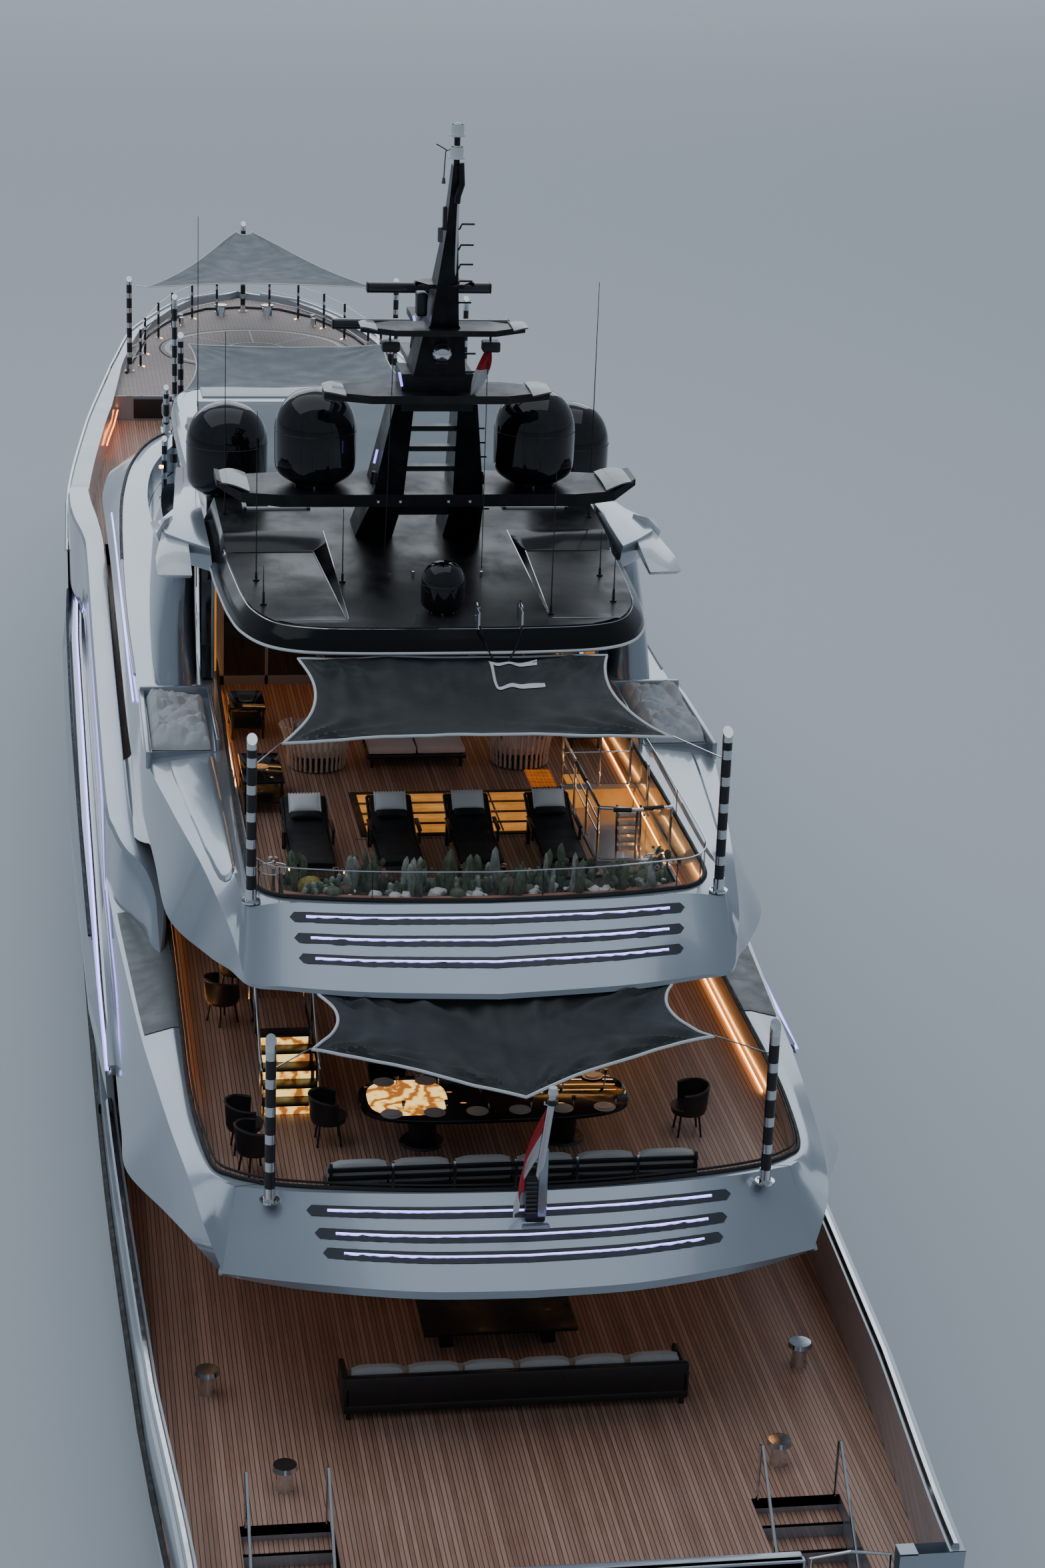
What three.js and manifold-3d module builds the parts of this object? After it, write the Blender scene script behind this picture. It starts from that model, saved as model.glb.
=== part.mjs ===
// A motor yacht 69 metres long, modelled at half its real size.
// Every size and place below is in metres of the full-size ship: x to starboard, y to the bow,
// z up from the waterline. y = 0 is at the aft edge of the bridge deck's well.
import * as THREE from 'three';
import { mergeVertices } from 'three/addons/utils/BufferGeometryUtils.js';
import Module from 'manifold-3d';

const wasm = await Module();
wasm.setup();

// Scale and clearances
const MM_PER_METRE = 500;
const AMIDSHIPS = 24;
const GAP = 0.0006;
const RUN = 0.014;
const PIN_GAP = 0.0008;

// Deck heights above the waterline
const MAIN = 3.0;
const UPPER = 5.9;
const FORE = 6.45;
const BRIDGE = 8.8;
const ROOF = 12.2;
const PLATE = 0.15;

// Paints and finishes
const finish = (color, metalness, roughness) => new THREE.MeshStandardMaterial({ color, metalness, roughness });
const SILVER = finish(0xb9c2cc, 0.6, 0.3);
const ANTIFOUL = finish(0x23262b, 0.1, 0.7);
const TEAK = finish(0x8a5a3c, 0, 0.7);
const BLACK = finish(0x0c0d10, 0.2, 0.12);
const GLASS = finish(0x10151a, 0.1, 0.08);
const BRONZE = finish(0xa8763a, 0.9, 0.3);
const STEEL = finish(0xc8ccd0, 0.95, 0.2);
const CLOTH = finish(0x3c434a, 0, 0.9);
const WHITE = finish(0xe8e9ea, 0.1, 0.4);

// A closed body through a row of like loops of [x, y, z] points. To port its four-sided faces are
// split along the other diagonal, so that a body drawn alike on both sides is alike on both sides.
function loft(loops) {
  const count = loops[0].length;
  const faces = [];
  for (let i = 0; i + 1 < loops.length; i++) {
    for (let j = 0; j < count; j++) {
      const a = i * count + j;
      const b = i * count + (j + 1) % count;
      const port = loops[i][j][0] + loops[i][b % count][0] < 0;
      const [c, d] = [b + count, a + count];
      faces.push(...(port ? [a, b, d, b, c, d] : [a, b, c, a, c, d]));
    }
  }
  const points = loops.flat();
  closeEnd(points, faces, loops[0], 0, true);
  closeEnd(points, faces, loops.at(-1), (loops.length - 1) * count, false);
  const geometry = new THREE.BufferGeometry();
  geometry.setAttribute('position', new THREE.Float32BufferAttribute(points.flat(), 3));
  geometry.setIndex(volume(points, faces) < 0 ? faces.reverse() : faces);
  return geometry;
}

// Closes an end loop. Triangulation leaves out points on a straight edge, so such a loop gets a
// fan round its middle instead.
function closeEnd(points, faces, loop, first, reversed) {
  const span = (k) => Math.max(...loop.map((p) => p[k])) - Math.min(...loop.map((p) => p[k]));
  const spans = [0, 1, 2].map(span);
  const [u, v] = [[1, 2], [0, 2], [0, 1]][spans.indexOf(Math.min(...spans))];
  const flat = loop.map((p) => new THREE.Vector2(p[u], p[v]));
  const outlineSign = Math.sign(THREE.ShapeUtils.area(flat));
  const triangles = THREE.ShapeUtils.triangulateShape(flat, []);
  if (triangles.length === loop.length - 2) {
    for (const face of triangles) {
      const same = Math.sign(THREE.ShapeUtils.area(face.map((k) => flat[k]))) === outlineSign;
      const [a, b, c] = face.map((k) => k + first);
      faces.push(...(same === reversed ? [c, b, a] : [a, b, c]));
    }
    return;
  }
  const middle = points.length;
  points.push([0, 1, 2].map((k) => loop.reduce((sum, p) => sum + p[k] / loop.length, 0)));
  for (let j = 0; j < loop.length; j++) {
    const [a, b] = [first + j, first + (j + 1) % loop.length];
    faces.push(...(reversed ? [b, a, middle] : [a, b, middle]));
  }
}

function volume(points, faces) {
  let sum = 0;
  for (let i = 0; i < faces.length; i += 3) {
    const [a, b, c] = [0, 1, 2].map((k) => new THREE.Vector3(...points[faces[i + k]]));
    sum += a.dot(b.cross(c));
  }
  return sum;
}

// Joins and cuts
function toSolid(geometry) {
  const bare = geometry.clone();
  bare.deleteAttribute('normal');
  bare.deleteAttribute('uv');
  const merged = mergeVertices(bare, 1e-5);
  const vertProperties = new Float32Array(merged.attributes.position.array);
  const triVerts = new Uint32Array(merged.index.array);
  return new wasm.Manifold(new wasm.Mesh({ numProp: 3, vertProperties, triVerts }));
}

function toGeometry(solid) {
  const mesh = solid.getMesh();
  const geometry = new THREE.BufferGeometry();
  geometry.setAttribute('position', new THREE.Float32BufferAttribute(mesh.vertProperties, 3));
  geometry.setIndex([...mesh.triVerts]);
  return geometry;
}

const join = (...parts) => toGeometry(parts.map(toSolid).reduce((sum, part) => sum.add(part)));
const cut = (body, ...tools) => toGeometry(
  tools.map(toSolid).reduce((rest, tool) => rest.subtract(tool), toSolid(body)),
);
const common = (body, other) => toGeometry(toSolid(body).intersect(toSolid(other)));
const moved = (geometry, x, y, z) => geometry.clone().translate(x, y, z);
const widened = (geometry, factor) => geometry.clone().scale(factor, 1, 1);

function mirrored(geometry) {
  const copy = geometry.clone().scale(-1, 1, 1);
  const { count } = copy.attributes.position;
  const index = copy.index ? [...copy.index.array] : Array.from({ length: count }, (_, i) => i);
  copy.setIndex(index.reverse());
  return copy;
}

// Simple shapes
function block(x0, x1, y0, y1, z0, z1) {
  const box = new THREE.BoxGeometry(x1 - x0, y1 - y0, z1 - z0);
  return box.translate((x0 + x1) / 2, (y0 + y1) / 2, (z0 + z1) / 2);
}

function rod(from, to, radius, sides = 12, endRadius = radius) {
  const start = new THREE.Vector3(...from);
  const along = new THREE.Vector3(...to).sub(start);
  const turn = new THREE.Quaternion().setFromUnitVectors(new THREE.Vector3(0, 1, 0), along.clone().normalize());
  const geometry = new THREE.CylinderGeometry(endRadius, radius, along.length(), sides).applyQuaternion(turn);
  return geometry.translate(...start.addScaledVector(along, 0.5));
}

function turned(profile, sides, x, y, z) {
  const points = profile.map(([r, h]) => new THREE.Vector2(r, h));
  return new THREE.LatheGeometry(points, sides).rotateX(Math.PI / 2).translate(x, y, z);
}

// A flat plate from its outline of [x, y] points
const plate = (outline, z0, z1) => loft([z0, z1].map((z) => outline.map(([x, y]) => [x, y, z])));

// An outline from its starboard half, given as rows of [y, x] from the stern to the bow
const bothSides = (rows) => [...rows.map(([y, x]) => [x, y]), ...rows.toReversed().map(([y, x]) => [-x, y])];

// Hull
const HULL_TOP = 6.3;
const HULL_STATIONS = [
  // y, keel z, bilge x, bilge z, water x, water z, side x, side z, top x
  [-10.2, -0.7, 3.6, -0.5, 4.75, 0.3, 5.15, 2.85, 5.25],
  [-5, -1.15, 3.9, -0.85, 5.1, 0.2, 5.5, 2.85, 5.6],
  [3, -2.0, 4.0, -1.5, 5.4, 0, 5.8, 2.85, 5.9],
  [12, -2.9, 3.9, -2.2, 5.6, 0, 5.95, 2.85, 6.05],
  [24, -3.2, 3.7, -2.5, 5.6, 0, 6.0, 2.85, 6.12],
  [32, -3.2, 3.1, -2.4, 5.1, 0, 5.75, 2.85, 6.0],
  [40, -3.2, 2.1, -2.3, 3.8, 0, 4.8, 2.85, 5.35],
  [47, -3.2, 1.05, -2.2, 2.4, 0, 3.5, 2.85, 4.5],
  [52, -3.1, 0.5, -2.1, 1.35, 0, 2.45, 2.85, 3.75],
  [55.5, -2.2, 0.2, -1.4, 0.55, 0.2, 1.35, 2.85, 2.6],
  [57.2, 1.6, 0.15, 2.0, 0.3, 2.5, 0.75, 3.8, 1.7],
  [58.5, 5.7, 0.1, 5.8, 0.2, 5.95, 0.4, 6.1, 0.6],
];
const HOUSE_FRONT = 31;

const hullForm = loft(HULL_STATIONS.map(([y, keelZ, bilgeX, bilgeZ, waterX, waterZ, sideX, sideZ, topX]) => {
  const half = [[bilgeX, bilgeZ], [waterX, waterZ], [sideX, sideZ], [topX, HULL_TOP]];
  return [[0, y, keelZ], ...half.map(([x, z]) => [x, y, z]), ...half.toReversed().map(([x, z]) => [-x, y, z])];
}));

const TRANSOM = -10.2;
const STAIR = { inner: 3.0, outer: 4.3, steps: 10, run: 0.3, foot: 0.55 };
const stairRise = (MAIN - STAIR.foot) / STAIR.steps;
const sternSteps = [-1, 1].flatMap((side) => Array.from({ length: STAIR.steps }, (_, i) => {
  const xs = [side * STAIR.inner, side * STAIR.outer].sort((a, b) => a - b);
  const y = TRANSOM + STAIR.run * i;
  return block(...xs, y - 0.05, y + STAIR.run, STAIR.foot + stairRise * i, MAIN + 0.1);
}));

const CLUB = { half: 2.5, low: 0.75, high: 2.5, depth: 2.6 };
const clubRecess = block(-CLUB.half, CLUB.half, TRANSOM - 0.1, TRANSOM + CLUB.depth, CLUB.low, CLUB.high);
const CLUB_DOOR = { thick: 0.16, pin: 0.045, reach: 0.1 };
const clubHinge = { y: TRANSOM + CLUB_DOOR.thick / 2, z: CLUB.high - 0.13 };
const boreFor = (radius, sides) => (radius + PIN_GAP) / Math.cos(Math.PI / sides);
const clubBores = rod(
  [-CLUB.half - CLUB_DOOR.reach - 0.01, clubHinge.y, clubHinge.z],
  [CLUB.half + CLUB_DOOR.reach + 0.01, clubHinge.y, clubHinge.z],
  boreFor(CLUB_DOOR.pin, 16), 16,
);

const ENGINE = { inner: 1.0, outer: 2.9, aft: 8, fore: 12.6, low: -1.2, high: 1.3 };
const engineWell = block(
  -ENGINE.outer - 0.05, ENGINE.outer + 0.05, ENGINE.aft - 0.05, ENGINE.fore + 0.05, ENGINE.low, MAIN,
);
const engine = block(ENGINE.inner, ENGINE.outer, ENGINE.aft, ENGINE.fore, ENGINE.low + GAP, ENGINE.high);
const engineBed = block(
  -ENGINE.outer, ENGINE.outer, ENGINE.aft, ENGINE.fore, ENGINE.low + GAP, ENGINE.low + 0.2,
);

const RUDDER = { x: 2.6, y: -7.1, stock: 0.16, top: -1.12, bottom: -3.0, bore: 0.5 };
const rudderBore = rod(
  [RUDDER.x, RUDDER.y, -2], [RUDDER.x, RUDDER.y, RUDDER.bore + 0.05], boreFor(RUDDER.stock, 32), 32,
);

const bulb = new THREE.SphereGeometry(1, 14, 8).scale(0.75, 3.6, 0.85).translate(0, 53.2, -2.3);
const hull = cut(
  join(hullForm, bulb),
  block(-7, 7, TRANSOM - 1, HOUSE_FRONT, MAIN - PLATE, HULL_TOP + 1),
  clubRecess, clubBores, ...sternSteps,
  engineWell,
  rudderBore, mirrored(rudderBore),
);

const mainDeck = cut(
  common(hullForm, block(-7, 7, TRANSOM, HOUSE_FRONT - GAP, MAIN - PLATE + GAP, MAIN)),
  ...sternSteps,
);

const PLATFORM = { length: 1.2, half: 4.5, top: 0.55, thick: 0.25, corner: 0.6 };
const platformRows = [
  [TRANSOM - PLATFORM.length, PLATFORM.half - PLATFORM.corner],
  [TRANSOM - PLATFORM.length + PLATFORM.corner, PLATFORM.half],
  [TRANSOM - GAP, PLATFORM.half],
];
const swimPlatform = plate(bothSides(platformRows), PLATFORM.top - PLATFORM.thick, PLATFORM.top);

const clubDoor = join(
  block(
    -CLUB.half + RUN, CLUB.half - RUN, TRANSOM, TRANSOM + CLUB_DOOR.thick,
    CLUB.low + RUN, clubHinge.z + 0.06,
  ),
  rod(
    [-CLUB.half - CLUB_DOOR.reach, clubHinge.y, clubHinge.z],
    [CLUB.half + CLUB_DOOR.reach, clubHinge.y, clubHinge.z], CLUB_DOOR.pin, 16,
  ),
);

// Shafts, propellers and rudders under the hull
const SHAFT = { x: 2.6, z: -2.2, aft: -3.6, fore: 10, tube: 0.24, pin: 0.12 };
const PROPELLER = { y: -4.1, hub: 0.26, length: 0.8, radius: 0.98, blades: 5 };
const shaftTube = cut(
  join(
    rod([SHAFT.x, SHAFT.aft, SHAFT.z], [SHAFT.x, SHAFT.fore, SHAFT.z], SHAFT.tube, 16),
    block(SHAFT.x - 0.09, SHAFT.x + 0.09, SHAFT.aft + 0.1, SHAFT.aft + 0.9, SHAFT.z, -0.4),
  ),
  moved(hullForm, 0, 0, -GAP),
  rod([SHAFT.x, SHAFT.aft - 0.1, SHAFT.z], [SHAFT.x, SHAFT.aft + 0.7, SHAFT.z], boreFor(SHAFT.pin, 24), 24),
);

function propeller() {
  const hubFore = SHAFT.aft - RUN;
  const hub = rod([0, hubFore - PROPELLER.length, 0], [0, hubFore, 0], 0.14, 16, PROPELLER.hub);
  const shaft = rod([0, hubFore - 0.1, 0], [0, SHAFT.aft + 0.6, 0], SHAFT.pin, 24);
  const bladeRows = [[0.1, 0.22, 0.06, 38], [0.6, 0.36, 0.04, 26], [PROPELLER.radius, 0.14, 0.02, 18]];
  const blade = loft(bladeRows.map(([r, half, thick, pitch]) => {
    const turn = THREE.MathUtils.degToRad(pitch);
    const corners = [[half, 0], [0, thick], [-half, 0], [0, -thick]];
    const middle = hubFore - PROPELLER.length / 2;
    const [c, s] = [Math.cos(turn), Math.sin(turn)];
    return corners.map(([a, t]) => [a * c - t * s, middle + a * s + t * c, r]);
  }));
  const turns = Array.from({ length: PROPELLER.blades }, (_, i) => (i * 2 * Math.PI) / PROPELLER.blades);
  return moved(join(hub, shaft, ...turns.map((turn) => blade.clone().rotateY(turn))), SHAFT.x, 0, SHAFT.z);
}

const rudderLoop = (z, aft, fore, half) => [
  [0, fore], [half, fore - 0.4], [0.02, aft], [-0.02, aft], [-half, fore - 0.4],
].map(([x, y]) => [x + RUDDER.x, y, z]);
const rudder = join(
  loft([rudderLoop(RUDDER.top, -8.4, -6.5, 0.2), rudderLoop(RUDDER.bottom, -8.0, -6.6, 0.14)]),
  rod([RUDDER.x, RUDDER.y, RUDDER.top - 0.4], [RUDDER.x, RUDDER.y, RUDDER.bore], RUDDER.stock, 32),
);

// Main deck: quarter bulwarks, the saloon's walls in the hull sides, and its doors
const SALOON_AFT = 6;
const MAIN_TOP = 5.4;
const WALL = 0.94;
const quarterBulwark = cut(
  common(hullForm, block(-7, 7, TRANSOM, SALOON_AFT - GAP, MAIN + GAP, 4.05)),
  common(widened(hullForm, 0.955), block(-7, 7, TRANSOM + 0.25, SALOON_AFT + 1, MAIN - 1, 5)),
  ...[-1, 1].map((side) => {
    const gate = side * (STAIR.inner + STAIR.outer) / 2;
    return block(gate - 0.6, gate + 0.6, TRANSOM - 0.1, TRANSOM + 0.4, MAIN + 0.08, 4.2);
  }),
);
const MAIN_WINDOWS = [9, 14.5, 20, 25.2];
const WINDOW = { length: 4.4, low: 3.75, high: 4.95 };
const DOORWAY = { half: 1.6, height: 2.15 };
const RAIL = { thick: 0.2, high: 0.14, spare: 0.1 };
const doorRail = (wall, z, half) => block(
  -half * 2 - RAIL.spare, half * 2 + RAIL.spare, wall - RAIL.thick, wall + 0.01, z, z + RAIL.high,
);
const mainHouse = cut(
  join(
    cut(
      common(hullForm, block(-7, 7, SALOON_AFT, HOUSE_FRONT - GAP, MAIN + GAP, MAIN_TOP)),
      common(
        widened(hullForm, WALL),
        block(-7, 7, SALOON_AFT + 0.2, HOUSE_FRONT - 0.3, MAIN - 1, MAIN_TOP + 1),
      ),
    ),
    moved(doorRail(SALOON_AFT, MAIN + DOORWAY.height, DOORWAY.half), DOORWAY.half, 0, 0),
  ),
  ...MAIN_WINDOWS.map((y) => block(-7, 7, y, y + WINDOW.length, WINDOW.low, WINDOW.high)),
  block(-DOORWAY.half, DOORWAY.half, SALOON_AFT - 0.05, SALOON_AFT + 0.3, MAIN, MAIN + DOORWAY.height),
);
const mainGlass = cut(
  common(widened(hullForm, WALL - 0.0002), block(-7, 7, 8.5, HOUSE_FRONT - 0.3 - GAP, 3.6, 5.1)),
  common(widened(hullForm, WALL - 0.008), block(-7, 7, 8, HOUSE_FRONT - 0.35, 3, 6)),
);

// One leaf of a pair of glazed doors that slide apart along the rail over them
function doorLeaf(wall, floor, half, height) {
  return block(0.02, half + 0.06, wall - 0.15, wall - 0.07, floor + RUN, floor + height - GAP);
}

const mainDoor = block(
  -DOORWAY.half - 0.06, DOORWAY.half + 0.06, SALOON_AFT - 0.15, SALOON_AFT - 0.07,
  MAIN + RUN, MAIN + DOORWAY.height - GAP,
);

// Flange along each topside, which carries a strip light
const FLANGE_STATIONS = [
  // y, inner x, outer x, top z
  [2.5, 5.78, 5.84, 5.46],
  [6, 5.78, 6.08, 5.52],
  [14, 5.8, 6.25, 5.56],
  [26, 5.8, 6.25, 5.56],
  [30.9, 5.72, 6.05, 5.5],
];
const flange = cut(
  loft(FLANGE_STATIONS.map(([y, inner, outer, top]) => [
    [inner, y, MAIN_TOP + GAP], [inner, y, top], [(inner + outer) / 2, y, top - 0.05],
    [outer, y, top - 0.25], [outer, y, top - 0.5], [outer - 0.2, y, top - 0.75], [inner - 0.1, y, top - 0.75],
  ])),
  common(widened(hullForm, 1.0001), block(-7, 7, 0, 32, 3, MAIN_TOP + GAP)),
  block(0, 5.7, 0, 32, 4, 5.39),
);

// Upper deck, with the coaming round the dining well
const DECK_STATIONS = {
  upper: [
    // y, bow of the edge, low x, low z, rim x, rim z, cap x, cap z
    [-4.7, -0.85, 4.3, 5.45, 4.37, 5.55, 4.25, 5.6],
    [-4.35, -0.72, 4.6, 5.44, 4.55, 5.8, 4.3, 5.88],
    [-3.95, -0.58, 4.85, 5.44, 4.78, 6.12, 4.4, 6.25],
    [-3.62, -0.52, 5.0, 5.44, 4.86, 6.22, 4.45, 6.48],
    [-1.4, 0, 5.67, 5.42, 4.97, 6.3, 4.75, 6.5],
    [1.83, 0, 5.7, 5.42, 5.3, 6.34, 4.8, 6.5],
    [7.1, 0, 5.72, 5.42, 5.6, 6.38, 4.8, 6.5],
    [9.2, 0, 5.74, 5.42, 5.68, 6.4, 4.8, 6.5],
    [9.25, 0, 5.74, 5.42, 5.72, 5.85, 5.4, UPPER],
    [20, 0, 5.74, 5.42, 5.74, 5.85, 5.4, UPPER],
    [HOUSE_FRONT - GAP, 0, 5.6, 5.42, 5.6, 5.85, 5.4, UPPER],
  ],
  bridge: [
    [-0.85, -0.75, 3.7, 8.42, 3.75, 8.47, 3.65, 8.52],
    [-0.45, -0.55, 3.98, 8.42, 3.9, 8.72, 3.7, 8.8],
    [-0.16, -0.3, 4.1, 8.42, 3.99, 9.0, 3.75, 9.18],
    [0.14, -0.38, 4.3, 8.42, 4.04, 9.18, 3.78, 9.44],
    [1.9, 0, 4.86, 8.42, 4.33, 9.3, 3.8, 9.45],
    [7, 0, 5.05, 8.42, 5.0, 9.33, 3.85, 9.45],
    [12.4, 0, 5.08, 8.42, 5.0, 9.33, 3.85, 9.45],
    [18, 0, 5.08, 8.42, 5.02, 9.33, 4.3, 9.45],
    [23.3, 0, 5.04, 8.42, 4.98, 9.33, 4.6, 9.45],
    [26, 0, 4.86, 8.42, 4.8, 9.33, 4.5, 9.45],
    [28.6, 0, 4.4, 8.42, 4.38, 9.33, 4.1, 9.45],
    [30.8, 0, 3.36, 8.42, 3.36, 9.33, 3.1, 9.45],
    [31.6, 0.5, 2.4, 8.42, 2.4, 9.33, 2.2, 9.45],
  ],
};
const ACROSS = [1, 0.55, 0, -0.55, -1];
function deckBody(stations) {
  return loft(stations.map(([y, bow, lowX, lowZ, rimX, rimZ, capX, capZ]) => {
    const at = (x, z) => [x, y + bow * (1 - (x / rimX) ** 2), z];
    return [
      ...ACROSS.map((f) => at(capX * f, capZ)), at(-rimX, rimZ),
      ...ACROSS.toReversed().map((f) => at(lowX * f, lowZ)), at(rimX, rimZ),
    ];
  }));
}

const DINING_WELL = [
  // y, x
  [-4.15, 0], [-4.07, 1.43], [-3.72, 3.56], [-3.4, 4.18], [-2.9, 4.5], [-0.4, 4.66], [9.3, 4.66],
];
const BRIDGE_WELL = [
  [-0.22, 0], [-0.1, 1.8], [0.18, 3.2], [0.45, 3.5], [0.9, 3.63], [2.7, 3.65], [8.8, 3.58], [12.2, 3.5],
];
const BRIDGE_FORE_WELL = [
  [31.7, 0], [31.2, 2.0], [30.3, 2.9], [28.2, 3.8], [26, 4.2], [23.3, 4.35], [18, 4.05], [12.5, 3.68], [12.15, 3.5],
];
const wellCut = (rows, floor, top) => plate(bothSides(rows.slice(1)).concat([[0, rows[0][0]]]), floor, top);

const upperBody = deckBody(DECK_STATIONS.upper);
const upperDeck = cut(upperBody, wellCut(DINING_WELL, UPPER, 7));
const bridgeBody = deckBody(DECK_STATIONS.bridge);
const HATCH = { x0: 2.3, x1: 3.6, y0: 2.9, y1: 6.6 };
const hatch = block(HATCH.x0, HATCH.x1, HATCH.y0, HATCH.y1, 8, 9);
const bridgeDeck = cut(
  bridgeBody, wellCut(BRIDGE_WELL, BRIDGE, 10), wellCut(BRIDGE_FORE_WELL, BRIDGE, 10), hatch,
);

// The bridge deck is made in two lengths that meet at the stair hatch
const foreLength = (by) => join(
  block(-7, (HATCH.x0 + HATCH.x1) / 2, HATCH.y0 - by, 40, 7, 11), block(-7, 7, HATCH.y1 - by, 40, 7, 11),
);
const bridgeForeDeck = common(bridgeDeck, foreLength(0));
const bridgeAftDeck = cut(bridgeDeck, foreLength(GAP));

// Bulwarks of the upper side decks, which sweep in to the dining coaming
const BULWARK_STATIONS = [
  // y, inner x, outer x, top z
  [6.42, 4.73, 4.95, 7.3],
  [7.0, 4.8, 5.25, 7.4],
  [7.7, 4.95, 5.5, 7.5],
  [9.2, 5.2, 5.68, 7.5],
  [20, 5.22, 5.7, 7.5],
  [27, 5.18, 5.68, 7.5],
  [HOUSE_FRONT - 0.05, 5.1, 5.55, 7.5],
];
const sideBulwark = cut(
  loft(BULWARK_STATIONS.map(([y, inner, outer, top]) => [
    [inner, y, UPPER - 0.2], [outer, y, UPPER - 0.2], [outer, y, top], [inner, y, top],
  ])),
  moved(upperBody, 0, 0, GAP),
);

// Upper house with its glass and doors
const UPPER_HOUSE = [[9.3, 4.4], [27, 4.4], [29.4, 3.4], [30.3, 1.6]];
const BRIDGE_HOUSE = [[12.6, 3.6], [21.2, 3.6], [22.6, 3.0], [23.1, 1.6]];
const inset = (rows, by) => rows.map(([y, x], i) => [y + (i === 0 ? by : -by), x - by]);
const HOUSE = { wall: 0.2, pane: 0.06, frontHalf: 1.5, sill: 0.9, lintel: 2.0 };
function house(rows, floor, top, windows, doorHalf) {
  const [aft, fore] = [rows[0][0], rows.at(-1)[0]];
  const inner = plate(bothSides(inset(rows, HOUSE.wall)), floor - 1, top + 1);
  const walls = cut(plate(bothSides(rows), floor + GAP, top), inner);
  return cut(
    join(walls, doorRail(aft, floor + DOORWAY.height, doorHalf)),
    ...windows.map(([y0, y1, z0, z1]) => block(-7, 7, y0, y1, z0, z1)),
    block(-HOUSE.frontHalf, HOUSE.frontHalf, fore - 2, fore + 1, floor + HOUSE.sill, floor + HOUSE.lintel),
    block(-doorHalf, doorHalf, aft - 0.05, aft + 0.3, floor, floor + DOORWAY.height),
  );
}
function glassBand(rows, z0, z1, aft) {
  return cut(
    plate(bothSides(inset(rows, HOUSE.wall + GAP)), z0, z1),
    plate(bothSides(inset(rows, HOUSE.wall + HOUSE.pane)), z0 - 1, z1 + 1),
    block(-7, 7, rows[0][0] - 1, aft, z0 - 1, z1 + 1),
  );
}
const UPPER_TOP = 8.42 - GAP;
const BRIDGE_TOP = 11.5;
const upperHouse = house(
  UPPER_HOUSE, UPPER, UPPER_TOP,
  [10.2, 14.4, 18.6, 22.8].map((y) => [y, y + 3.8, UPPER + 0.7, UPPER + 2.1]), DOORWAY.half,
);
const upperGlass = glassBand(UPPER_HOUSE, UPPER + 0.5, UPPER + 2.3, 10);
const BRIDGE_DOOR_HALF = 1.4;
const bridgeHouse = house(
  BRIDGE_HOUSE, BRIDGE, BRIDGE_TOP,
  [13.4, 16.1, 18.8].map((y) => [y, y + 2.2, BRIDGE + 0.8, BRIDGE + 2.3]), BRIDGE_DOOR_HALF,
);
const bridgeGlass = glassBand(BRIDGE_HOUSE, BRIDGE + 0.6, BRIDGE + 2.5, 13.2);

// Sails and what holds their corners
// A sail from four corners, with hollow edges and a sag, as a thin sheet. A laced one keeps its first
// edge straight, and a peak draws the middle of its second edge out along y and down.
const SAIL = { steps: 8, thick: 0.03 };
function sail(corners, { hollow, sag, laced, peak, drop = 0 }) {
  const [a, b, c, d] = corners.map((p) => new THREE.Vector3(...p));
  const bend = (t) => 4 * t * (1 - t);
  const loops = [];
  for (let i = 0; i <= SAIL.steps; i++) {
    const row = [];
    for (let j = 0; j <= SAIL.steps; j++) {
      const [u, v] = [i / SAIL.steps, j / SAIL.steps];
      const straight = (v < 0.5 && laced) || (v > 0.5 && peak);
      const s = u + (0.5 - u) * hollow * bend(v);
      const t = v + (0.5 - v) * (straight ? 0 : hollow) * bend(u);
      const point = a.clone().lerp(b, s).lerp(d.clone().lerp(c, s), t);
      const draw = v * (1 - Math.abs(2 * u - 1)) ** 1.25;
      point.y -= peak ? peak * draw : 0;
      point.z -= sag * bend(u) * bend(v) + drop * draw;
      row.push([point.x, point.y, point.z]);
    }
    loops.push([...row, ...row.toReversed().map(([x, y, z]) => [x, y, z + SAIL.thick])]);
  }
  return loft(loops);
}

// The flat lug on a pole that holds the corner of a sail from above
const LUG = { half: 0.03, thick: 0.03, over: 0.01 };
function lug([px, py], [cx, cy, cz]) {
  const along = new THREE.Vector2(cx - px, cy - py).normalize();
  const [ex, ey] = [cx + along.x * LUG.over, cy + along.y * LUG.over];
  const [sx, sy] = [-along.y * LUG.half, along.x * LUG.half];
  const low = cz + SAIL.thick + 2 * GAP;
  const outline = [[px - sx, py - sy], [ex - sx, ey - sy], [ex + sx, ey + sy], [px + sx, py + sy]];
  return plate(outline, low, low + LUG.thick);
}
const lugPair = ([px, py], [cx, cy, cz]) => [lug([px, py], [cx, cy, cz]), lug([-px, py], [-cx, cy, cz])];

// Roof, hardtop and the fairings that carry them
const ROOF_ROWS = [[12.2 + GAP, 3.75], [22, 3.9], [23.15, 3.75], [23.6, 3.1], [23.7, 1.6]];
const roof = loft([[BRIDGE_TOP + GAP, 0.1], [BRIDGE_TOP + 0.35, 0], [ROOF, 0.35]].map(([z, by]) => {
  const rows = ROOF_ROWS.map(([y, x], i) => [i === 0 ? y : y - by, x - by]);
  return bothSides(rows).map(([x, y]) => [x, y, z]);
}));

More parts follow.
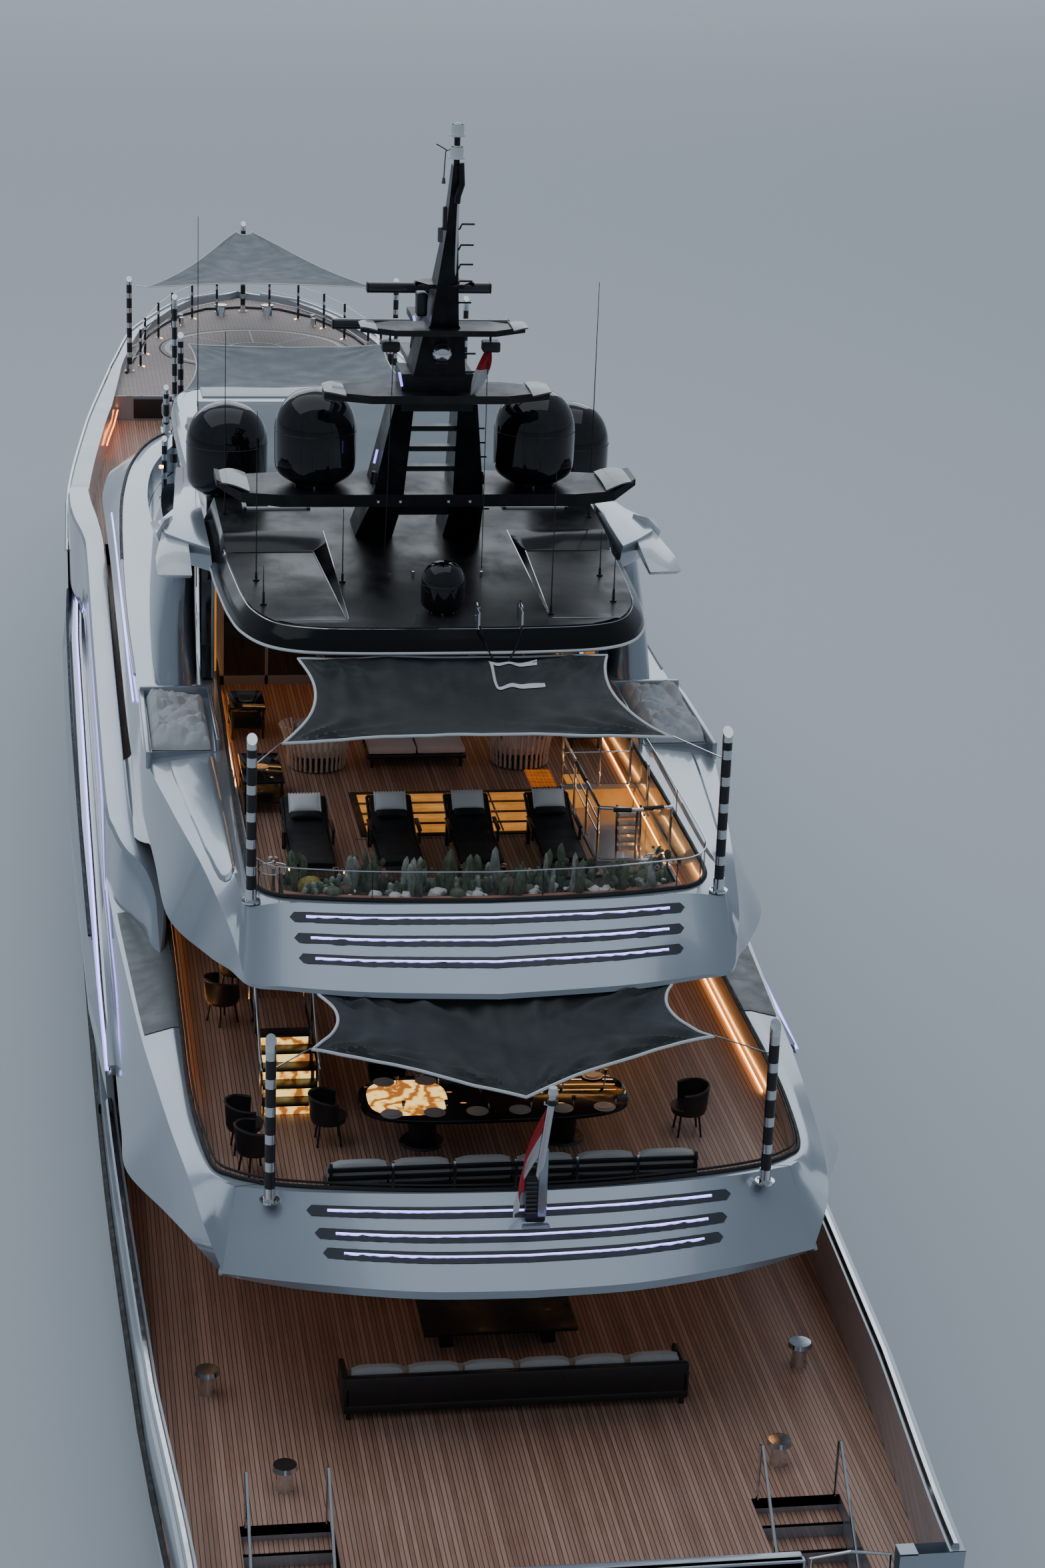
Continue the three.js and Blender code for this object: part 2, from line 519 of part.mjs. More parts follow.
const HARDTOP_ROWS = [
  // y, x
  [4.5, 0], [4.55, 1.5], [4.75, 2.6], [5.25, 3.2], [6.1, 3.5], [7.6, 3.66], [10.5, 3.76], [12.2, 3.78],
];
const HARDTOP = { low: 11.6, edge: 12.0, top: 12.35, rise: 0.033 };
const hardtopLoop = (by, z, rise) => {
  const rows = HARDTOP_ROWS.map(([y, x]) => [y < 12 ? y + by : y, Math.max(x - by, 0)]);
  return bothSides(rows.slice(1)).concat([[0, rows[0][0]]]).map(([x, y]) => [x, y, z + rise * (y - 4.5)]);
};
const RECESS = [[1.75, 10.7], [1.75, 5.9], [2.9, 6.1], [3.3, 6.8], [3.5, 8], [3.55, 10.7]];
const recess = plate(RECESS, HARDTOP.top, 13);
const BRIDGE_SAIL = { fore: [2.6, 4.62, 11.78], aft: [3.1, 1.45, 11.5] };
const hardtop = cut(
  join(
    loft([
      hardtopLoop(0.3, HARDTOP.low, 0), hardtopLoop(0, HARDTOP.edge, 0),
      hardtopLoop(0.25, HARDTOP.top, HARDTOP.rise),
    ]),
    ...lugPair([2.6, 5.3], BRIDGE_SAIL.fore),
  ),
  recess, mirrored(recess),
);

const FAIRING_LEVELS = [
  // z, inner x, outer x, aft y, fore y
  [9.3, 3.88, 4.75, 10.4, 12.35],
  [10.4, 3.86, 4.72, 11.2, 14.4],
  [11.4, 3.84, 4.55, 11.4, 15.6],
  [12.0, 3.82, 4.4, 8.3, 15.2],
  [12.4, 3.8, 4.3, 7.9, 12.1],
];
const roofFairing = cut(
  loft(FAIRING_LEVELS.map(([z, inner, outer, aft, fore]) => [
    [inner, aft, z], [outer, aft + 0.3, z], [outer, fore - 0.4, z], [inner, fore, z],
  ])),
  moved(bridgeBody, 0, 0, GAP),
  moved(roof, GAP, 0, 0),
  block(3, 3.802, 4, 30, 9, 13),
  block(3.2, 3.9, 12.19, 30, 11.3, 13),
);

// Mast: two raked legs, the lower wing, the tower with its wings, and the pole
const MAST_FOOT = 12.45;
const WING = { low: 13.5, high: 13.72 };
const HEAD = { half: 0.62, aft: 7.6, fore: 8.5, low: 15.35, high: 16.0 };
const LEG_LEVELS = [
  // z, inner x, outer x, aft y, fore y
  [MAST_FOOT, 0.46, 1.15, 9.9, 10.9],
  [WING.low, 0.44, 1.0, 8.5, 9.7],
  [HEAD.low + 0.1, 0.38, 0.72, 7.7, 8.6],
];
const mastLeg = loft(LEG_LEVELS.map(([z, inner, outer, aft, fore]) => [
  [inner, aft, z], [outer, aft, z], [outer, fore, z], [inner, fore, z],
]));
const WING_STATIONS = [
  // x, aft y, fore y, low z, high z
  [0, 8.2, 9.9, WING.low, WING.high], [1.2, 8.2, 9.9, WING.low, WING.high], [2.6, 8.2, 9.8, WING.low, WING.high],
  [3.3, 8.25, 9.5, 13.58, 13.76], [3.72, 8.5, 9.3, 13.8, 13.92],
];
const halfWing = loft(WING_STATIONS.map(([x, aft, fore, low, high]) => [
  [x, aft, low], [x, fore, low], [x, fore, high], [x, aft, high],
]));
const rungs = [14.1, 14.5, 14.9].map((z) => {
  const aft = 8.36 - (z - 14.1) * 0.42;
  return block(-0.6, 0.6, aft, aft + 0.2, z, z + 0.09);
});
function barWing(z, y0, y1, half, thick) {
  return loft([-half, -half * 0.6, half * 0.6, half].map((x) => {
    const tip = Math.abs(x) === half ? 0.35 : 0;
    return [[x, y0 + tip, z], [x, y1 - tip, z], [x, y1 - tip, z + thick], [x, y0 + tip, z + thick]];
  }));
}
const SCANNERS = {
  // pedestal foot x, y, z and half length of the bar
  lower: { x: 0, y: 10.05, z: 15.95, half: 1.6 },
  upper: { x: 0, y: 9.1, z: 16.79, half: 1.1 },
};
const SPINDLE = { radius: 0.06, height: 0.3, depth: 0.16 };
const pedestal = ({ x, y, z }) => rod([x, y, z - 0.05], [x, y, z + SPINDLE.height], 0.2, 12, 0.16);
const scannerShelf = ({ y, z }, aft) => block(-0.34, 0.34, aft, y + 0.35, z - 0.12, z);
const spindleBore = ({ x, y, z }) => {
  const top = z + SPINDLE.height;
  return rod([x, y, top - SPINDLE.depth - 0.01], [x, y, top + 0.1], boreFor(SPINDLE.radius, 20), 20);
};
const mastFrame = cut(
  join(
    mastLeg, mirrored(mastLeg), halfWing, mirrored(halfWing), ...rungs,
    block(-0.5, 0.5, 8.95, 9.8, 13.15, WING.low + 0.1),
    block(-HEAD.half, HEAD.half, HEAD.aft, HEAD.fore, HEAD.low, HEAD.high),
    barWing(15.57, 7.2, 8.3, 1.95, 0.14),
    scannerShelf(SCANNERS.lower, HEAD.fore - 0.3), pedestal(SCANNERS.lower),
  ),
  loft([hardtopLoop(-0.2, 10, 0), hardtopLoop(0.1, HARDTOP.top + GAP, HARDTOP.rise)]),
  spindleBore(SCANNERS.lower),
);
const TOWER_LEVELS = [
  // z, half width, aft y, fore y
  [HEAD.high + GAP, 0.45, 7.4, 8.4],
  [16.8, 0.35, 7.0, 7.8],
  [17.0, 0.24, 6.9, 7.7],
  [17.7, 0.18, 6.65, 7.35],
  [18.66, 0.1, 6.3, 6.75],
  [19.8, 0.06, 5.95, 6.2],
];
const TOP_POLE = { y: 6.02, foot: 19.7, top: 20.35, radius: 0.05 };
const topLight = rod([0, TOP_POLE.y, 0], [0, TOP_POLE.y, 0.18], 0.1, 12);
const mastTower = cut(
  join(
    loft(TOWER_LEVELS.map(([z, half, aft, fore]) => [
      [-half, aft, z], [half, aft, z], [half, fore, z], [-half, fore, z],
    ])),
    barWing(16.84, 6.7, 7.5, 1.4, 0.1), barWing(17.62, 6.85, 7.4, 0.5, 0.07),
    rod([0, TOP_POLE.y, TOP_POLE.foot], [0, TOP_POLE.y, TOP_POLE.top], TOP_POLE.radius, 10),
    moved(topLight, 0, 0, 19.92), moved(topLight, 0, 0, 20.28),
    scannerShelf(SCANNERS.upper, 7.4), pedestal(SCANNERS.upper),
  ),
  spindleBore(SCANNERS.upper),
);
const scanner = ({ x, y, z, half }) => {
  const top = z + SPINDLE.height;
  return join(
    block(x - half, x + half, y - 0.09, y + 0.09, top + RUN, top + 0.2),
    rod([x, y, top - SPINDLE.depth], [x, y, top + 0.1], SPINDLE.radius, 20),
  );
};
const DOME = [
  // radius, height
  [0, 0], [0.42, 0], [0.46, 0.12], [0.68, 0.2], [0.72, 0.4],
  [0.72, 0.98], [0.63, 1.35], [0.4, 1.58], [0.15, 1.67], [0, 1.68],
];
const dome = (x, y, z, size) => turned(DOME.map(([r, h]) => [r * size, h * size]), 20, x, y, z);
const OUTER_DOME = { x: 3.26, y: 12.9, z: 12.5, foot: 0.3 };
const domeFoot = rod([0, 0, 11.7], [0, 0, OUTER_DOME.z + 0.05], OUTER_DOME.foot, 16);
const outerDome = cut(
  join(
    dome(OUTER_DOME.x, OUTER_DOME.y, OUTER_DOME.z, 1.06),
    moved(domeFoot, OUTER_DOME.x, OUTER_DOME.y, 0),
  ),
  moved(roof, 0, 0, GAP),
);
const seatedDome = (x, y, z, size, seat) => cut(dome(x, y, z, size), moved(seat, 0, 0, GAP));

// Foredeck, helideck and bow
const bowOutline = (y0, by) => {
  const ahead = HULL_STATIONS.filter(([y]) => y > y0);
  return ahead.map((row) => [row[0] - by, Math.max(row.at(-1) - by, 0.05)]);
};
const widthAt = (y) => {
  const index = HULL_STATIONS.findIndex((row) => row[0] > y);
  const [low, high] = [HULL_STATIONS[index - 1], HULL_STATIONS[index]];
  return low.at(-1) + ((high.at(-1) - low.at(-1)) * (y - low[0])) / (high[0] - low[0]);
};
const bowPlan = (y0, by) => bothSides([[y0, widthAt(y0) - by], ...bowOutline(y0, by)]);
const HELI = 44;
const HELI_TOP = 7.15;
const insideBow = (z0, z1) => plate(bowPlan(HOUSE_FRONT - 1, 0.3), z0, z1);
const PAD = { y: 50.35, radius: 2.9, thick: 0.02 };
const foreDeck = join(
  common(insideBow(HULL_TOP + GAP, FORE), block(-7, 7, HOUSE_FRONT + GAP, HELI + 1, 6, 8)),
  common(insideBow(HULL_TOP + GAP, HELI_TOP), block(-7, 7, HELI, 60, 6, 8)),
  rod([0, PAD.y, HELI_TOP - 0.1], [0, PAD.y, HELI_TOP + PAD.thick], PAD.radius, 48),
);
const bowBulwark = cut(
  plate(bowPlan(HOUSE_FRONT, 0), HULL_TOP + GAP, 7.35),
  plate(bowPlan(HOUSE_FRONT - 1, 0.3 - GAP), HULL_TOP - 1, 8),
);

// Poles, posts and sails
const polePart = (x, y, z, height, radius = 0.09) => rod([x, y, z], [x, y, z + height], radius, 10);
const rimRows = (rows, by) => rows.map(([y, x]) => [y - by, x === 0 ? 0 : x + by]);
const rimPlate = (rows, by, z0, z1) => wellCut(rimRows(rows, by), z0, z1);
const RIM = { inner: 0.015, outer: 0.09, high: 0.05, length: 6 };
function awningPoles(rows, z, poleX, poleY, height, deck, corner) {
  const rim = cut(
    rimPlate(rows, RIM.outer, z + GAP, z + RIM.high), rimPlate(rows, RIM.inner, z - 1, z + 1),
    block(-7, 7, rows[0][0] + RIM.length, 20, z - 1, z + 1),
  );
  const feet = [-1, 1].flatMap((side) => [
    polePart(side * poleX, poleY, z - 0.3, height + 0.3),
    block(side * poleX - 0.14, side * poleX + 0.14, poleY - 0.1, poleY + 0.45, z + GAP, z + RIM.high),
  ]);
  return cut(join(rim, ...feet, ...lugPair([poleX, poleY], corner)), moved(deck, 0, 0, GAP));
}
const cornerPair = ([x, y, z]) => [[-x, y, z], [x, y, z]];

const DINING_SAIL = { fore: [2.75, -1.2, 8.42 - SAIL.thick - GAP], aft: [3.0, -3.1, 8.36] };
const BOW_SAIL = { aft: [3.8, 47.35, 9.6], fore: [0.2, 55.8, 9.8] };
const FORE_SAIL = { aft: [3.25, 33.15, 9.6], fore: [2.65, 38.7, 9.8] };
const sailFrom = (first, second, cutting) => sail(
  [...cornerPair(first), ...cornerPair(second).toReversed()], cutting,
);
const bridgeAwning = sailFrom(BRIDGE_SAIL.fore, BRIDGE_SAIL.aft, { hollow: 0.14, sag: 0.2, laced: true });
const diningAwning = sailFrom(
  DINING_SAIL.fore, DINING_SAIL.aft, { hollow: 0.12, sag: 0.15, laced: true, peak: 1.2, drop: 0.3 },
);
const bowSail = sailFrom(BOW_SAIL.aft, BOW_SAIL.fore, { hollow: 0.14, sag: 0.2 });
const foreSail = sailFrom(FORE_SAIL.aft, FORE_SAIL.fore, { hollow: 0.12, sag: 0.2 });

const bridgePoles = awningPoles(BRIDGE_WELL, 9.45, 3.67, 0.02, 2.6, bridgeDeck, BRIDGE_SAIL.aft);
const diningPoles = awningPoles(DINING_WELL, 6.5, 3.68, -4.1, 2.5, upperDeck, DINING_SAIL.aft);

// Guard posts and sail poles round the helideck, on one edge strip
const GUARDS = [[47.9, 3.6], [49.6, 3.4], [51.9, 2.9], [53.5, 2.4], [54.9, 1.7], [55.9, 0.85]];
const STRIP = [[46.9, 4.15], [50, 3.65], [52, 3.3], [55.5, 2.05], [56.5, 1.1]];
const helideckPosts = join(
  cut(
    plate(bothSides(STRIP), HELI_TOP + GAP, HELI_TOP + 0.05),
    plate(bothSides([[46, 3.4], [49.8, 3.2], [51.8, 2.7], [54.3, 1.75], [55.5, 0.8]]), 6, 8),
  ),
  ...GUARDS.flatMap(([y, x]) => [x, -x].map((side) => polePart(side, y, HELI_TOP + 0.02, 1.1, 0.04))),
  ...[-3.95, 3.95].map((x) => polePart(x, 47.2, HELI_TOP + 0.02, 2.7)),
  polePart(0, 56.05, HELI_TOP + 0.02, 2.8),
  ...lugPair([3.95, 47.2], BOW_SAIL.aft), ...lugPair([0, 56.05], BOW_SAIL.fore),
);
const forePoles = join(
  cut(
    plate(bothSides([[32.8, 3.62], [39.2, 3.0]]), FORE + GAP, FORE + 0.06),
    plate(bothSides([[32.0, 3.4], [39.0, 2.7]]), 6, 8),
  ),
  polePart(-3.5, 33, FORE + 0.02, 3.3), polePart(3.5, 33, FORE + 0.02, 3.3),
  polePart(-2.85, 38.9, FORE + 0.02, 3.5), polePart(2.85, 38.9, FORE + 0.02, 3.5),
  ...lugPair([3.5, 33], FORE_SAIL.aft), ...lugPair([2.85, 38.9], FORE_SAIL.fore),
);

// Furniture of the bridge deck
const LOUNGERS = [-2.5, -1.07, 0.24, 1.62];
const LOUNGER_STATIONS = [
  // y, top height over the deck
  [2.2, 0.34], [3.5, 0.36], [4.4, 0.72],
];
const LOUNGER = { half: 0.37, thick: 0.12 };
const lounger = join(
  loft(LOUNGER_STATIONS.map(([y, z]) => [
    [-LOUNGER.half, y, z - LOUNGER.thick], [LOUNGER.half, y, z - LOUNGER.thick],
    [LOUNGER.half, y, z], [-LOUNGER.half, y, z],
  ])),
  block(-0.3, 0.3, 2.5, 3.4, 0.01, 0.3),
);
const loungers = join(
  block(-3.0, 2.1, 2.2, 4.4, BRIDGE + GAP, BRIDGE + 0.03),
  ...LOUNGERS.map((x) => moved(lounger, x, 0, BRIDGE)),
);
const PLANTER_ROWS = [[0.1, 1.8], [0.45, 3.1], [0.75, 3.4], [1.15, 3.4]];
const planter = plate([...bothSides(PLANTER_ROWS), [0, 0]], BRIDGE + GAP, BRIDGE + 0.42);
const SOFA = { x0: -1.07, x1: 0.73, front: 7.7, back: 8.6, seat: 0.42, arm: 0.15, top: 0.75 };
const CHAIR = { y: 7.98, foot: 0.6, radius: 0.75, high: 0.8 };
const chairXs = [-1.95, 1.73];
const bridgeSofa = join(
  block(-2.6, 2.4, 7.4, 8.6, BRIDGE + GAP, BRIDGE + 0.03),
  block(SOFA.x0, SOFA.x1, SOFA.front, SOFA.back, BRIDGE + 0.02, BRIDGE + SOFA.seat),
  block(SOFA.x0, SOFA.x1, SOFA.back - SOFA.arm, SOFA.back, BRIDGE + 0.02, BRIDGE + SOFA.top),
  ...chairXs.map((x) => rod(
    [x, CHAIR.y, BRIDGE + 0.02], [x, CHAIR.y, BRIDGE + CHAIR.high], CHAIR.foot, 20, CHAIR.radius,
  )),
);

// Furniture of the dining deck
const TABLE = { y: -1.3, halfX: 2.1, halfY: 0.85, low: 0.7, high: 0.76, leg: 0.25, legX: 1.1 };
const roundOff = (value) => Math.sign(value) * Math.abs(value) ** 0.6;
const tableOutline = Array.from({ length: 16 }, (_, i) => {
  const a = (i * Math.PI) / 8;
  return [TABLE.halfX * roundOff(Math.cos(a)), TABLE.y + TABLE.halfY * roundOff(Math.sin(a))];
});
const tableLeg = rod([0, TABLE.y, UPPER + GAP], [0, TABLE.y, UPPER + TABLE.low + 0.02], TABLE.leg, 12);
const diningTable = join(
  plate(tableOutline, UPPER + TABLE.low, UPPER + TABLE.high),
  moved(tableLeg, TABLE.legX, 0, 0), moved(tableLeg, -TABLE.legX, 0, 0),
);
const BENCH = { half: 2.8, aft: -3.55, fore: -2.75, back: 0.15, seat: 0.42, top: 0.75 };
const diningSofa = join(
  block(-BENCH.half, BENCH.half, BENCH.aft, BENCH.fore, UPPER + GAP, UPPER + BENCH.seat),
  block(-BENCH.half, BENCH.half, BENCH.aft, BENCH.aft + BENCH.back, UPPER + 0.4, UPPER + BENCH.top),
);
const FLIGHT = { x0: -3.5, x1: -2.65, y: -0.2, rise: 0.18, run: 0.26, steps: 5 };
const diningStair = join(
  ...Array.from({ length: FLIGHT.steps }, (_, i) => block(
    FLIGHT.x0, FLIGHT.x1, FLIGHT.y + FLIGHT.run * i, 2.3,
    UPPER + Math.max(GAP, FLIGHT.rise * (i - 0.01)), UPPER + FLIGHT.rise * (i + 1),
  )),
);
const flagstaff = cut(rod([0.13, -4.38, 6.1], [0.28, -4.9, 8.4], 0.05, 10), moved(upperBody, 0, 0, GAP));

// The yacht, piece by piece
const yacht = new THREE.Group();
yacht.position.y = -AMIDSHIPS * MM_PER_METRE;

function add(name, geometry, material) {
  const scaled = geometry.clone().scale(MM_PER_METRE, MM_PER_METRE, MM_PER_METRE);
  const mesh = new THREE.Mesh(scaled, material);
  mesh.name = name;
  yacht.add(mesh);
}

function addPair(name, starboard, material) {
  add(`starboard_${name}`, starboard, material);
  add(`port_${name}`, mirrored(starboard), material);
}

add('hull', hull, SILVER);
add('engines', join(engine, mirrored(engine), engineBed), SILVER);
addPair('shaft_bracket', shaftTube, BRONZE);
addPair('propeller', propeller(), BRONZE);
addPair('rudder', rudder, ANTIFOUL);
add('swim_platform', swimPlatform, TEAK);
add('transom_door', clubDoor, SILVER);
add('main_deck', mainDeck, TEAK);
add('quarter_bulwark', quarterBulwark, SILVER);
add('main_house', mainHouse, SILVER);
add('main_glass', mainGlass, GLASS);
add('main_door', mainDoor, GLASS);
addPair('side_flange', flange, SILVER);
add('upper_deck', upperDeck, SILVER);
addPair('side_bulwark', sideBulwark, SILVER);
add('upper_house', upperHouse, SILVER);
add('upper_glass', upperGlass, GLASS);
addPair('upper_door', doorLeaf(UPPER_HOUSE[0][0], UPPER, DOORWAY.half, DOORWAY.height), GLASS);
add('bridge_deck', bridgeForeDeck, SILVER);
add('bridge_aft_deck', bridgeAftDeck, SILVER);
add('bridge_house', bridgeHouse, SILVER);
add('bridge_glass', bridgeGlass, GLASS);
addPair('bridge_door', doorLeaf(BRIDGE_HOUSE[0][0], BRIDGE, BRIDGE_DOOR_HALF, DOORWAY.height), GLASS);
add('roof', roof, SILVER);
add('hardtop', hardtop, BLACK);
addPair('roof_fairing', roofFairing, SILVER);
add('mast_frame', mastFrame, BLACK);
add('mast_tower', mastTower, BLACK);
for (const [level, place] of Object.entries(SCANNERS)) {
  add(`${level}_scanner`, scanner(place), WHITE);
}
addPair('inner_dome', seatedDome(1.95, 9.05, 13.66, 1, mastFrame), BLACK);
addPair('outer_dome', outerDome, BLACK);
add('small_dome', seatedDome(-0.08, 5.6, HARDTOP.top, 0.52, hardtop), BLACK);
add('foredeck', foreDeck, TEAK);
add('bow_bulwark', bowBulwark, SILVER);
add('helideck_posts', helideckPosts, BLACK);
add('foredeck_poles', forePoles, BLACK);
add('bow_sail', bowSail, CLOTH);
add('foredeck_sail', foreSail, CLOTH);
add('bridge_poles', bridgePoles, BLACK);
add('bridge_awning', bridgeAwning, CLOTH);
add('dining_poles', diningPoles, BLACK);
add('dining_awning', diningAwning, CLOTH);
add('sun_loungers', loungers, BLACK);
add('planter', planter, TEAK);
add('bridge_sofa', bridgeSofa, TEAK);
add('dining_table', diningTable, BLACK);
add('dining_sofa', diningSofa, BLACK);
add('dining_stair', diningStair, TEAK);
add('flagstaff', flagstaff, STEEL);

const model = new THREE.Group();
model.add(yacht);
export default model;
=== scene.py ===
import math
import random

import bmesh
import bpy
from mathutils import Matrix, Vector, noise


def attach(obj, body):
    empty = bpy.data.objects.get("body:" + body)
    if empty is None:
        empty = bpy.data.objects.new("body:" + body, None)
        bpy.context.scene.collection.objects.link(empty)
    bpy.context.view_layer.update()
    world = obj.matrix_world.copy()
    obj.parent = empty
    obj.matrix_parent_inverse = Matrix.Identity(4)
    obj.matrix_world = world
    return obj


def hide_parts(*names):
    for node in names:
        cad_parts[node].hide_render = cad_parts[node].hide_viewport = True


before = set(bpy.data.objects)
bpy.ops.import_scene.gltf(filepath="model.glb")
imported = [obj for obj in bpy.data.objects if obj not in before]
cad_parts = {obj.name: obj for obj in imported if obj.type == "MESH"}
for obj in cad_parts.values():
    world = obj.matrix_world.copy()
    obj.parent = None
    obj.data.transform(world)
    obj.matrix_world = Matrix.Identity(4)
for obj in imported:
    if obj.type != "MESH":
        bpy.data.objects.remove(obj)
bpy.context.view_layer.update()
random.seed(7)

# Every size and place below is in metres of the full-size ship: x to starboard, y to the bow from the
# aft edge of the bridge deck's well, z up from the waterline. The model is half that size, and its
# origin lies amidships, so a finished mesh is moved and halved once, as it becomes a piece.
AMIDSHIPS, SCALE = 24, 0.5
MODEL = Matrix.Scale(SCALE, 4) @ Matrix.Translation((0, -AMIDSHIPS, 0))


# The viewpoint
# A camera high up behind the port quarter, with a long lens, looking down over the stern.
EYE = MODEL @ Vector((-6.93, -44.47, 27.71))
YAW, PITCH, ROLL = -0.1651, 0.3490, 0.0392
FOCAL_IN_HEIGHTS = 4676 / 2352
ahead = Vector((-math.sin(YAW) * math.cos(PITCH), math.cos(YAW) * math.cos(PITCH), -math.sin(PITCH)))
level = Vector((math.cos(YAW), math.sin(YAW), 0))
upward = level.cross(ahead)
right = level * math.cos(ROLL) + upward * math.sin(ROLL)
top = upward * math.cos(ROLL) - level * math.sin(ROLL)
lens = bpy.data.cameras.new("camera")
lens.sensor_width = 36
lens.lens = FOCAL_IN_HEIGHTS * lens.sensor_width
lens.clip_end = 900
camera = bpy.data.objects.new("camera", lens)
camera.matrix_world = Matrix.Translation(EYE) @ Matrix((right, top, -ahead)).transposed().to_4x4()
bpy.context.scene.collection.objects.link(camera)
bpy.context.scene.camera = camera


# Light
# An even pale world and two wide soft lamps, one overhead and one ahead of the bow, which gives the
# gloss paint something to mirror.
DAYLIGHT = (0.86, 0.93, 1.0)


def spread(name, place, aim, size, power):
    lamp = bpy.data.lights.new(name, "AREA")
    lamp.shape = "RECTANGLE"
    lamp.size, lamp.size_y = size
    lamp.energy = power
    lamp.color = DAYLIGHT
    holder = bpy.data.objects.new(name, lamp)
    holder.location = place
    holder.rotation_euler = (Vector(aim) - Vector(place)).to_track_quat("-Z", "Y").to_euler()
    bpy.context.scene.collection.objects.link(holder)


spread("overhead_light", (-6, 0, 42), (0, 0, 0), (50, 60), 8000)
spread("bow_light", (0, 150, 66), (0, 0, 4), (165, 92), 66000)
world = bpy.data.worlds.new("soft_studio")
world.use_nodes = True
world.node_tree.nodes["Background"].inputs["Color"].default_value = (0.56, 0.66, 0.78, 1)
world.node_tree.nodes["Background"].inputs["Strength"].default_value = 0.42
bpy.context.scene.world = world


# The floor
# A plain pale matt plane at the waterline.
class Wire:
    """A socket of a material's nodes that can be used in sums."""

    def __init__(self, paint, socket):
        self.paint, self.socket = paint, socket

    def sum(self, operation, *values):
        return self.paint.node("ShaderNodeMath", {"operation": operation}, dict(enumerate(values)))

    def __add__(self, other):
        return self.sum("ADD", self, other)

    __radd__ = __add__

    def __mul__(self, other):
        return self.sum("MULTIPLY", self, other)

    __rmul__ = __mul__

    def __sub__(self, other):
        return self.sum("SUBTRACT", self, other)

    def __rsub__(self, other):
        return self.sum("SUBTRACT", other, self)

    def __truediv__(self, other):
        return self.sum("DIVIDE", self, other)

    def __mod__(self, other):
        return self.sum("FLOORED_MODULO", self, other)

    def __lt__(self, other):
        return self.sum("LESS_THAN", self, other)

    def floor(self):
        return self.sum("FLOOR", self)


class Paint:
    """A material with its principled shader. Lengths in its patterns are in the model's own metres."""

    def __init__(self, name, color, roughness=0.5, **constants):
        self.material = bpy.data.materials.new(name)
        self.material.use_nodes = True
        self.tree = self.material.node_tree
        self.shader = self.tree.nodes["Principled BSDF"]
        self.feed(self.shader.inputs["Base Color"], (*color, 1))
        self.feed(self.shader.inputs["Roughness"], roughness)
        self.set(**constants)

    def feed(self, socket, value):
        if isinstance(value, Wire):
            self.tree.links.new(value.socket, socket)
        else:
            socket.default_value = value

    def set(self, **values):
        for name, value in values.items():
            self.feed(self.shader.inputs[name.replace("_", " ")], value)
        return self

    def node(self, kind, settings, sockets, output=0):
        new = self.tree.nodes.new(kind)
        for name, value in settings.items():
            if name == "stops":
                ramp = new.color_ramp.elements
                for spare in range(len(value) - len(ramp)):
                    ramp.new(0.5)
                for stop, (place, color) in zip(ramp, value):
                    stop.position, stop.color = place, (*color, 1)
            else:
                setattr(new, name, value)
        for name, value in sockets.items():
            self.feed(new.inputs[name], value)
        return Wire(self, new.outputs[output])

    def place(self, scale=(1, 1, 1), turn=(0, 0, 0)):
        spot = self.node("ShaderNodeTexCoord", {}, {}, "Object")
        return self.node("ShaderNodeMapping", {}, {"Vector": spot, "Scale": scale, "Rotation": turn})

    def axis(self, letter, vector=None):
        return self.node("ShaderNodeSeparateXYZ", {}, {"Vector": vector or self.place()}, letter)

    def clouds(self, scale, detail=3.0, stretch=(1, 1, 1), roughness=0.55):
        sockets = {"Vector": self.place(stretch), "Scale": scale, "Detail": detail, "Roughness": roughness}
        return self.node("ShaderNodeTexNoise", {}, sockets)

    def span(self, value, low, high, to_low=0.0, to_high=1.0):
        sockets = {"Value": value, "From Min": low, "From Max": high, "To Min": to_low, "To Max": to_high}
        return self.node("ShaderNodeMapRange", {}, sockets)

    def ramp(self, value, *stops):
        return self.node("ShaderNodeValToRGB", {"stops": stops}, {"Fac": value})

    def blend(self, factor, first, second):
        colors = [c if isinstance(c, Wire) else (*c, 1) for c in (first, second)]
        return self.node("ShaderNodeMix", {"data_type": "RGBA"}, {0: factor, 6: colors[0], 7: colors[1]}, 2)

    def bump(self, height, distance, strength=1.0):
        sockets = {"Height": height, "Distance": distance, "Strength": strength}
        return self.set(Normal=self.node("ShaderNodeBump", {}, sockets))

    def worn(self, scale, detail, low, high, full=0.7):
        """Lets the roughness wander between two values."""
        return self.set(Roughness=self.span(self.clouds(scale, detail), 0.3, full, low, high))

    def mottled(self, scale, detail, low, high):
        """Lets the colour wander between two colours."""
        return self.set(Base_Color=self.blend(self.clouds(scale, detail), low, high))


floor_paint = Paint("floor_paint", (0.62, 0.65, 0.68), 0.75)
floor_mesh = bmesh.new()
bmesh.ops.create_grid(floor_mesh, x_segments=1, y_segments=1, size=1500)
floor_data = bpy.data.meshes.new("floor")
floor_mesh.to_mesh(floor_data)
floor_mesh.free()
floor_data.materials.append(floor_paint.material)
floor = bpy.data.objects.new("floor", floor_data)
bpy.context.scene.collection.objects.link(floor)


# The hull
# Welded plate, faired and sprayed silver down to a dark boot stripe, with matt bottom paint below the
# water. The plating runs up without a break as the saloon's sides and the bulwarks of stern and bow.
SMOOTH_ANGLE = math.radians(32)


def grid(point, across, along):
    mesh = bmesh.new()
    bmesh.ops.create_grid(mesh, x_segments=across, y_segments=along, size=0.5)
    for vert in mesh.verts:
        vert.co = point(vert.co.x + 0.5, vert.co.y + 0.5)
    bmesh.ops.remove_doubles(mesh, verts=mesh.verts, dist=1e-5)
    return mesh


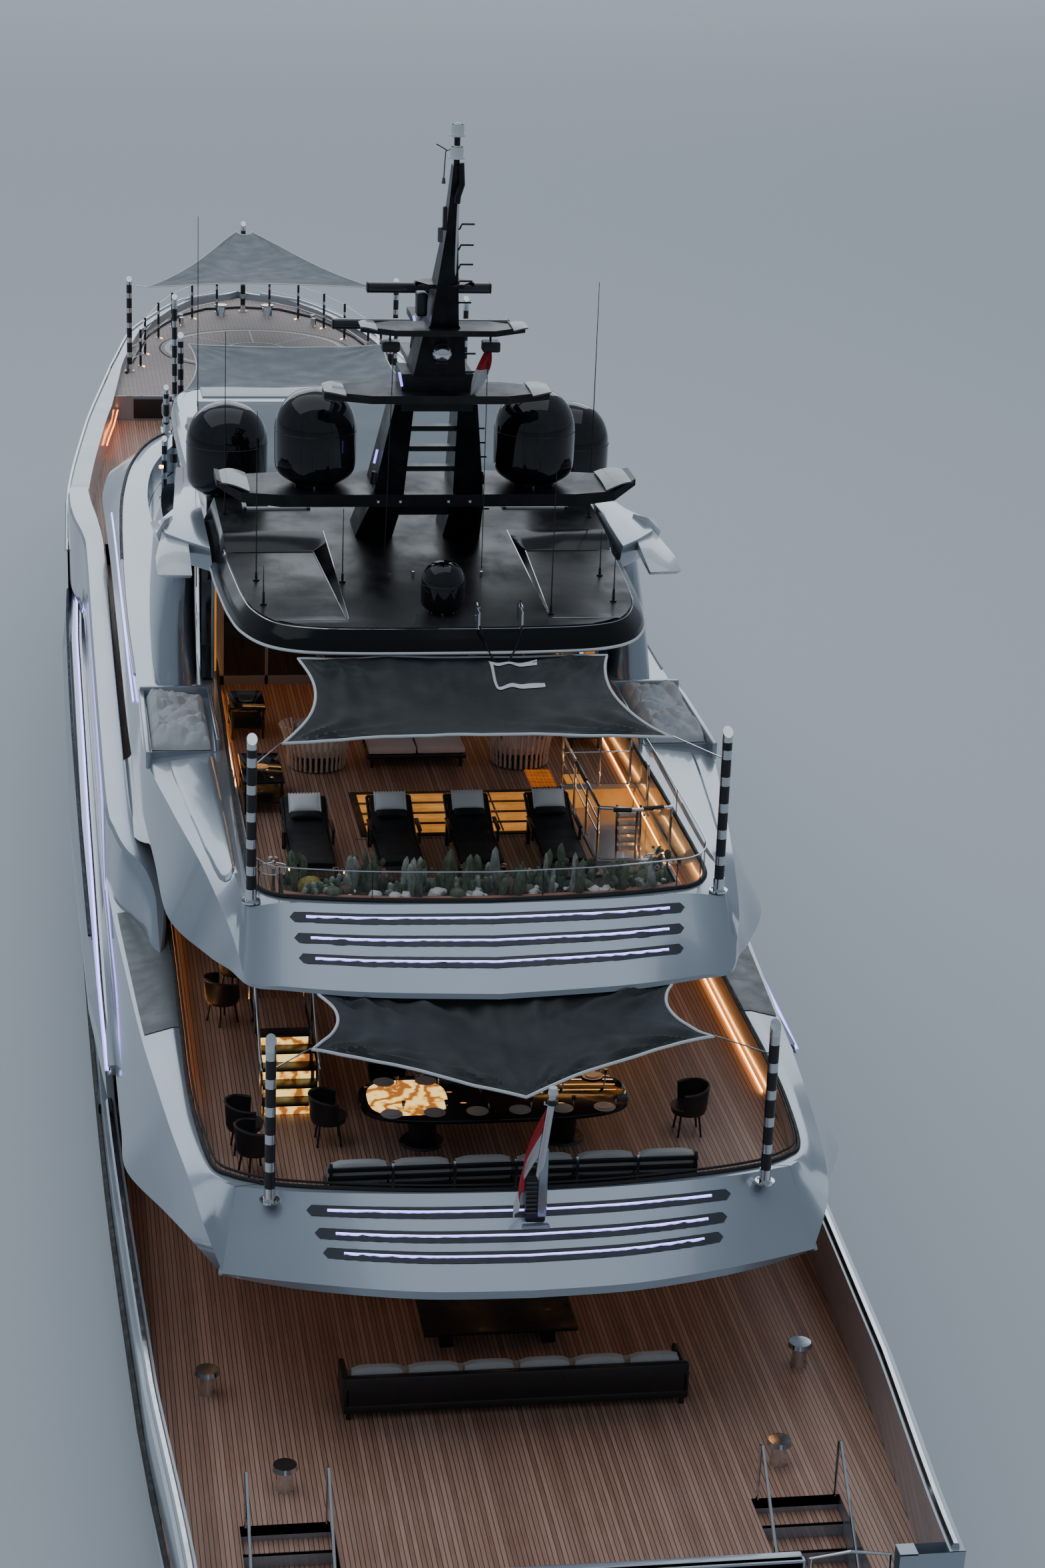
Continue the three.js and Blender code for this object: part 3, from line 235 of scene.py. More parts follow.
def flowing(rows):
    """A smooth curve through rows of numbers, as a function of 0 to 1."""
    last = len(rows) - 1

    def at(t):
        place = min(max(t, 0.0), 1.0) * last
        k = min(int(place), last - 1)
        f = place - k
        a, b, c, d = (rows[min(max(k + i, 0), last)] for i in (-1, 0, 1, 2))
        return [
            0.5 * (2 * q + (r - p) * f + (2 * p - 5 * q + 4 * r - s) * f * f + (3 * q - 3 * r + s - p) * f**3)
            for p, q, r, s in zip(a, b, c, d)
        ]

    return at


def looked_up(rows):
    """The rows' other columns at a value of their first column, on a smooth curve."""
    curve = flowing(rows)

    def at(value):
        k = max(i for i in range(len(rows) - 1) if i == 0 or rows[i][0] <= value)
        (start, *_), (end, *_) = rows[k], rows[k + 1]
        share = min(max((value - start) / (end - start), 0.0), 1.0)
        return curve((k + share) / (len(rows) - 1))[1:]

    return at


def up(height):
    return Vector((0, 0, height))


def both(mesh):
    """The mesh and its mirror image to port."""
    bmesh.ops.mirror(mesh, geom=mesh.verts[:] + mesh.edges[:] + mesh.faces[:], axis="X", merge_dist=1e-4)
    bmesh.ops.recalc_face_normals(mesh, faces=mesh.faces)
    return mesh


def painted(paint, *meshes):
    """The meshes, each paired with the paint."""
    return [(mesh, paint) for mesh in meshes]


def piece(name, parts, body="root", replaces=()):
    """One object from pairs of mesh and paint, in the model's own metres."""
    whole = bmesh.new()
    paints = []
    for mesh, paint in parts:
        if paint not in paints:
            paints.append(paint)
        for face in mesh.faces:
            face.material_index = paints.index(paint)
        carrier = bpy.data.meshes.new("carrier")
        mesh.to_mesh(carrier)
        mesh.free()
        whole.from_mesh(carrier)
        bpy.data.meshes.remove(carrier)
    bmesh.ops.transform(whole, matrix=MODEL, verts=whole.verts)
    data = bpy.data.meshes.new(name)
    whole.to_mesh(data)
    whole.free()
    for polygon in data.polygons:
        polygon.use_smooth = True
    data.set_sharp_from_angle(angle=SMOOTH_ANGLE)
    for paint in paints:
        data.materials.append(paint.material)
    made = bpy.data.objects.new(name, data)
    bpy.context.scene.collection.objects.link(made)
    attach(made, body)
    if replaces:
        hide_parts(*replaces)
    return made


HULL_LINES = looked_up([
    # y, keel z, bilge x, bilge z, water x, water z, side x, side z, top x
    [-10.2, -0.7, 3.6, -0.5, 4.75, 0.3, 5.15, 2.85, 5.25],
    [-5, -1.15, 3.9, -0.85, 5.1, 0.2, 5.5, 2.85, 5.6],
    [3, -2.0, 4.0, -1.5, 5.4, 0, 5.8, 2.85, 5.9],
    [12, -2.9, 3.9, -2.2, 5.6, 0, 5.95, 2.85, 6.05],
    [24, -3.2, 3.7, -2.5, 5.6, 0, 6.0, 2.85, 6.12],
    [32, -3.2, 3.1, -2.4, 5.1, 0, 5.75, 2.85, 6.0],
    [40, -3.2, 2.1, -2.3, 3.8, 0, 4.8, 2.85, 5.35],
    [47, -3.2, 1.05, -2.2, 2.4, 0, 3.5, 2.85, 4.5],
    [52, -3.1, 0.5, -2.1, 1.35, 0, 2.45, 2.85, 3.75],
    [55.5, -2.2, 0.2, -1.4, 0.55, 0.2, 1.35, 2.85, 2.6],
    [57.2, 1.6, 0.15, 2.0, 0.3, 2.5, 0.75, 3.8, 1.7],
    [58.4, 5.7, 0.04, 5.8, 0.06, 5.95, 0.1, 6.1, 0.12],
])
HULL_TOP = 6.3
STERN, STEM, SALOON_AFT = -10.2, 58.45, 6
MAIN, UPPER, FORE, HELI, BRIDGE = 3.0, 5.9, 6.45, 7.15, 8.8


def hull_section(y):
    keel, bilge_x, bilge_z, water_x, water_z, side_x, side_z, top_x = HULL_LINES(y)
    return [(0, keel), (bilge_x, bilge_z), (water_x, water_z), (side_x, side_z), (top_x, HULL_TOP)]


def breadth(y, z):
    """The hull's half breadth at a height above the turn of the bilge."""
    section = hull_section(y)[1:]
    if z >= HULL_TOP:
        return section[-1][0]
    return looked_up([(height, x) for x, height in section])(z)[0]


def ruled(rows):
    """The rows' other columns at a value of their first column, on straight lines."""

    def at(value):
        k = max(i for i in range(len(rows) - 1) if i == 0 or rows[i][0] <= value)
        (start, *first), (end, *second) = rows[k], rows[k + 1]
        share = min(max((value - start) / (end - start), 0.0), 1.0)
        return [a + (b - a) * share for a, b in zip(first, second)]

    return at


# The plating's upper edge: the stern's bulwark, the saloon's side under its flange, the bow's bulwark
SHEER = ruled([
    (-10.2, 4.0), (4.6, 4.05), (5.9, 4.35), (7.2, 5.3), (7.9, 5.42),
    (30.2, 5.42), (31.6, 7.15), (33, 7.35), (50, 7.35), (58.5, 7.35),
])


def plating(u, v):
    y = STERN + (STEM - STERN) * u
    rise = 5 * v
    if rise < 3:
        x, z = flowing(hull_section(y))(rise / 4)
    else:
        low = hull_section(y)[3][1]
        z = low + (SHEER(y)[0] - low) * (rise - 3) / 2
        x = breadth(y, z)
    return Vector((max(x, 0.0), y, z))


silver = Paint("silver_paint", (0.36, 0.41, 0.47), 0.3, Metallic=0.55, Coat_Weight=0.9, Coat_Roughness=0.06)
grime = silver.clouds(0.35, 4.0, (1, 1, 0.35))
silver.set(
    Base_Color=silver.blend(silver.span(grime, 0.35, 0.7), (0.36, 0.41, 0.47), (0.39, 0.435, 0.49)),
    Roughness=silver.span(silver.clouds(0.8, 3.0), 0.3, 0.75, 0.2, 0.28),
)
SILVER, BRIGHT, BLACK = (0.37, 0.42, 0.48), (0.42, 0.465, 0.52), (0.012, 0.013, 0.016)
FOULING_TOP, BOOT_TOP = 0.03, 0.14
hull_paint = Paint("hull_paint", SILVER, 0.3, Metallic=0.5, Coat_Weight=0.9, Coat_Roughness=0.08)
level_mark = hull_paint.axis("Z")
under = level_mark < FOULING_TOP
dark = level_mark < BOOT_TOP
streaks = hull_paint.clouds(1.1, 5.0, (1, 1, 0.2))
topsides = hull_paint.blend(hull_paint.span(streaks, 0.35, 0.7), SILVER, BRIGHT)
fouling = hull_paint.ramp(
    hull_paint.clouds(3.0, 6.0), (0.35, (0.018, 0.02, 0.024)), (0.7, (0.045, 0.05, 0.052)),
)
hull_paint.set(
    Base_Color=hull_paint.blend(under, hull_paint.blend(dark, topsides, BLACK), fouling),
    Metallic=0.5 * (1 - dark),
    Roughness=hull_paint.span(hull_paint.clouds(2.0, 5.0), 0.3, 0.75, 0.25, 0.42) + 0.4 * under,
    Coat_Weight=0.9 * (1 - under),
)

dark_glass = Paint("dark_glass", (0.012, 0.016, 0.02), 0.04, Coat_Weight=1.0, Coat_Roughness=0.02)
haze = dark_glass.clouds(1.6, 4.0)
dark_glass.set(
    Base_Color=dark_glass.blend(
        dark_glass.span(haze, 0.4, 0.75), (0.008, 0.011, 0.014), (0.03, 0.036, 0.042),
    ),
    Roughness=dark_glass.span(haze, 0.35, 0.8, 0.03, 0.12),
)
rubber = Paint("rubber", (0.014, 0.014, 0.015), 0.6).worn(14.0, 4.0, 0.5, 0.75)
rubber.bump(rubber.clouds(300), 0.0005)
chrome = Paint("chrome", (0.72, 0.74, 0.76), 0.1, Metallic=1.0).worn(9.0, 4.0, 0.06, 0.2, 0.75)


def soften(mesh, edges, bevel, segments=2):
    bmesh.ops.bevel(
        mesh, geom=edges, offset=bevel, segments=segments, affect="EDGES", profile=0.5, material=-1,
    )


def box(x0, x1, y0, y1, z0, z1, bevel=0.0, segments=2):
    mesh = bmesh.new()
    bmesh.ops.create_cube(mesh, size=1)
    bmesh.ops.scale(mesh, vec=(x1 - x0, y1 - y0, z1 - z0), verts=mesh.verts)
    bmesh.ops.translate(mesh, vec=((x0 + x1) / 2, (y0 + y1) / 2, (z0 + z1) / 2), verts=mesh.verts)
    if bevel:
        soften(mesh, mesh.edges[:], bevel, segments)
    return mesh


def tube(points, radius, sides=8, closed=False):
    points = [Vector(p) for p in points]
    last = len(points) - 1

    def at(u, v):
        k = min(round(v * (last + closed)), last + closed) % (last + 1)
        before = points[k - 1 if k or closed else 0]
        after = points[(k + 1) % (last + 1) if closed else min(k + 1, last)]
        run = (after - before).normalized()
        side = run.cross((0, 0, 1) if abs(run.z) < 0.9 else (0, 1, 0)).normalized()
        turn = 2 * math.pi * u
        return points[k] + (side * math.cos(turn) + side.cross(run) * math.sin(turn)) * radius

    mesh = grid(at, sides, last + closed)
    if not closed:
        bmesh.ops.holes_fill(mesh, edges=mesh.edges, sides=sides)
    bmesh.ops.recalc_face_normals(mesh, faces=mesh.faces)
    return mesh


def post(place, height, radius, sides=16, top=None):
    mesh = bmesh.new()
    end = radius if top is None else top
    bmesh.ops.create_cone(mesh, cap_ends=True, segments=sides, radius1=radius, radius2=end, depth=height)
    bmesh.ops.translate(mesh, vec=Vector(place) + up(height / 2), verts=mesh.verts)
    return mesh


def side_pane(y, z, length, height, proud, corner=0.3, segments=12):
    """A rounded plate that follows the hull's side, to starboard and to port."""

    def at(u, v):
        a, b = 2 * u - 1, 2 * v - 1
        along = y + a * math.sqrt(1 - corner * b * b / 2) * length / 2
        high = z + b * math.sqrt(1 - corner * a * a / 2) * height / 2
        return Vector((breadth(along, high) + proud, along, high))

    mesh = both(grid(at, segments, 8))
    for face in mesh.faces:
        if face.normal.x * face.calc_center_median().x < 0:
            face.normal_flip()
    return mesh


def edge_strip(y0, y1, wide, floor, segments=60):
    """The cap of a bulwark, as wide as the given function of y says, with its inner face down to the deck."""

    def at(u, v):
        y = y0 + (y1 - y0) * u
        z = SHEER(y)[0]
        x = breadth(y, z)
        return Vector((max(x - wide(y) * min(2 * v, 1), 0.0), y, z - (z - floor) * max(2 * v - 1, 0)))

    return both(grid(at, segments, 2))


def bow_cap(y):
    """How wide the bow bulwark's cap is, which narrows beside the helideck."""
    return 0.26 + 0.24 * min(max((48 - y) / 6, 0), 1)


STAIR_IN, STAIR_OUT = 3.0, 4.3
STEP_COUNT, STEP_RUN, STEP_FOOT = 10, 0.3, 0.55
rise = (MAIN - STEP_FOOT) / STEP_COUNT
CLUB_HALF, CLUB_LOW, CLUB_HIGH, CLUB_DEPTH = 2.5, 0.75, 2.5, 2.6
shell = both(grid(plating, 130, 45))
stern_edge = [plating(0, k / 45) for k in range(46)]
stern_line = ruled([(p.z, p.x) for p in stern_edge])
low_edge = [p for p in stern_edge if p.z < 0.54] + [Vector((stern_line(0.55)[0], STERN, 0.55))]


def stern_foot(u, v):
    """The plate across the stern's foot, row by row with the plating's own edge."""
    row = low_edge[round(v * (len(low_edge) - 1))]
    return Vector((row.x * u, STERN, row.z))


def stern_side(u, v):
    """The plate outboard of a stern stair, up to the bulwark's edge."""
    z = STEP_FOOT + v * 3.45
    return Vector((STAIR_OUT + u * (stern_line(z)[0] - STAIR_OUT), STERN, z))


def stern_inside(u, v):
    """The bulwark's inner plate beside the stair's head."""
    reach = breadth(STERN + 0.25, 4) - 0.2 - STAIR_OUT
    return Vector((STAIR_OUT + u * reach, STERN + 0.25, MAIN + v))


def stem_bar(u, v):
    """The bar that closes the plating at the stem."""
    end = plating(1, v)
    return Vector((end.x * u, STEM, end.z))


def forefoot(u, v):
    """The rounded foot of the stem."""
    round_in, along = math.sin(math.pi * v), -3.6 * math.cos(math.pi * v)
    turn = math.pi * u
    return Vector((0.74 * math.sin(turn) * round_in, 53.2 + along, -2.3 - 0.84 * math.cos(turn) * round_in))


piece("hull_shell", [
    *painted(
        hull_paint, shell, both(grid(stem_bar, 2, 45)), both(grid(stern_foot, 6, len(low_edge) - 1)),
        both(grid(stern_side, 2, 14)), both(grid(stern_inside, 2, 2)),
        box(-STAIR_IN, STAIR_IN, STERN, STERN + 0.1, CLUB_HIGH, 4.0),
        box(-STAIR_IN, STAIR_IN, STERN, STERN + 0.1, 0.5, CLUB_LOW),
        box(-STAIR_IN, STAIR_IN, STERN, STERN + 0.25, MAIN, 4.0, 0.03),
        both(box(CLUB_HALF, STAIR_IN, STERN, STERN + CLUB_DEPTH, 0.5, 2.9)),
        box(-2.6, 2.6, STERN + CLUB_DEPTH, STERN + CLUB_DEPTH + 0.1, 0.5, 2.9),
        box(-2.6, 2.6, STERN + 0.02, STERN + CLUB_DEPTH, 2.5, 2.6),
        both(box(STAIR_OUT, STAIR_OUT + 0.05, STERN, -7.2, 0.4, 2.98)),
        both(box(STAIR_IN - 0.1, STAIR_IN, STERN, -7.2, 0.4, 2.98)),
        both(box(STAIR_OUT, 4.55, STERN, STERN + 0.25, 3.98, 4.01)),
        edge_strip(STERN + 0.02, SALOON_AFT - 0.1, lambda y: 0.22, MAIN),
        edge_strip(30.9, 58.42, bow_cap, FORE), both(grid(forefoot, 16, 20)),
    ),
], replaces=("hull", "quarter_bulwark", "main_house", "bow_bulwark"))

teak = Paint("teak", (0.28, 0.13, 0.07), 0.55)
PLANK, SEAM, OUTBOARD = 0.035, 0.0055, 40
across = teak.axis("X") + OUTBOARD
board = (across / PLANK).floor()
grain = teak.clouds(26.0, 6.0, (3, 0.16, 1))
tone = teak.node("ShaderNodeTexWhiteNoise", {"noise_dimensions": "1D"}, {"W": board})
wood = teak.ramp(
    grain * 0.6 + tone * 0.4, (0.2, (0.29, 0.14, 0.09)), (0.5, (0.47, 0.25, 0.17)),
    (0.85, (0.64, 0.38, 0.28)),
)
seam = (across % PLANK) < SEAM
worn = teak.span(teak.clouds(1.4, 4.0), 0.4, 0.75)
teak.set(
    Base_Color=teak.blend(seam, teak.blend(worn * 0.35, wood, (0.52, 0.36, 0.29)), (0.03, 0.024, 0.022)),
    Roughness=teak.span(grain, 0.2, 0.8, 0.42, 0.68) - 0.1 * seam,
).bump(grain * 0.3 - seam, 0.0015, 0.6)

windows = []
for y in (11.2, 16.7, 22.2, 27.4):
    windows.append((side_pane(y, 4.22, 4.5, 1.08, 0.006, 0.18), rubber))
    windows.append((side_pane(y, 4.22, 4.34, 0.94, 0.014, 0.18), dark_glass))
for k in range(10):
    y = 8.5 + 3.9 * k
    bulge = 0.008 if y < 36 else 0.045
    windows.append((side_pane(y, 1.75, 1.0, 0.5, bulge, 0.9, 14), chrome))
    windows.append((side_pane(y, 1.75, 0.84, 0.36, bulge + 0.012, 0.9, 14), dark_glass))
piece("hull_windows", windows, replaces=("main_glass",))


def along_hull(start, pitch, count, place):
    """Points at even steps along the ship, each from a function of y."""
    return [place(start + pitch * k) for k in range(count)]


piece("rubbing_strakes", [
    (both(tube(along_hull(
        STERN + 0.1, 1.9, 31, lambda y: (breadth(y, 2.9) + 0.02, y, 2.9),
    ), 0.07, 8)), rubber),
    *painted(
        chrome,
        both(tube(along_hull(
            30.9, 1.0, 28, lambda y: (breadth(y, SHEER(y)[0]) + 0.01, y, SHEER(y)[0] + 0.01),
        ), 0.05, 6)),
        both(tube(along_hull(
            STERN + 0.1, 0.72, 21, lambda y: (breadth(y, SHEER(y)[0]) - 0.12, y, SHEER(y)[0] + 0.02),
        ), 0.06, 6)),
    ),
])

# Anchor pockets with their anchors, and the tunnel mouths of the bow thruster
piece("anchors", [
    (side_pane(52.6, 4.45, 1.7, 1.3, 0.01, 0.5), rubber),
    *painted(chrome, side_pane(52.6, 4.15, 1.1, 0.2, 0.16, 0.5), side_pane(52.6, 4.5, 0.2, 0.9, 0.12, 0.5)),
    *painted(rubber, side_pane(47.5, -1.3, 1.1, 1.1, 0.02, 1.0), side_pane(45.8, -1.3, 1.1, 1.1, 0.02, 1.0)),
])

# Stern fittings
# A teak swimming platform with a steel edge, gates at the heads of the two stern stairs, capstans and
# bollards bolted through the plating, and the stairs' own teak treads between silver risers.
def dress(paint, *names):
    """Gives nodes of the frame their paint."""
    for name in names:
        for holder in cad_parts[name].material_slots:
            holder.material = paint.material


dress(teak, "swim_platform", "main_deck")
dress(hull_paint, "transom_door")
platform_edge = [(4.48, STERN + 0.02, 0.44), (4.48, -10.85, 0.44), (3.95, -11.38, 0.44)]
stern_parts = [(tube([(-x, y, z) for x, y, z in platform_edge] + platform_edge[::-1], 0.035), chrome)]
for k in range(STEP_COUNT):
    y, z = STERN + STEP_RUN * k, STEP_FOOT + rise * k
    tread = box(STAIR_IN, STAIR_OUT, y, y + STEP_RUN + 0.02, z - 0.05, z + 0.012, 0.008)
    riser = box(STAIR_IN, STAIR_OUT, y + STEP_RUN, y + STEP_RUN + 0.03, z - 0.04, z + rise)
    stern_parts += [(both(tread), teak), (both(riser), silver)]
for x in (3.08, 4.22):
    rail = [(x, -10.15, 1.45), (x, -7.3, 3.95), (x, -7.2, 3.9), (x, -7.2, 3.0)]
    stern_parts.append((both(tube(rail, 0.025)), chrome))
for x, y in ((3.6, -6.3), (4.55, -3.6)):
    barrel, head = post((x, y, MAIN), 0.34, 0.13, 20, 0.1), post((x, y, MAIN + 0.34), 0.07, 0.19, 20, 0.17)
    stern_parts += painted(chrome, both(barrel), both(head))
for x in (3.1, 4.2):
    gate = [(x, STERN + 0.12, 3.0), (x, STERN + 0.12, 3.95), (3.65, STERN + 0.12, 4.02)]
    stern_parts.append((both(tube(gate, 0.025)), chrome))
piece("stern_fittings", stern_parts)


# The aft main deck
# Open teak deck under the overhang with two black framed sofas, their pale cushions and a low table.
# The saloon behind it closes with a glazed bulkhead, in which one wide leaf slides on a rail.
def cushion(x0, x1, y0, y1, z0, z1, crown=0.5):
    """A stuffed rectangular pad: crowned faces, and sides that pull in between the corners."""
    mesh = bmesh.new()
    bmesh.ops.create_cube(mesh, size=2)
    bmesh.ops.subdivide_edges(mesh, edges=mesh.edges, cuts=5, use_grid_fill=True)
    middle = Vector(((x0 + x1) / 2, (y0 + y1) / 2, (z0 + z1) / 2))
    half = ((x1 - x0) / 2, (y1 - y0) / 2, (z1 - z0) / 2)
    for vert in mesh.verts:
        a, b, c = vert.co
        edge = max(abs(a), abs(b))
        puff = 1 - crown * edge**4
        pull = 1 - 0.045 * (2 - a * a - b * b) * (1 if edge > 0.99 else 0)
        wrinkle = 0.03 * noise.noise(Vector((x0 + a * 2, y0 + b * 2, c)))
        vert.co = middle + Vector((a * half[0] * pull, b * half[1] * pull, (c * puff + wrinkle) * half[2]))
    bmesh.ops.smooth_vert(
        mesh, verts=mesh.verts, factor=0.4, use_axis_x=True, use_axis_y=True, use_axis_z=True,
    )
    return mesh


def weave(paint, pitch, depth, folds=0.004):
    """Threads over and under each other, with slack folds in the cloth."""
    spot = paint.place((1 / pitch, 1 / pitch, 1 / pitch))
    warp, weft = (
        paint.node("ShaderNodeTexWave", {"bands_direction": way}, {"Vector": spot, "Scale": 0.5}, "Fac")
        for way in "XY"
    )
    slack = paint.clouds(5.0, 3.0)
    return paint.bump(warp * 0.5 * depth + weft * 0.5 * depth + slack * folds, 1.0, 0.7)


pale_cloth = Paint("pale_cloth", (0.5, 0.49, 0.47), 0.9, Sheen_Weight=0.2)
weave(pale_cloth.mottled(6.0, 4.0, (0.40, 0.40, 0.40), (0.58, 0.57, 0.55)), 0.0016, 0.0006)
satin_black = Paint("satin_black", (0.015, 0.015, 0.017), 0.35).worn(12.0, 4.0, 0.25, 0.5)


def legs(xs, ys, z0, z1, thick):
    """Square legs at every meeting of the given x's and y's, which are the legs' lower corners."""
    return [box(x, x + thick, y, y + thick, z0, z1) for x in xs for y in ys]


def settee(x0, x1, y0, y1, floor, facing):
    """A framed sofa whose back stands on the side away from facing (-1 or 1 along y)."""
    back = (y0, y0 + 0.14) if facing > 0 else (y1 - 0.14, y1)
    seat = (y0 + 0.16, y1 - 0.02) if facing > 0 else (y0 + 0.02, y1 - 0.16)
    rest = (back[1] - 0.02, back[1] + 0.16) if facing > 0 else (back[0] - 0.16, back[0] + 0.02)
    count = max(round((x1 - x0) / 0.9), 1)
    width = (x1 - x0 - 0.2) / count
    frame_parts = painted(
        satin_black,
        box(x0, x1, y0, y1, floor + 0.12, floor + 0.26, 0.03),
        box(x0, x1, *back, floor + 0.22, floor + 0.72, 0.05),
        box(x0, x0 + 0.1, y0, y1, floor + 0.22, floor + 0.56, 0.03),
        box(x1 - 0.1, x1, y0, y1, floor + 0.22, floor + 0.56, 0.03),
        *legs((x0 + 0.05, x1 - 0.12), (y0 + 0.05, y1 - 0.12), floor, floor + 0.13, 0.07),
    )
    pads = []
    for k in range(count):
        left, end = x0 + 0.1 + width * k, x0 + 0.1 + width * k + width
        pads += painted(
            pale_cloth,
            cushion(left + 0.01, end - 0.01, *seat, floor + 0.25, floor + 0.44),
            cushion(left + 0.03, end - 0.03, *rest, floor + 0.42, floor + 0.82, 0.35),
        )
    return frame_parts, pads


fore_frame, fore_pads = settee(-2.6, 2.6, -4.6, -3.7, MAIN, 1)
low_frame, low_pads = settee(-1.9, 1.9, -0.9, 0.0, MAIN, -1)
piece("main_deck_sofas", fore_frame + low_frame + painted(
    satin_black,
    box(-1.2, 1.2, -2.9, -1.8, MAIN + 0.36, MAIN + 0.42, 0.015),
    box(-0.9, -0.7, -2.6, -2.1, MAIN, MAIN + 0.37), box(0.7, 0.9, -2.6, -2.1, MAIN, MAIN + 0.37),
))
piece("main_deck_cushions", fore_pads + low_pads)


def bulkhead(wall, half, floor, top, door_half, door_top, rail):
    """A glazed wall across the ship, with its doorway, head rail and mullions."""
    panes = both(box(door_half + 0.16, half - 0.25, wall + 0.02, wall + 0.05, floor + 0.18, door_top))
    mullion = (door_half + half) / 2
    return [(panes, dark_glass)] + painted(
        silver,
        both(box(door_half, door_half + 0.14, wall - 0.01, wall + 0.12, floor, door_top)),
        both(box(half - 0.28, half, wall - 0.01, wall + 0.2, floor, top)),
        both(box(door_half, half, wall - 0.01, wall + 0.12, floor, floor + 0.18)),
        both(box(mullion - 0.03, mullion + 0.03, wall - 0.01, wall + 0.06, floor, door_top)),
        box(-half, half, wall - 0.01, wall + 0.2, door_top, top),
        box(*rail, wall - 0.2, wall, door_top, door_top + 0.14, 0.02),
    )


DOOR_HEIGHT = 2.15
saloon_half = breadth(SALOON_AFT, 4.5) - 0.02
piece("saloon_bulkhead", bulkhead(
    SALOON_AFT, saloon_half, MAIN, 5.4, 1.6, MAIN + DOOR_HEIGHT, (-1.7, 4.9),
))
for leaf, x0, x1, wall, floor in (
    ("main_door", -1.66, 1.66, 5.85, MAIN),
    ("starboard_upper_door", 0.02, 1.66, 9.15, UPPER), ("port_upper_door", -1.66, -0.02, 9.15, UPPER),
    ("starboard_bridge_door", 0.02, 1.46, 12.45, BRIDGE), ("port_bridge_door", -1.46, -0.02, 12.45, BRIDGE),
):
    dress(dark_glass, leaf)
    low, high, thick = floor + 0.03, floor + DOOR_HEIGHT - 0.02, (wall - 0.008, wall + 0.088)
    piece(leaf + "_frame", painted(
        chrome, box(x0, x0 + 0.07, *thick, low, high), box(x1 - 0.07, x1, *thick, low, high),
        box(x0, x1, *thick, low, low + 0.07), box(x0, x1, *thick, high - 0.07, high),
    ), body=leaf)


# Flanges along the topsides
# A pressed plate ledge welded along each side, faired to a point aft, with a violet-white strip light
# let into its crown behind a dark lip.
def glow(name, color, strength):
    lamp = Paint(name, color, 0.4)
    return lamp.set(Emission_Color=(*color, 1), Emission_Strength=strength)


strip_light = glow("strip_light", (0.3, 0.25, 1.0), 2.2)
strip_core = glow("strip_core", (0.52, 0.49, 1.0), 2.6)
dress(silver, "starboard_side_flange", "port_side_flange")
FLANGE_LIGHT = ruled(
    [(2.62, 5.83, 5.45), (6, 5.88, 5.53), (14, 5.9, 5.57), (26, 5.9, 5.57), (30.7, 5.82, 5.51)]
)


def lit_line(out, down):
    """The strip light's line, moved outboard and down."""
    return along_hull(
        2.62, 0.9, 32, lambda y: (FLANGE_LIGHT(y)[0] + out, y, FLANGE_LIGHT(y)[1] - 0.01 - down),
    )


piece("flange_lights", [
    (both(box(5.69, 5.83, 2.7, 30.8, 5.3, 5.49, 0.01)), silver),
    (both(tube(lit_line(-0.03, 0), 0.016, 6)), rubber),
    (both(tube(lit_line(0, 0), 0.018, 6)), strip_core),
    (both(tube(lit_line(0.03, 0.006), 0.018, 6)), strip_light),
    (both(tube(along_hull(8.2, 1, 23, lambda y: (breadth(y, 5.3) + 0.02, y, 5.5)), 0.03, 6)), rubber),
])


# The upper deck and its coaming
# A plate deck whose edge sweeps round the stern as a deep faired coaming: a flat cap round the well, a
# crease, and a hollow outer face. Its well is laid with teak, and a rubber gasket lies on the well's edge.
def through(rows):
    """A skin over like profiles, as a function: u runs along a profile, and v from row to row."""
    curve = flowing([[c for p in row for c in p] for row in rows])
    last = len(rows[0]) - 1

    def at(u, v):
        flat = curve(v)
        place = u * last
        k = min(int(place + 1e-6), last - 1)
        return Vector(flat[3 * k:3 * k + 3]).lerp(Vector(flat[3 * k + 3:3 * k + 6]), place - k)

    return at


def ring(rows, v_rows, segments, creases=()):
    """A band between like curves: rows go round the ship from the centreline aft, to starboard and
    forward, and each row holds the profile's points from the well outwards. The band comes as strips,
    which meet in crisp creases at the given points of the profile."""
    skin = through(rows)
    spans = len(rows[0]) - 1
    strips = []
    for low, high in zip((0, *creases), (*creases, spans)):
        def strip(u, v, low=low, high=high):
            return skin((low + (high - low) * v) / spans, u)

        strips.append(both(grid(strip, segments, v_rows * (high - low) // spans)))
    return lambda u, v: skin(v, u), strips


def deck_floor(edge, y0, y1, z, x1=None, along=24):
    """Flat decking between two y's, out to an edge given as a function from y to x."""

    def at(u, v):
        y = y0 + (y1 - y0) * v
        reach = edge(y)
        return Vector((-reach + ((reach if x1 is None else x1) + reach) * u, y, z))

    return grid(at, 6, along)


def coaming(floor, edge, ceiling, rows):
    """Profiles of a coaming from the well's corner, the cap's edge, the crease, the low edge, and the
    corner of the ceiling below it."""
    return [
        [(*well, floor), (*well, edge), cap, crease_at, low, (*under_deck, ceiling)]
        for well, cap, crease_at, low, under_deck in rows
    ]


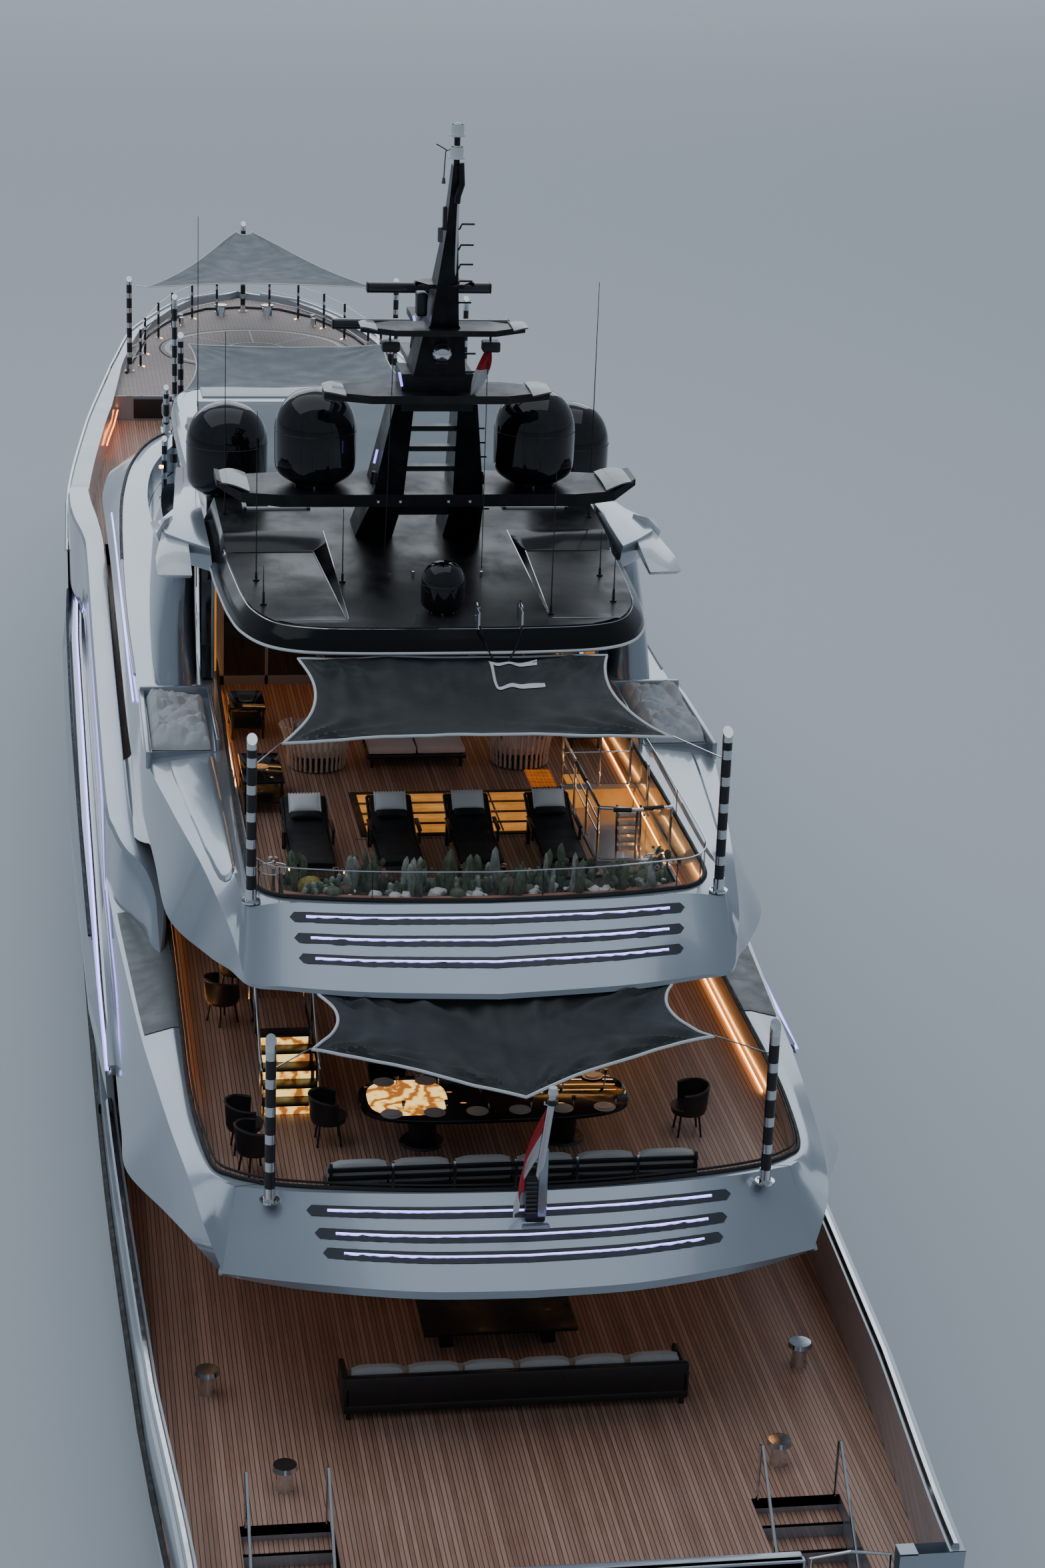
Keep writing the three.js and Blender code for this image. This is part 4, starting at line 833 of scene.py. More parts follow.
UPPER_RING = coaming(UPPER, 6.5, 5.42, [
    [(0, -4.15), (0, -4.22, 6.5), (0, -5.5, 5.58), (0, -5.52, 5.47), (0, -5.2)],
    [(1.5, -4.08), (1.5, -4.16, 6.5), (1.6, -5.4, 5.58), (1.6, -5.42, 5.47), (1.5, -5.1)],
    [(3.0, -3.86), (3.1, -3.98, 6.5), (3.2, -5.02, 5.58), (3.2, -5.02, 5.47), (3.0, -4.7)],
    [(3.74, -3.67), (4.1, -3.73, 6.5), (4.36, -4.58, 5.55), (4.35, -4.48, 5.46), (4.0, -4.2)],
    [(3.77, -3.65), (4.16, -3.71, 6.5), (4.39, -4.55, 5.57), (4.4, -4.38, 5.45), (4.0, -4.1)],
    [(4.18, -3.4), (4.4, -3.45, 6.5), (4.64, -4.2, 6.17), (4.84, -3.15, 5.45), (4.4, -3.3)],
    [(4.45, -3.0), (4.56, -2.95, 6.5), (4.79, -3.33, 6.41), (5.12, -2.4, 5.44), (4.7, -2.6)],
    [(4.6, -1.6), (4.72, -1.6, 6.5), (4.99, -1.66, 6.42), (5.64, -1.05, 5.44), (5.2, -1.2)],
    [(4.66, -0.1), (4.76, -0.1, 6.5), (5.15, 0.0, 6.41), (5.68, 0.3, 5.44), (5.2, 0)],
    [(4.66, 1.9), (4.8, 1.9, 6.5), (5.31, 1.9, 6.36), (5.7, 1.9, 5.44), (5.2, 2)],
    [(4.66, 4.4), (4.8, 4.4, 6.5), (5.47, 4.4, 6.38), (5.72, 4.4, 5.44), (5.2, 4)],
    [(4.66, 7.0), (4.8, 7.0, 6.5), (5.62, 7.0, 6.4), (5.73, 7.0, 5.44), (5.2, 7)],
    [(4.66, 9.3), (4.8, 9.3, 6.5), (5.7, 9.3, 6.4), (5.74, 9.3, 5.44), (5.2, 9)],
])
CREASES = (1, 3, 4)
upper_at, upper_strips = ring(UPPER_RING, 15, 84, CREASES)


def edge_of(rows, point):
    """Where a profile's point runs round the ship, as a function from y to x."""
    line = looked_up([(row[point][1], row[point][0]) for row in rows])
    return lambda y: line(y)[0]


upper_edge, ceiling_edge = edge_of(UPPER_RING, 1), edge_of(UPPER_RING, 5)
# A darker grey for a plate laid on the cap from y 1.9 to 7.
darker_cap_grey = Paint("darker_cap_grey", (0.1, 0.115, 0.125), 0.4, Metallic=0.2).worn(6.0, 4.0, 0.32, 0.5)


def darker_cap_plate(u, v):
    """A flat plate of darker grey laid on the cap beside the dining deck's fore end."""
    return upper_at((9 + 2 * v) / (len(UPPER_RING) - 1), 0.22 + 0.36 * u) + up(0.012)


piece("upper_deck_plating", [
    *painted(
        silver, *upper_strips, both(box(5.2, 5.72, 9.2, 30.95, 5.44, UPPER + 0.01, 0.02)),
        deck_floor(ceiling_edge, -5.19, 30.9, 5.42, along=120),
    ),
    (both(grid(darker_cap_plate, 2, 20)), darker_cap_grey),
], replaces=("upper_deck",))
upper_planking = deck_floor(lambda y: upper_edge(y) if y < 9.3 else 5.3, -4.12, 30.95, UPPER, along=120)
piece("upper_deck_teak", [(upper_planking, teak)])


def mirrored(line):
    """A line from the centreline, led round to port as well, from port to starboard."""
    return [Vector((-p.x, p.y, p.z)) for p in reversed(line[1:])] + line


gasket = mirrored([upper_at(k / 100, 0.2) + up(0.015) for k in range(101)])
inner_lip = [
    p + Vector((-math.copysign(0.06, p.x) * min(abs(p.x), 1), 0.05 if p.y < -3 else 0, 0.05))
    for p in gasket[::2]
]
piece("upper_gasket", painted(rubber, tube(gasket, 0.035, 6), tube(inner_lip, 0.02, 6)))

# Dark paint for the slots: painted shade standing for the hollow of each slot.
painted_slot_shade = Paint("painted_slot_shade", (0.05, 0.055, 0.065), 0.35, Metallic=0.4).worn(8.0, 3.0, 0.3, 0.5)


def stern_slots(at, rows, low_v=0.4, high_v=0.6):
    """Slots with rounded ends across a coaming's aft face, each with its strip light. Each slot is a dark
    patch laid just proud of the face, painted shade for its recess.
    """
    parts = []
    for half, light, share in rows:
        def face(x, offset, out):
            u = next(k / 400 for k in range(401) if at(k / 400, 0.5).x >= abs(x) - 1e-3)
            upper, lower = at(u, low_v), at(u, high_v)
            spot = upper.lerp(lower, share + offset)
            slope = (lower - upper).cross(Vector((1, 0, 0))).normalized()
            slope *= -1 if slope.z < 0 else 1
            return Vector((x, spot.y, spot.z)) + slope * out

        def slot(u, v):
            end = max(0.0, abs(2 * u - 1) * half - (half - 0.09)) / 0.09
            thin = math.sqrt(max(0.0, 1 - end * end))
            return face((2 * u - 1) * half, (v - 0.5) * 0.12 * max(thin, 0.02), 0.012)

        run = [face(light * (k / 30 - 1), -0.012, 0.012) for k in range(61)]
        below = [p + Vector((0, -0.01, -0.02)) for p in run]
        parts += [
            (grid(slot, 90, 2), painted_slot_shade), (tube(run, 0.013, 6), strip_core),
            (tube(below, 0.013, 6), strip_light),
        ]
    return parts


dining_slots = stern_slots(upper_at, ((3.15, 2.85, 0.2), (3.05, 2.75, 0.45), (2.95, 2.65, 0.66)))
piece("dining_strip_lights", dining_slots)
warm = glow("warm_light", (1.0, 0.47, 0.14), 9.0)
ceiling_lamps = [
    post((x, y, 5.395), 0.03, 0.09, 12) for x in (-4.2, -2.1, 0, 2.1, 4.2) for y in (-3.4, -1.0, 1.4, 3.8)
]
piece("main_deck_lamps", painted(warm, *ceiling_lamps))


# Bulwarks of the upper side decks
# Folded plate walls with a flat top. At their after ends they sweep inboard and down to the coaming, and
# forward they flare out to the bow's bulwark as small wing stations.
WALL_ROWS = [
    # y, inner x, outer x, top z, foot x, foot z
    (5.0, 4.82, 4.92, 6.5, 5.0, 6.38), (5.6, 4.74, 4.93, 6.78, 5.1, 6.35), (6.2, 4.72, 4.96, 7.12, 5.2, 6.3),
    (6.8, 4.75, 5.12, 7.36, 5.4, 6.1), (7.5, 4.9, 5.42, 7.47, 5.6, 5.9), (8.4, 5.08, 5.58, 7.5, 5.68, 5.8),
    (9.6, 5.2, 5.68, 7.5, 5.73, 5.75), (14, 5.22, 5.7, 7.5, 5.74, 5.7), (20, 5.22, 5.7, 7.5, 5.74, 5.7),
    (26.4, 5.2, 5.69, 7.5, 5.72, 5.7), (28, 5.22, 5.74, 7.5, 5.8, 5.7), (29.6, 5.3, 5.92, 7.5, 5.96, 5.7),
    (31.2, 5.4, 6.0, 7.45, 6.02, 5.7), (33, 5.45, 5.98, 7.36, 6.0, 6.3),
]
side_wall = through([
    [
        (inner, y, foot), (inner, y, top - 0.05), (inner + 0.04, y, top),
        (outer - 0.05, y, top), (outer, y, top - 0.06), (low, y, foot),
    ]
    for y, inner, outer, top, low, foot in WALL_ROWS
])
piece(
    "side_bulwarks", [(both(grid(side_wall, 15, 110)), silver)],
    replaces=("starboard_side_bulwark", "port_side_bulwark"),
)

# The plate between the bulwark and the bridge deck's overhang, with its hollow after edge
FASHION_LOW, FASHION_RISE, FASHION_THICK = 7.35, 1.11, 0.12
fashion_line = ruled([
    # z, after y, fore y, x
    (7.35, 8.6, 12.4, 5.28), (7.6, 7.5, 11.9, 5.14), (7.9, 6.6, 11.6, 5.06), (8.2, 5.8, 11.5, 5.02),
    (8.46, 4.9, 11.5, 4.98),
])


def fashion(inward):
    """The plate's outer face, or its inner one."""

    def at(u, v):
        z = FASHION_LOW + FASHION_RISE * v
        aft, fore, x = fashion_line(z)
        return Vector((x - inward, aft + (fore - aft) * u, z))

    return at


def fashion_edge(u, v):
    return fashion(FASHION_THICK * u)(0, v)


piece("fashion_plates", painted(
    silver, both(grid(fashion(0), 8, 16)), both(grid(fashion(FASHION_THICK), 8, 16)),
    both(grid(fashion_edge, 2, 16)),
))


# Deck houses
# Silver plate walls under the overhangs, ringed by flush dark glass between black mullions. Each house
# opens aft through a pair of glazed leaves that slide apart on a rail, with warm lamps shining inside.
def along_plan(rows):
    """A place on a house's plan, given a distance from its after corner, and the plan's whole length."""
    points = [Vector((x, y, 0)) for y, x in rows]
    runs = [(b - a).length for a, b in zip(points, points[1:])]

    def at(distance):
        for (a, b), run in zip(zip(points, points[1:]), runs):
            if distance <= run + 1e-6:
                out = Vector(((b - a).y, -(b - a).x, 0)).normalized()
                return a.lerp(b, distance / run), out
            distance -= run
        return points[-1], Vector((0, 1, 0))

    return at, sum(runs)


def deck_house(name, rows, floor, top, sill, lintel, first, pitch, count, replaced):
    at, whole = along_plan(rows)

    def band(z0, z1, proud, start=0.0):
        """A strip of wall between two heights, from a distance along the plan to its end."""

        def place(u, v):
            spot, out = at(start + (whole - start) * u)
            return spot + out * proud + up(z0 + (z1 - z0) * v)

        return both(grid(place, 60, 4))

    mullions = []
    for k in range(1, count):
        spot, out = at(min(first + pitch * k, whole - 0.1))
        foot = spot + out * 0.012 + up(floor + sill)
        mullions.append(both(tube([foot, foot + up(lintel - sill)], 0.035, 6)))
    piece(name, [
        (band(floor, top, 0), silver),
        *painted(
            rubber, band(floor, floor + 0.12, 0.03),
            band(floor + sill - 0.06, floor + lintel + 0.06, 0.006, first - 0.06), *mullions,
        ),
        (band(floor + sill, floor + lintel, 0.014, first), dark_glass),
    ], replaces=replaced)


UPPER_PLAN = [(9.3, 4.4), (27, 4.4), (29.4, 3.4), (30.3, 1.6), (30.3, 0)]
BRIDGE_PLAN = [(12.6, 3.6), (21.2, 3.6), (22.6, 3.0), (23.1, 1.6), (23.1, 0)]
deck_house(
    "upper_house_walls", UPPER_PLAN, UPPER, top=8.45, sill=0.65, lintel=2.15, first=0.8, pitch=1.9, count=12,
    replaced=("upper_house", "upper_glass"),
)
deck_house(
    "bridge_house_walls", BRIDGE_PLAN, BRIDGE, top=11.5, sill=0.75, lintel=2.35, first=0.7, pitch=1.7, count=8,
    replaced=("bridge_house", "bridge_glass"),
)
piece("upper_bulkhead", [
    *bulkhead(9.3, 4.4, UPPER, 8.43, 1.6, UPPER + DOOR_HEIGHT, (-3.3, 3.3)),
    *painted(warm, *(post((x, 9.6, 8.0), 0.3, 0.16, 16, 0.22) for x in (-3.4, 3.4))),
])
bridge_wall = bulkhead(12.6, 3.6, BRIDGE, 11.5, 1.4, BRIDGE + DOOR_HEIGHT, (-2.9, 2.9))
piece("bridge_bulkhead", bridge_wall)


# The dining deck
# An oval table of lacquer and glowing stone, laid for a meal, between a slatted black sofa with piped
# cushions and black tub chairs. A stair with lit marble risers climbs to port.
marble = Paint("marble", (1.0, 0.5, 0.12), 0.25)
veins = {
    "Vector": marble.place((1, 1, 1), (0.4, 0.3, 0.6)), "Scale": 1.7, "Distortion": 14.0, "Detail": 5.0,
    "Detail Scale": 2.2,
}
marble_tone = marble.ramp(
    marble.node("ShaderNodeTexWave", {}, veins, "Fac"),
    (0.15, (0.30, 0.10, 0.02)), (0.5, (1.0, 0.46, 0.07)), (0.9, (1.0, 0.72, 0.24)),
)
marble.set(Base_Color=marble_tone, Emission_Color=marble_tone, Emission_Strength=1.5)
gloss_black = Paint(
    "gloss_black", (0.008, 0.008, 0.010), 0.05, Specular_IOR_Level=0.1, Coat_Weight=0.75, Coat_Roughness=0.03,
)
dust = gloss_black.span(gloss_black.clouds(1.6, 6.0), 0.48, 0.72)
spots = gloss_black.span(gloss_black.clouds(18.0, 5.0), 0.5, 0.75)
gloss_black.set(
    Base_Color=gloss_black.blend(dust * 0.6 + spots * 0.2, (0.004, 0.004, 0.006), (0.04, 0.042, 0.046)),
    Roughness=0.05 + 0.22 * dust,
)
china = Paint("china", (0.62, 0.55, 0.52), 0.2, Coat_Weight=0.6).worn(40.0, 3.0, 0.15, 0.3)
TABLE_Y, TABLE_LOW, TABLE_TOP = -1.3, UPPER + 0.69, UPPER + 0.76


def oval(half_x, half_y, z0, z1, power=0.6, sides=48, bevel=0.02, middle=0):
    """A table top with a squarish outline and softened edges."""
    mesh = bmesh.new()
    rim = []
    for k in range(sides):
        turn = 2 * math.pi * k / sides
        c, s = math.cos(turn), math.sin(turn)
        x = middle + half_x * math.copysign(abs(c) ** power, c)
        y = TABLE_Y + half_y * math.copysign(abs(s) ** power, s)
        rim.append(mesh.verts.new((x, y, z1)))
    top_face = mesh.faces.new(rim)
    down = bmesh.ops.extrude_face_region(mesh, geom=[top_face])["geom"]
    lowered = [part for part in down if isinstance(part, bmesh.types.BMVert)]
    bmesh.ops.translate(mesh, vec=(0, 0, z0 - z1), verts=lowered)
    if not top_face.is_valid or top_face not in mesh.faces:
        mesh.faces.new(rim)
    bmesh.ops.recalc_face_normals(mesh, faces=mesh.faces)
    soften(mesh, [e for e in mesh.edges if abs(e.verts[0].co.z - e.verts[1].co.z) < 1e-6], bevel)
    return mesh


setting = []
for k in range(12):
    side = -1 if k % 2 else 1
    x, y = -1.65 + 0.66 * (k // 2), TABLE_Y + side * 0.56
    glass_x, glass_y = x + 0.19, y - side * 0.1
    setting += [
        (post((x, y, TABLE_TOP), 0.012, 0.14, 24, 0.17), china),
        (post((x, y, TABLE_TOP + 0.012), 0.012, 0.09, 20, 0.11), china),
        (post((glass_x, glass_y, TABLE_TOP), 0.09, 0.012, 10), chrome),
        (post((glass_x, glass_y, TABLE_TOP + 0.09), 0.07, 0.02, 14, 0.036), dark_glass),
    ]
piece("dining_table_top", [
    (oval(2.1, 0.85, TABLE_LOW, TABLE_TOP), gloss_black),
    (oval(0.62, 0.62, TABLE_TOP, TABLE_TOP + 0.006, 0.7, 40, 0.002, -1.35), marble),
    (both(post((1.1, TABLE_Y, UPPER), 0.04, 0.36, 28, 0.33)), satin_black),
    (both(post((1.1, TABLE_Y, UPPER), 0.7, 0.2, 24, 0.26)), satin_black),
    *setting,
], replaces=("dining_table",))


def tub_chair(x, y, turn):
    """A round-backed chair on four splayed legs, turned about its middle."""

    def back(u, v):
        angle = math.radians(-115 + 230 * u)
        high = 0.44 + v * (0.34 + 0.06 * math.cos(angle))
        reach = 0.29 + 0.03 * v
        return Vector((math.sin(angle) * reach, -math.cos(angle) * reach, high))

    def lining(u, v):
        return back(u, v) * 0.92 + up(0.06 * v)

    rim = [back(k / 20, 1) * 0.96 + up(0.02) for k in range(21)]
    parts = [
        grid(back, 20, 5), grid(lining, 20, 5), tube(rim, 0.022, 6),
        post((0, 0, 0.38), 0.09, 0.27, 20, 0.29),
    ]
    for corner in (45, 135, 225, 315):
        foot = Vector((math.cos(math.radians(corner)), math.sin(math.radians(corner)), 0)) * 0.26
        parts.append(tube([foot, foot * 0.75 + up(0.4)], 0.018, 6))
    spin = Matrix.Translation((x, y, UPPER)) @ Matrix.Rotation(turn, 4, "Z")
    for mesh in parts:
        bmesh.ops.transform(mesh, matrix=spin, verts=mesh.verts)
    return painted(satin_black, *parts)


chairs = []
for place in (
    # x, y, turn
    (-3.75, -2.15, -1.2), (-3.85, -1.35, -1.5), (-2.55, -1.2, -1.57), (3.1, -1.3, 1.57), (-1.5, 0.1, 3.14),
    (-0.5, 0.15, 3.1), (0.5, 0.1, 3.2), (1.5, 0.1, 3.1), (-3.9, 3.4, -1.0), (-3.6, 4.6, -2.2),
):
    chairs += tub_chair(*place)
piece("dining_chairs", chairs)

BENCH_HALF, BENCH_AFT, BENCH_FORE = 2.78, -3.55, -2.75
slatted = [
    (box(-BENCH_HALF, BENCH_HALF, BENCH_AFT + 0.01, BENCH_AFT + 0.04, z, z + 0.08, 0.012), satin_black)
    for z in (UPPER + 0.12 + 0.135 * k for k in range(5))
]
for x in (-2.76, -1.84, -0.92, 0, 0.92, 1.84, 2.72):
    upright = box(x, x + 0.05, BENCH_AFT, BENCH_AFT + 0.06, UPPER, UPPER + 0.8, 0.01)
    slatted.append((upright, chrome if abs(x) < 2.5 else satin_black))
piece("dining_sofa_frame", slatted + painted(
    satin_black,
    box(-BENCH_HALF, BENCH_HALF, BENCH_AFT + 0.02, BENCH_FORE, UPPER + 0.14, UPPER + 0.24, 0.02),
    *legs((-2.7, -0.9, 0.9, 2.6), (BENCH_FORE - 0.1,), UPPER, UPPER + 0.15, 0.07),
), replaces=("dining_sofa",))
grey_cloth = Paint("grey_cloth", (0.16, 0.165, 0.17), 0.95, Sheen_Weight=0.2)
weave(grey_cloth.mottled(8.0, 4.0, (0.12, 0.125, 0.13), (0.22, 0.22, 0.225)), 0.0016, 0.0006)
piped = []
for k in range(6):
    left = -BENCH_HALF + 0.02 + 0.925 * k
    seat = cushion(left, left + 0.9, BENCH_AFT + 0.2, BENCH_FORE + 0.02, UPPER + 0.23, UPPER + 0.42)
    back = cushion(
        left + 0.02, left + 0.88, BENCH_AFT + 0.05, BENCH_AFT + 0.24, UPPER + 0.4, UPPER + 0.8, 0.35,
    )
    piped += [(seat, grey_cloth), (back, pale_cloth)]
piece("dining_sofa_cushions", piped)

flight = []
for k in range(5):
    y, z = -0.2 + 0.26 * k, UPPER + 0.18 * k
    flight += [
        (box(-3.46, -2.69, y, y + 0.02, z + 0.01, z + 0.145), marble),
        (box(-3.5, -2.65, y - 0.03, y + 0.27, z + 0.15, z + 0.185, 0.008), satin_black),
    ]
flight += [
    (box(-3.5, -2.65, 1.07, 2.3, UPPER + 0.8, UPPER + 0.9, 0.01), teak),
    (box(-3.52, -3.49, -0.2, 2.3, UPPER, UPPER + 0.9), gloss_black),
    (box(-2.66, -2.63, -0.2, 2.3, UPPER, UPPER + 0.9), gloss_black),
]
STAIR_RAIL = [(-0.35, 0), (-0.35, 0.85), (-0.25, 0.95), (1.05, 1.85), (2.3, 1.85), (2.3, 0.9)]
for x in (-3.53, -2.62):
    handrail = tube([(x, y, UPPER + high) for y, high in STAIR_RAIL], 0.022)
    flight += painted(chrome, handrail, tube([(x, 1.05, UPPER + 0.85), (x, 1.05, UPPER + 1.85)], 0.02))
piece("dining_stair_flight", flight, replaces=("dining_stair",))
piece("dining_deck_strips", painted(
    warm, both(box(4.6, 4.62, 0.0, 9.2, UPPER + 0.02, UPPER + 0.04)),
    *(post((x, y, 8.4), 0.02, 0.06, 10) for x in (-3.9, -2, 0, 2, 3.9) for y in (1.2, 3.4, 5.8, 8.0)),
))


# The bridge deck and its coaming
# Like the deck below, with a flat cap that broadens forward. A raised panel runs along each cap to a
# niche with a framed edge, and three slots with strip lights cross the sloping face aft.
COAMING_TOP, UNDERSIDE = 9.45, 8.41
BRIDGE_RING = coaming(BRIDGE, COAMING_TOP, UNDERSIDE, [
    [(0, -0.22), (0, -0.3, 9.45), (0, -1.6, 8.5), (0, -1.62, 8.42), (0, -1.2)],
    [(1.8, -0.1), (1.8, -0.2, 9.44), (1.95, -1.4, 8.5), (1.95, -1.42, 8.42), (1.8, -1)],
    [(3.0, 0.12), (3.15, -0.02, 9.43), (3.2, -1.06, 8.48), (3.2, -1.08, 8.42), (3, -0.7)],
    [(3.33, 0.26), (3.72, -0.08, 9.41), (3.76, -0.86, 8.48), (3.74, -0.88, 8.42), (3.4, -0.4)],
    [(3.52, 0.5), (3.8, 0.26, 9.44), (3.9, -0.5, 8.78), (4.02, -0.22, 8.42), (3.6, -0.05)],
    [(3.63, 0.9), (3.84, 0.8, 9.45), (4.04, 0.05, 9.1), (4.32, 0.36, 8.42), (3.8, 0.4)],
    [(3.65, 1.9), (3.9, 1.9, 9.45), (4.33, 1.9, 9.32), (4.86, 1.9, 8.42), (4.3, 1.9)],
    [(3.64, 4.4), (3.95, 4.4, 9.45), (4.7, 4.4, 9.34), (4.98, 4.4, 8.42), (4.4, 4.4)],
    [(3.6, 7.0), (3.95, 7.0, 9.45), (5.02, 7.0, 9.34), (5.1, 7.0, 8.42), (4.4, 7)],
    [(3.55, 9.9), (3.95, 9.9, 9.45), (5.04, 9.9, 9.34), (5.18, 9.9, 8.42), (4.4, 9.9)],
    [(3.52, 12.4), (3.95, 12.4, 9.45), (5.06, 12.4, 9.34), (5.2, 12.4, 8.42), (4.4, 12.4)],
    [(3.85, 15), (4.15, 15, 9.46), (5.08, 15, 9.34), (5.2, 15, 8.42), (4.4, 15)],
    [(4.05, 18), (4.3, 18, 9.46), (5.06, 18, 9.34), (5.2, 18, 8.42), (4.4, 18)],
    [(4.3, 22), (4.55, 22, 9.46), (4.98, 22, 9.34), (5.2, 22, 8.42), (4.4, 22)],
    [(4.28, 25), (4.55, 25, 9.46), (4.84, 25, 9.36), (5.22, 25.6, 8.42), (4.3, 24.9)],
    [(3.95, 27.5), (4.3, 27.6, 9.46), (4.5, 27.8, 9.38), (5.2, 28.6, 8.42), (4.1, 27.4)],
    [(3.2, 29.6), (3.6, 29.8, 9.46), (3.8, 30.1, 9.38), (4.72, 31.2, 8.42), (3.4, 29.6)],
    [(2.0, 30.9), (2.3, 31.2, 9.46), (2.4, 31.6, 9.38), (3.1, 32.75, 8.42), (2.2, 30.9)],
    [(0.9, 31.35), (1.0, 31.65, 9.46), (1.1, 32.1, 9.38), (1.5, 33.3, 8.42), (1.0, 31.3)],
    [(0, 31.4), (0, 31.7, 9.46), (0, 32.15, 9.38), (0, 33.4, 8.42), (0, 31.35)],
])
ROWS_TO_GLASS_END, ROWS_TO_HOUSE, LAST_ROW = 7.6, 10, len(BRIDGE_RING) - 1
bridge_at, bridge_strips = ring(BRIDGE_RING, 15, 150, CREASES)
bridge_edge, bridge_ceiling_edge = edge_of(BRIDGE_RING, 1), edge_of(BRIDGE_RING[:-1], 5)
side_edge = edge_of(BRIDGE_RING[5:], 4)
HATCH_IN, HATCH_OUT, HATCH_AFT, HATCH_FORE = 2.3, 3.6, 2.9, 6.6
piping_white = Paint("piping_white", (0.78, 0.8, 0.82), 0.6).worn(20.0, 3.0, 0.5, 0.75)


def crease_line(first, last):
    """The line round the deck's nose where the coaming's face folds, counted aft in hundredths."""
    return [bridge_at(1 - k / 100, 0.6) + up(0.01) for k in range(first, last)]


piece("bridge_deck_plating", [
    *painted(
        silver, *bridge_strips, deck_floor(bridge_ceiling_edge, -1.19, 31.3, UNDERSIDE, along=120),
        deck_floor(bridge_edge, 12.6, 31.35, BRIDGE, along=50),
    ),
    (both(tube(crease_line(0, 36), 0.035, 6)), rubber),
    (both(tube(crease_line(35, 50), 0.03, 6)), piping_white),
], replaces=("bridge_deck", "bridge_aft_deck"))

piece("bridge_deck_teak", painted(
    teak,
    deck_floor(bridge_edge, -0.2, HATCH_AFT, BRIDGE, along=20),
    deck_floor(bridge_edge, HATCH_FORE, 12.6, BRIDGE, along=24),
    deck_floor(bridge_edge, HATCH_AFT, HATCH_FORE, BRIDGE, x1=HATCH_IN, along=8),
) + painted(
    silver,
    box(HATCH_IN - 0.04, HATCH_IN, HATCH_AFT, HATCH_FORE, 8.42, 8.84),
    box(HATCH_OUT, HATCH_OUT + 0.03, HATCH_AFT, HATCH_FORE, 8.42, 8.84),
    box(HATCH_IN - 0.04, HATCH_OUT, HATCH_FORE, HATCH_FORE + 0.04, 8.42, 8.84),
    box(HATCH_IN - 0.1, HATCH_OUT + 0.03, HATCH_AFT - 0.12, HATCH_AFT, 8.42, 8.9, 0.02),
))
bridge_slots = stern_slots(bridge_at, ((3.1, 2.85, 0.17), (3.05, 2.8, 0.42), (3.0, 2.75, 0.66)))
piece("bridge_strip_lights", bridge_slots)
overhang_core = along_hull(10.6, 0.66, 21, lambda y: (side_edge(y) - 0.08, y, 9.18))
overhang_rim = along_hull(10.6, 0.66, 21, lambda y: (side_edge(y) - 0.075, y, 9.15))
piece("overhang_lights", [
    (both(tube(overhang_core, 0.016, 6)), strip_core), (both(tube(overhang_rim, 0.018, 6)), strip_light),
])

# Raised panels, niches and drain caps of the coaming
PANEL_AFT, PANEL_RUN = 1.08, 5.52
panel = looked_up([
    # y, inner x, outer x
    (1.08, 3.94, 4.02), (1.25, 3.86, 4.1), (1.6, 3.82, 4.16), (2.4, 3.81, 4.26), (4.0, 3.82, 4.42),
    (6.6, 3.84, 4.64),
])
cap_slope = looked_up([(row[3][1], row[2][0], row[2][2], row[3][0], row[3][2]) for row in BRIDGE_RING[4:]])


def panel_skin(u, v):
    """A thin raised plate that lies on the cap's slope and is rounded down at its edges."""
    y = PANEL_AFT + PANEL_RUN * v
    low, high = panel(y)
    x = low + (high - low) * u
    near, near_z, far, far_z = cap_slope(y)
    cap = near_z + (far_z - near_z) * min(max((x - near) / (far - near), 0), 1)
    rim_lift = min(1.0, min(u, 1 - u) * (high - low) / 0.05, (y - PANEL_AFT) / 0.06)
    return Vector((x, y, cap + 0.035 * rim_lift - 0.002))


piece("coaming_panels", painted(
    silver, both(grid(panel_skin, 24, 60)), both(box(3.72, 3.8, 7.0, 9.95, 9.3, 9.66, 0.025, 3)),
    both(box(3.72, 5.02, 9.87, 9.97, 9.3, 9.68, 0.025, 3)),
    both(box(4.94, 5.04, 6.5, 9.97, 9.3, 9.62, 0.025, 3)),
    both(box(3.8, 4.96, 6.9, 9.9, 9.3, 9.47)),
) + [
    (both(post((4.25, 10.6, 9.4), 0.035, 0.14, 28, 0.13)), rubber),
    (both(post((4.25, 10.6, 9.4), 0.05, 0.08, 24, 0.075)), chrome),
])

cover_cloth = Paint("cover_cloth", (0.62, 0.64, 0.66), 0.8, Sheen_Weight=0.1)
weave(cover_cloth.mottled(3.0, 5.0, (0.50, 0.53, 0.56), (0.72, 0.73, 0.74)), 0.002, 0.0006, 0.008)


def crumple(x, y, size):
    """Folds of crumpled cloth, as ridges between flat facets."""
    near, far = noise.voronoi(Vector((x * size, y * size, 1.7)))[0][:2]
    return min(1.0, (far - near) * 3)


for side, word in ((1, "starboard"), (-1, "port")):
    def draped_cover(u, v, side=side):
        x, y = 3.88 + 1.04 * u, 6.95 + 2.75 * v
        edge_in = min(1.0, 7 * min(u, 1 - u), 7 * min(v, 1 - v))
        heap = 0.2 + 0.2 * noise.noise(Vector((x * 0.9 * side, y * 0.8, 3.0)))
        z = 9.48 + edge_in ** 0.5 * (
            heap + 0.13 * crumple(x * side, y, 1.7) + 0.05 * crumple(x * side, y, 4.1)
        )
        return Vector((side * x, y + 0.05 * noise.noise(Vector((x * 3, y * 3, 0))), z))

    cover = piece(word + "_niche_cover", [(grid(draped_cover, 36, 80), cover_cloth)])


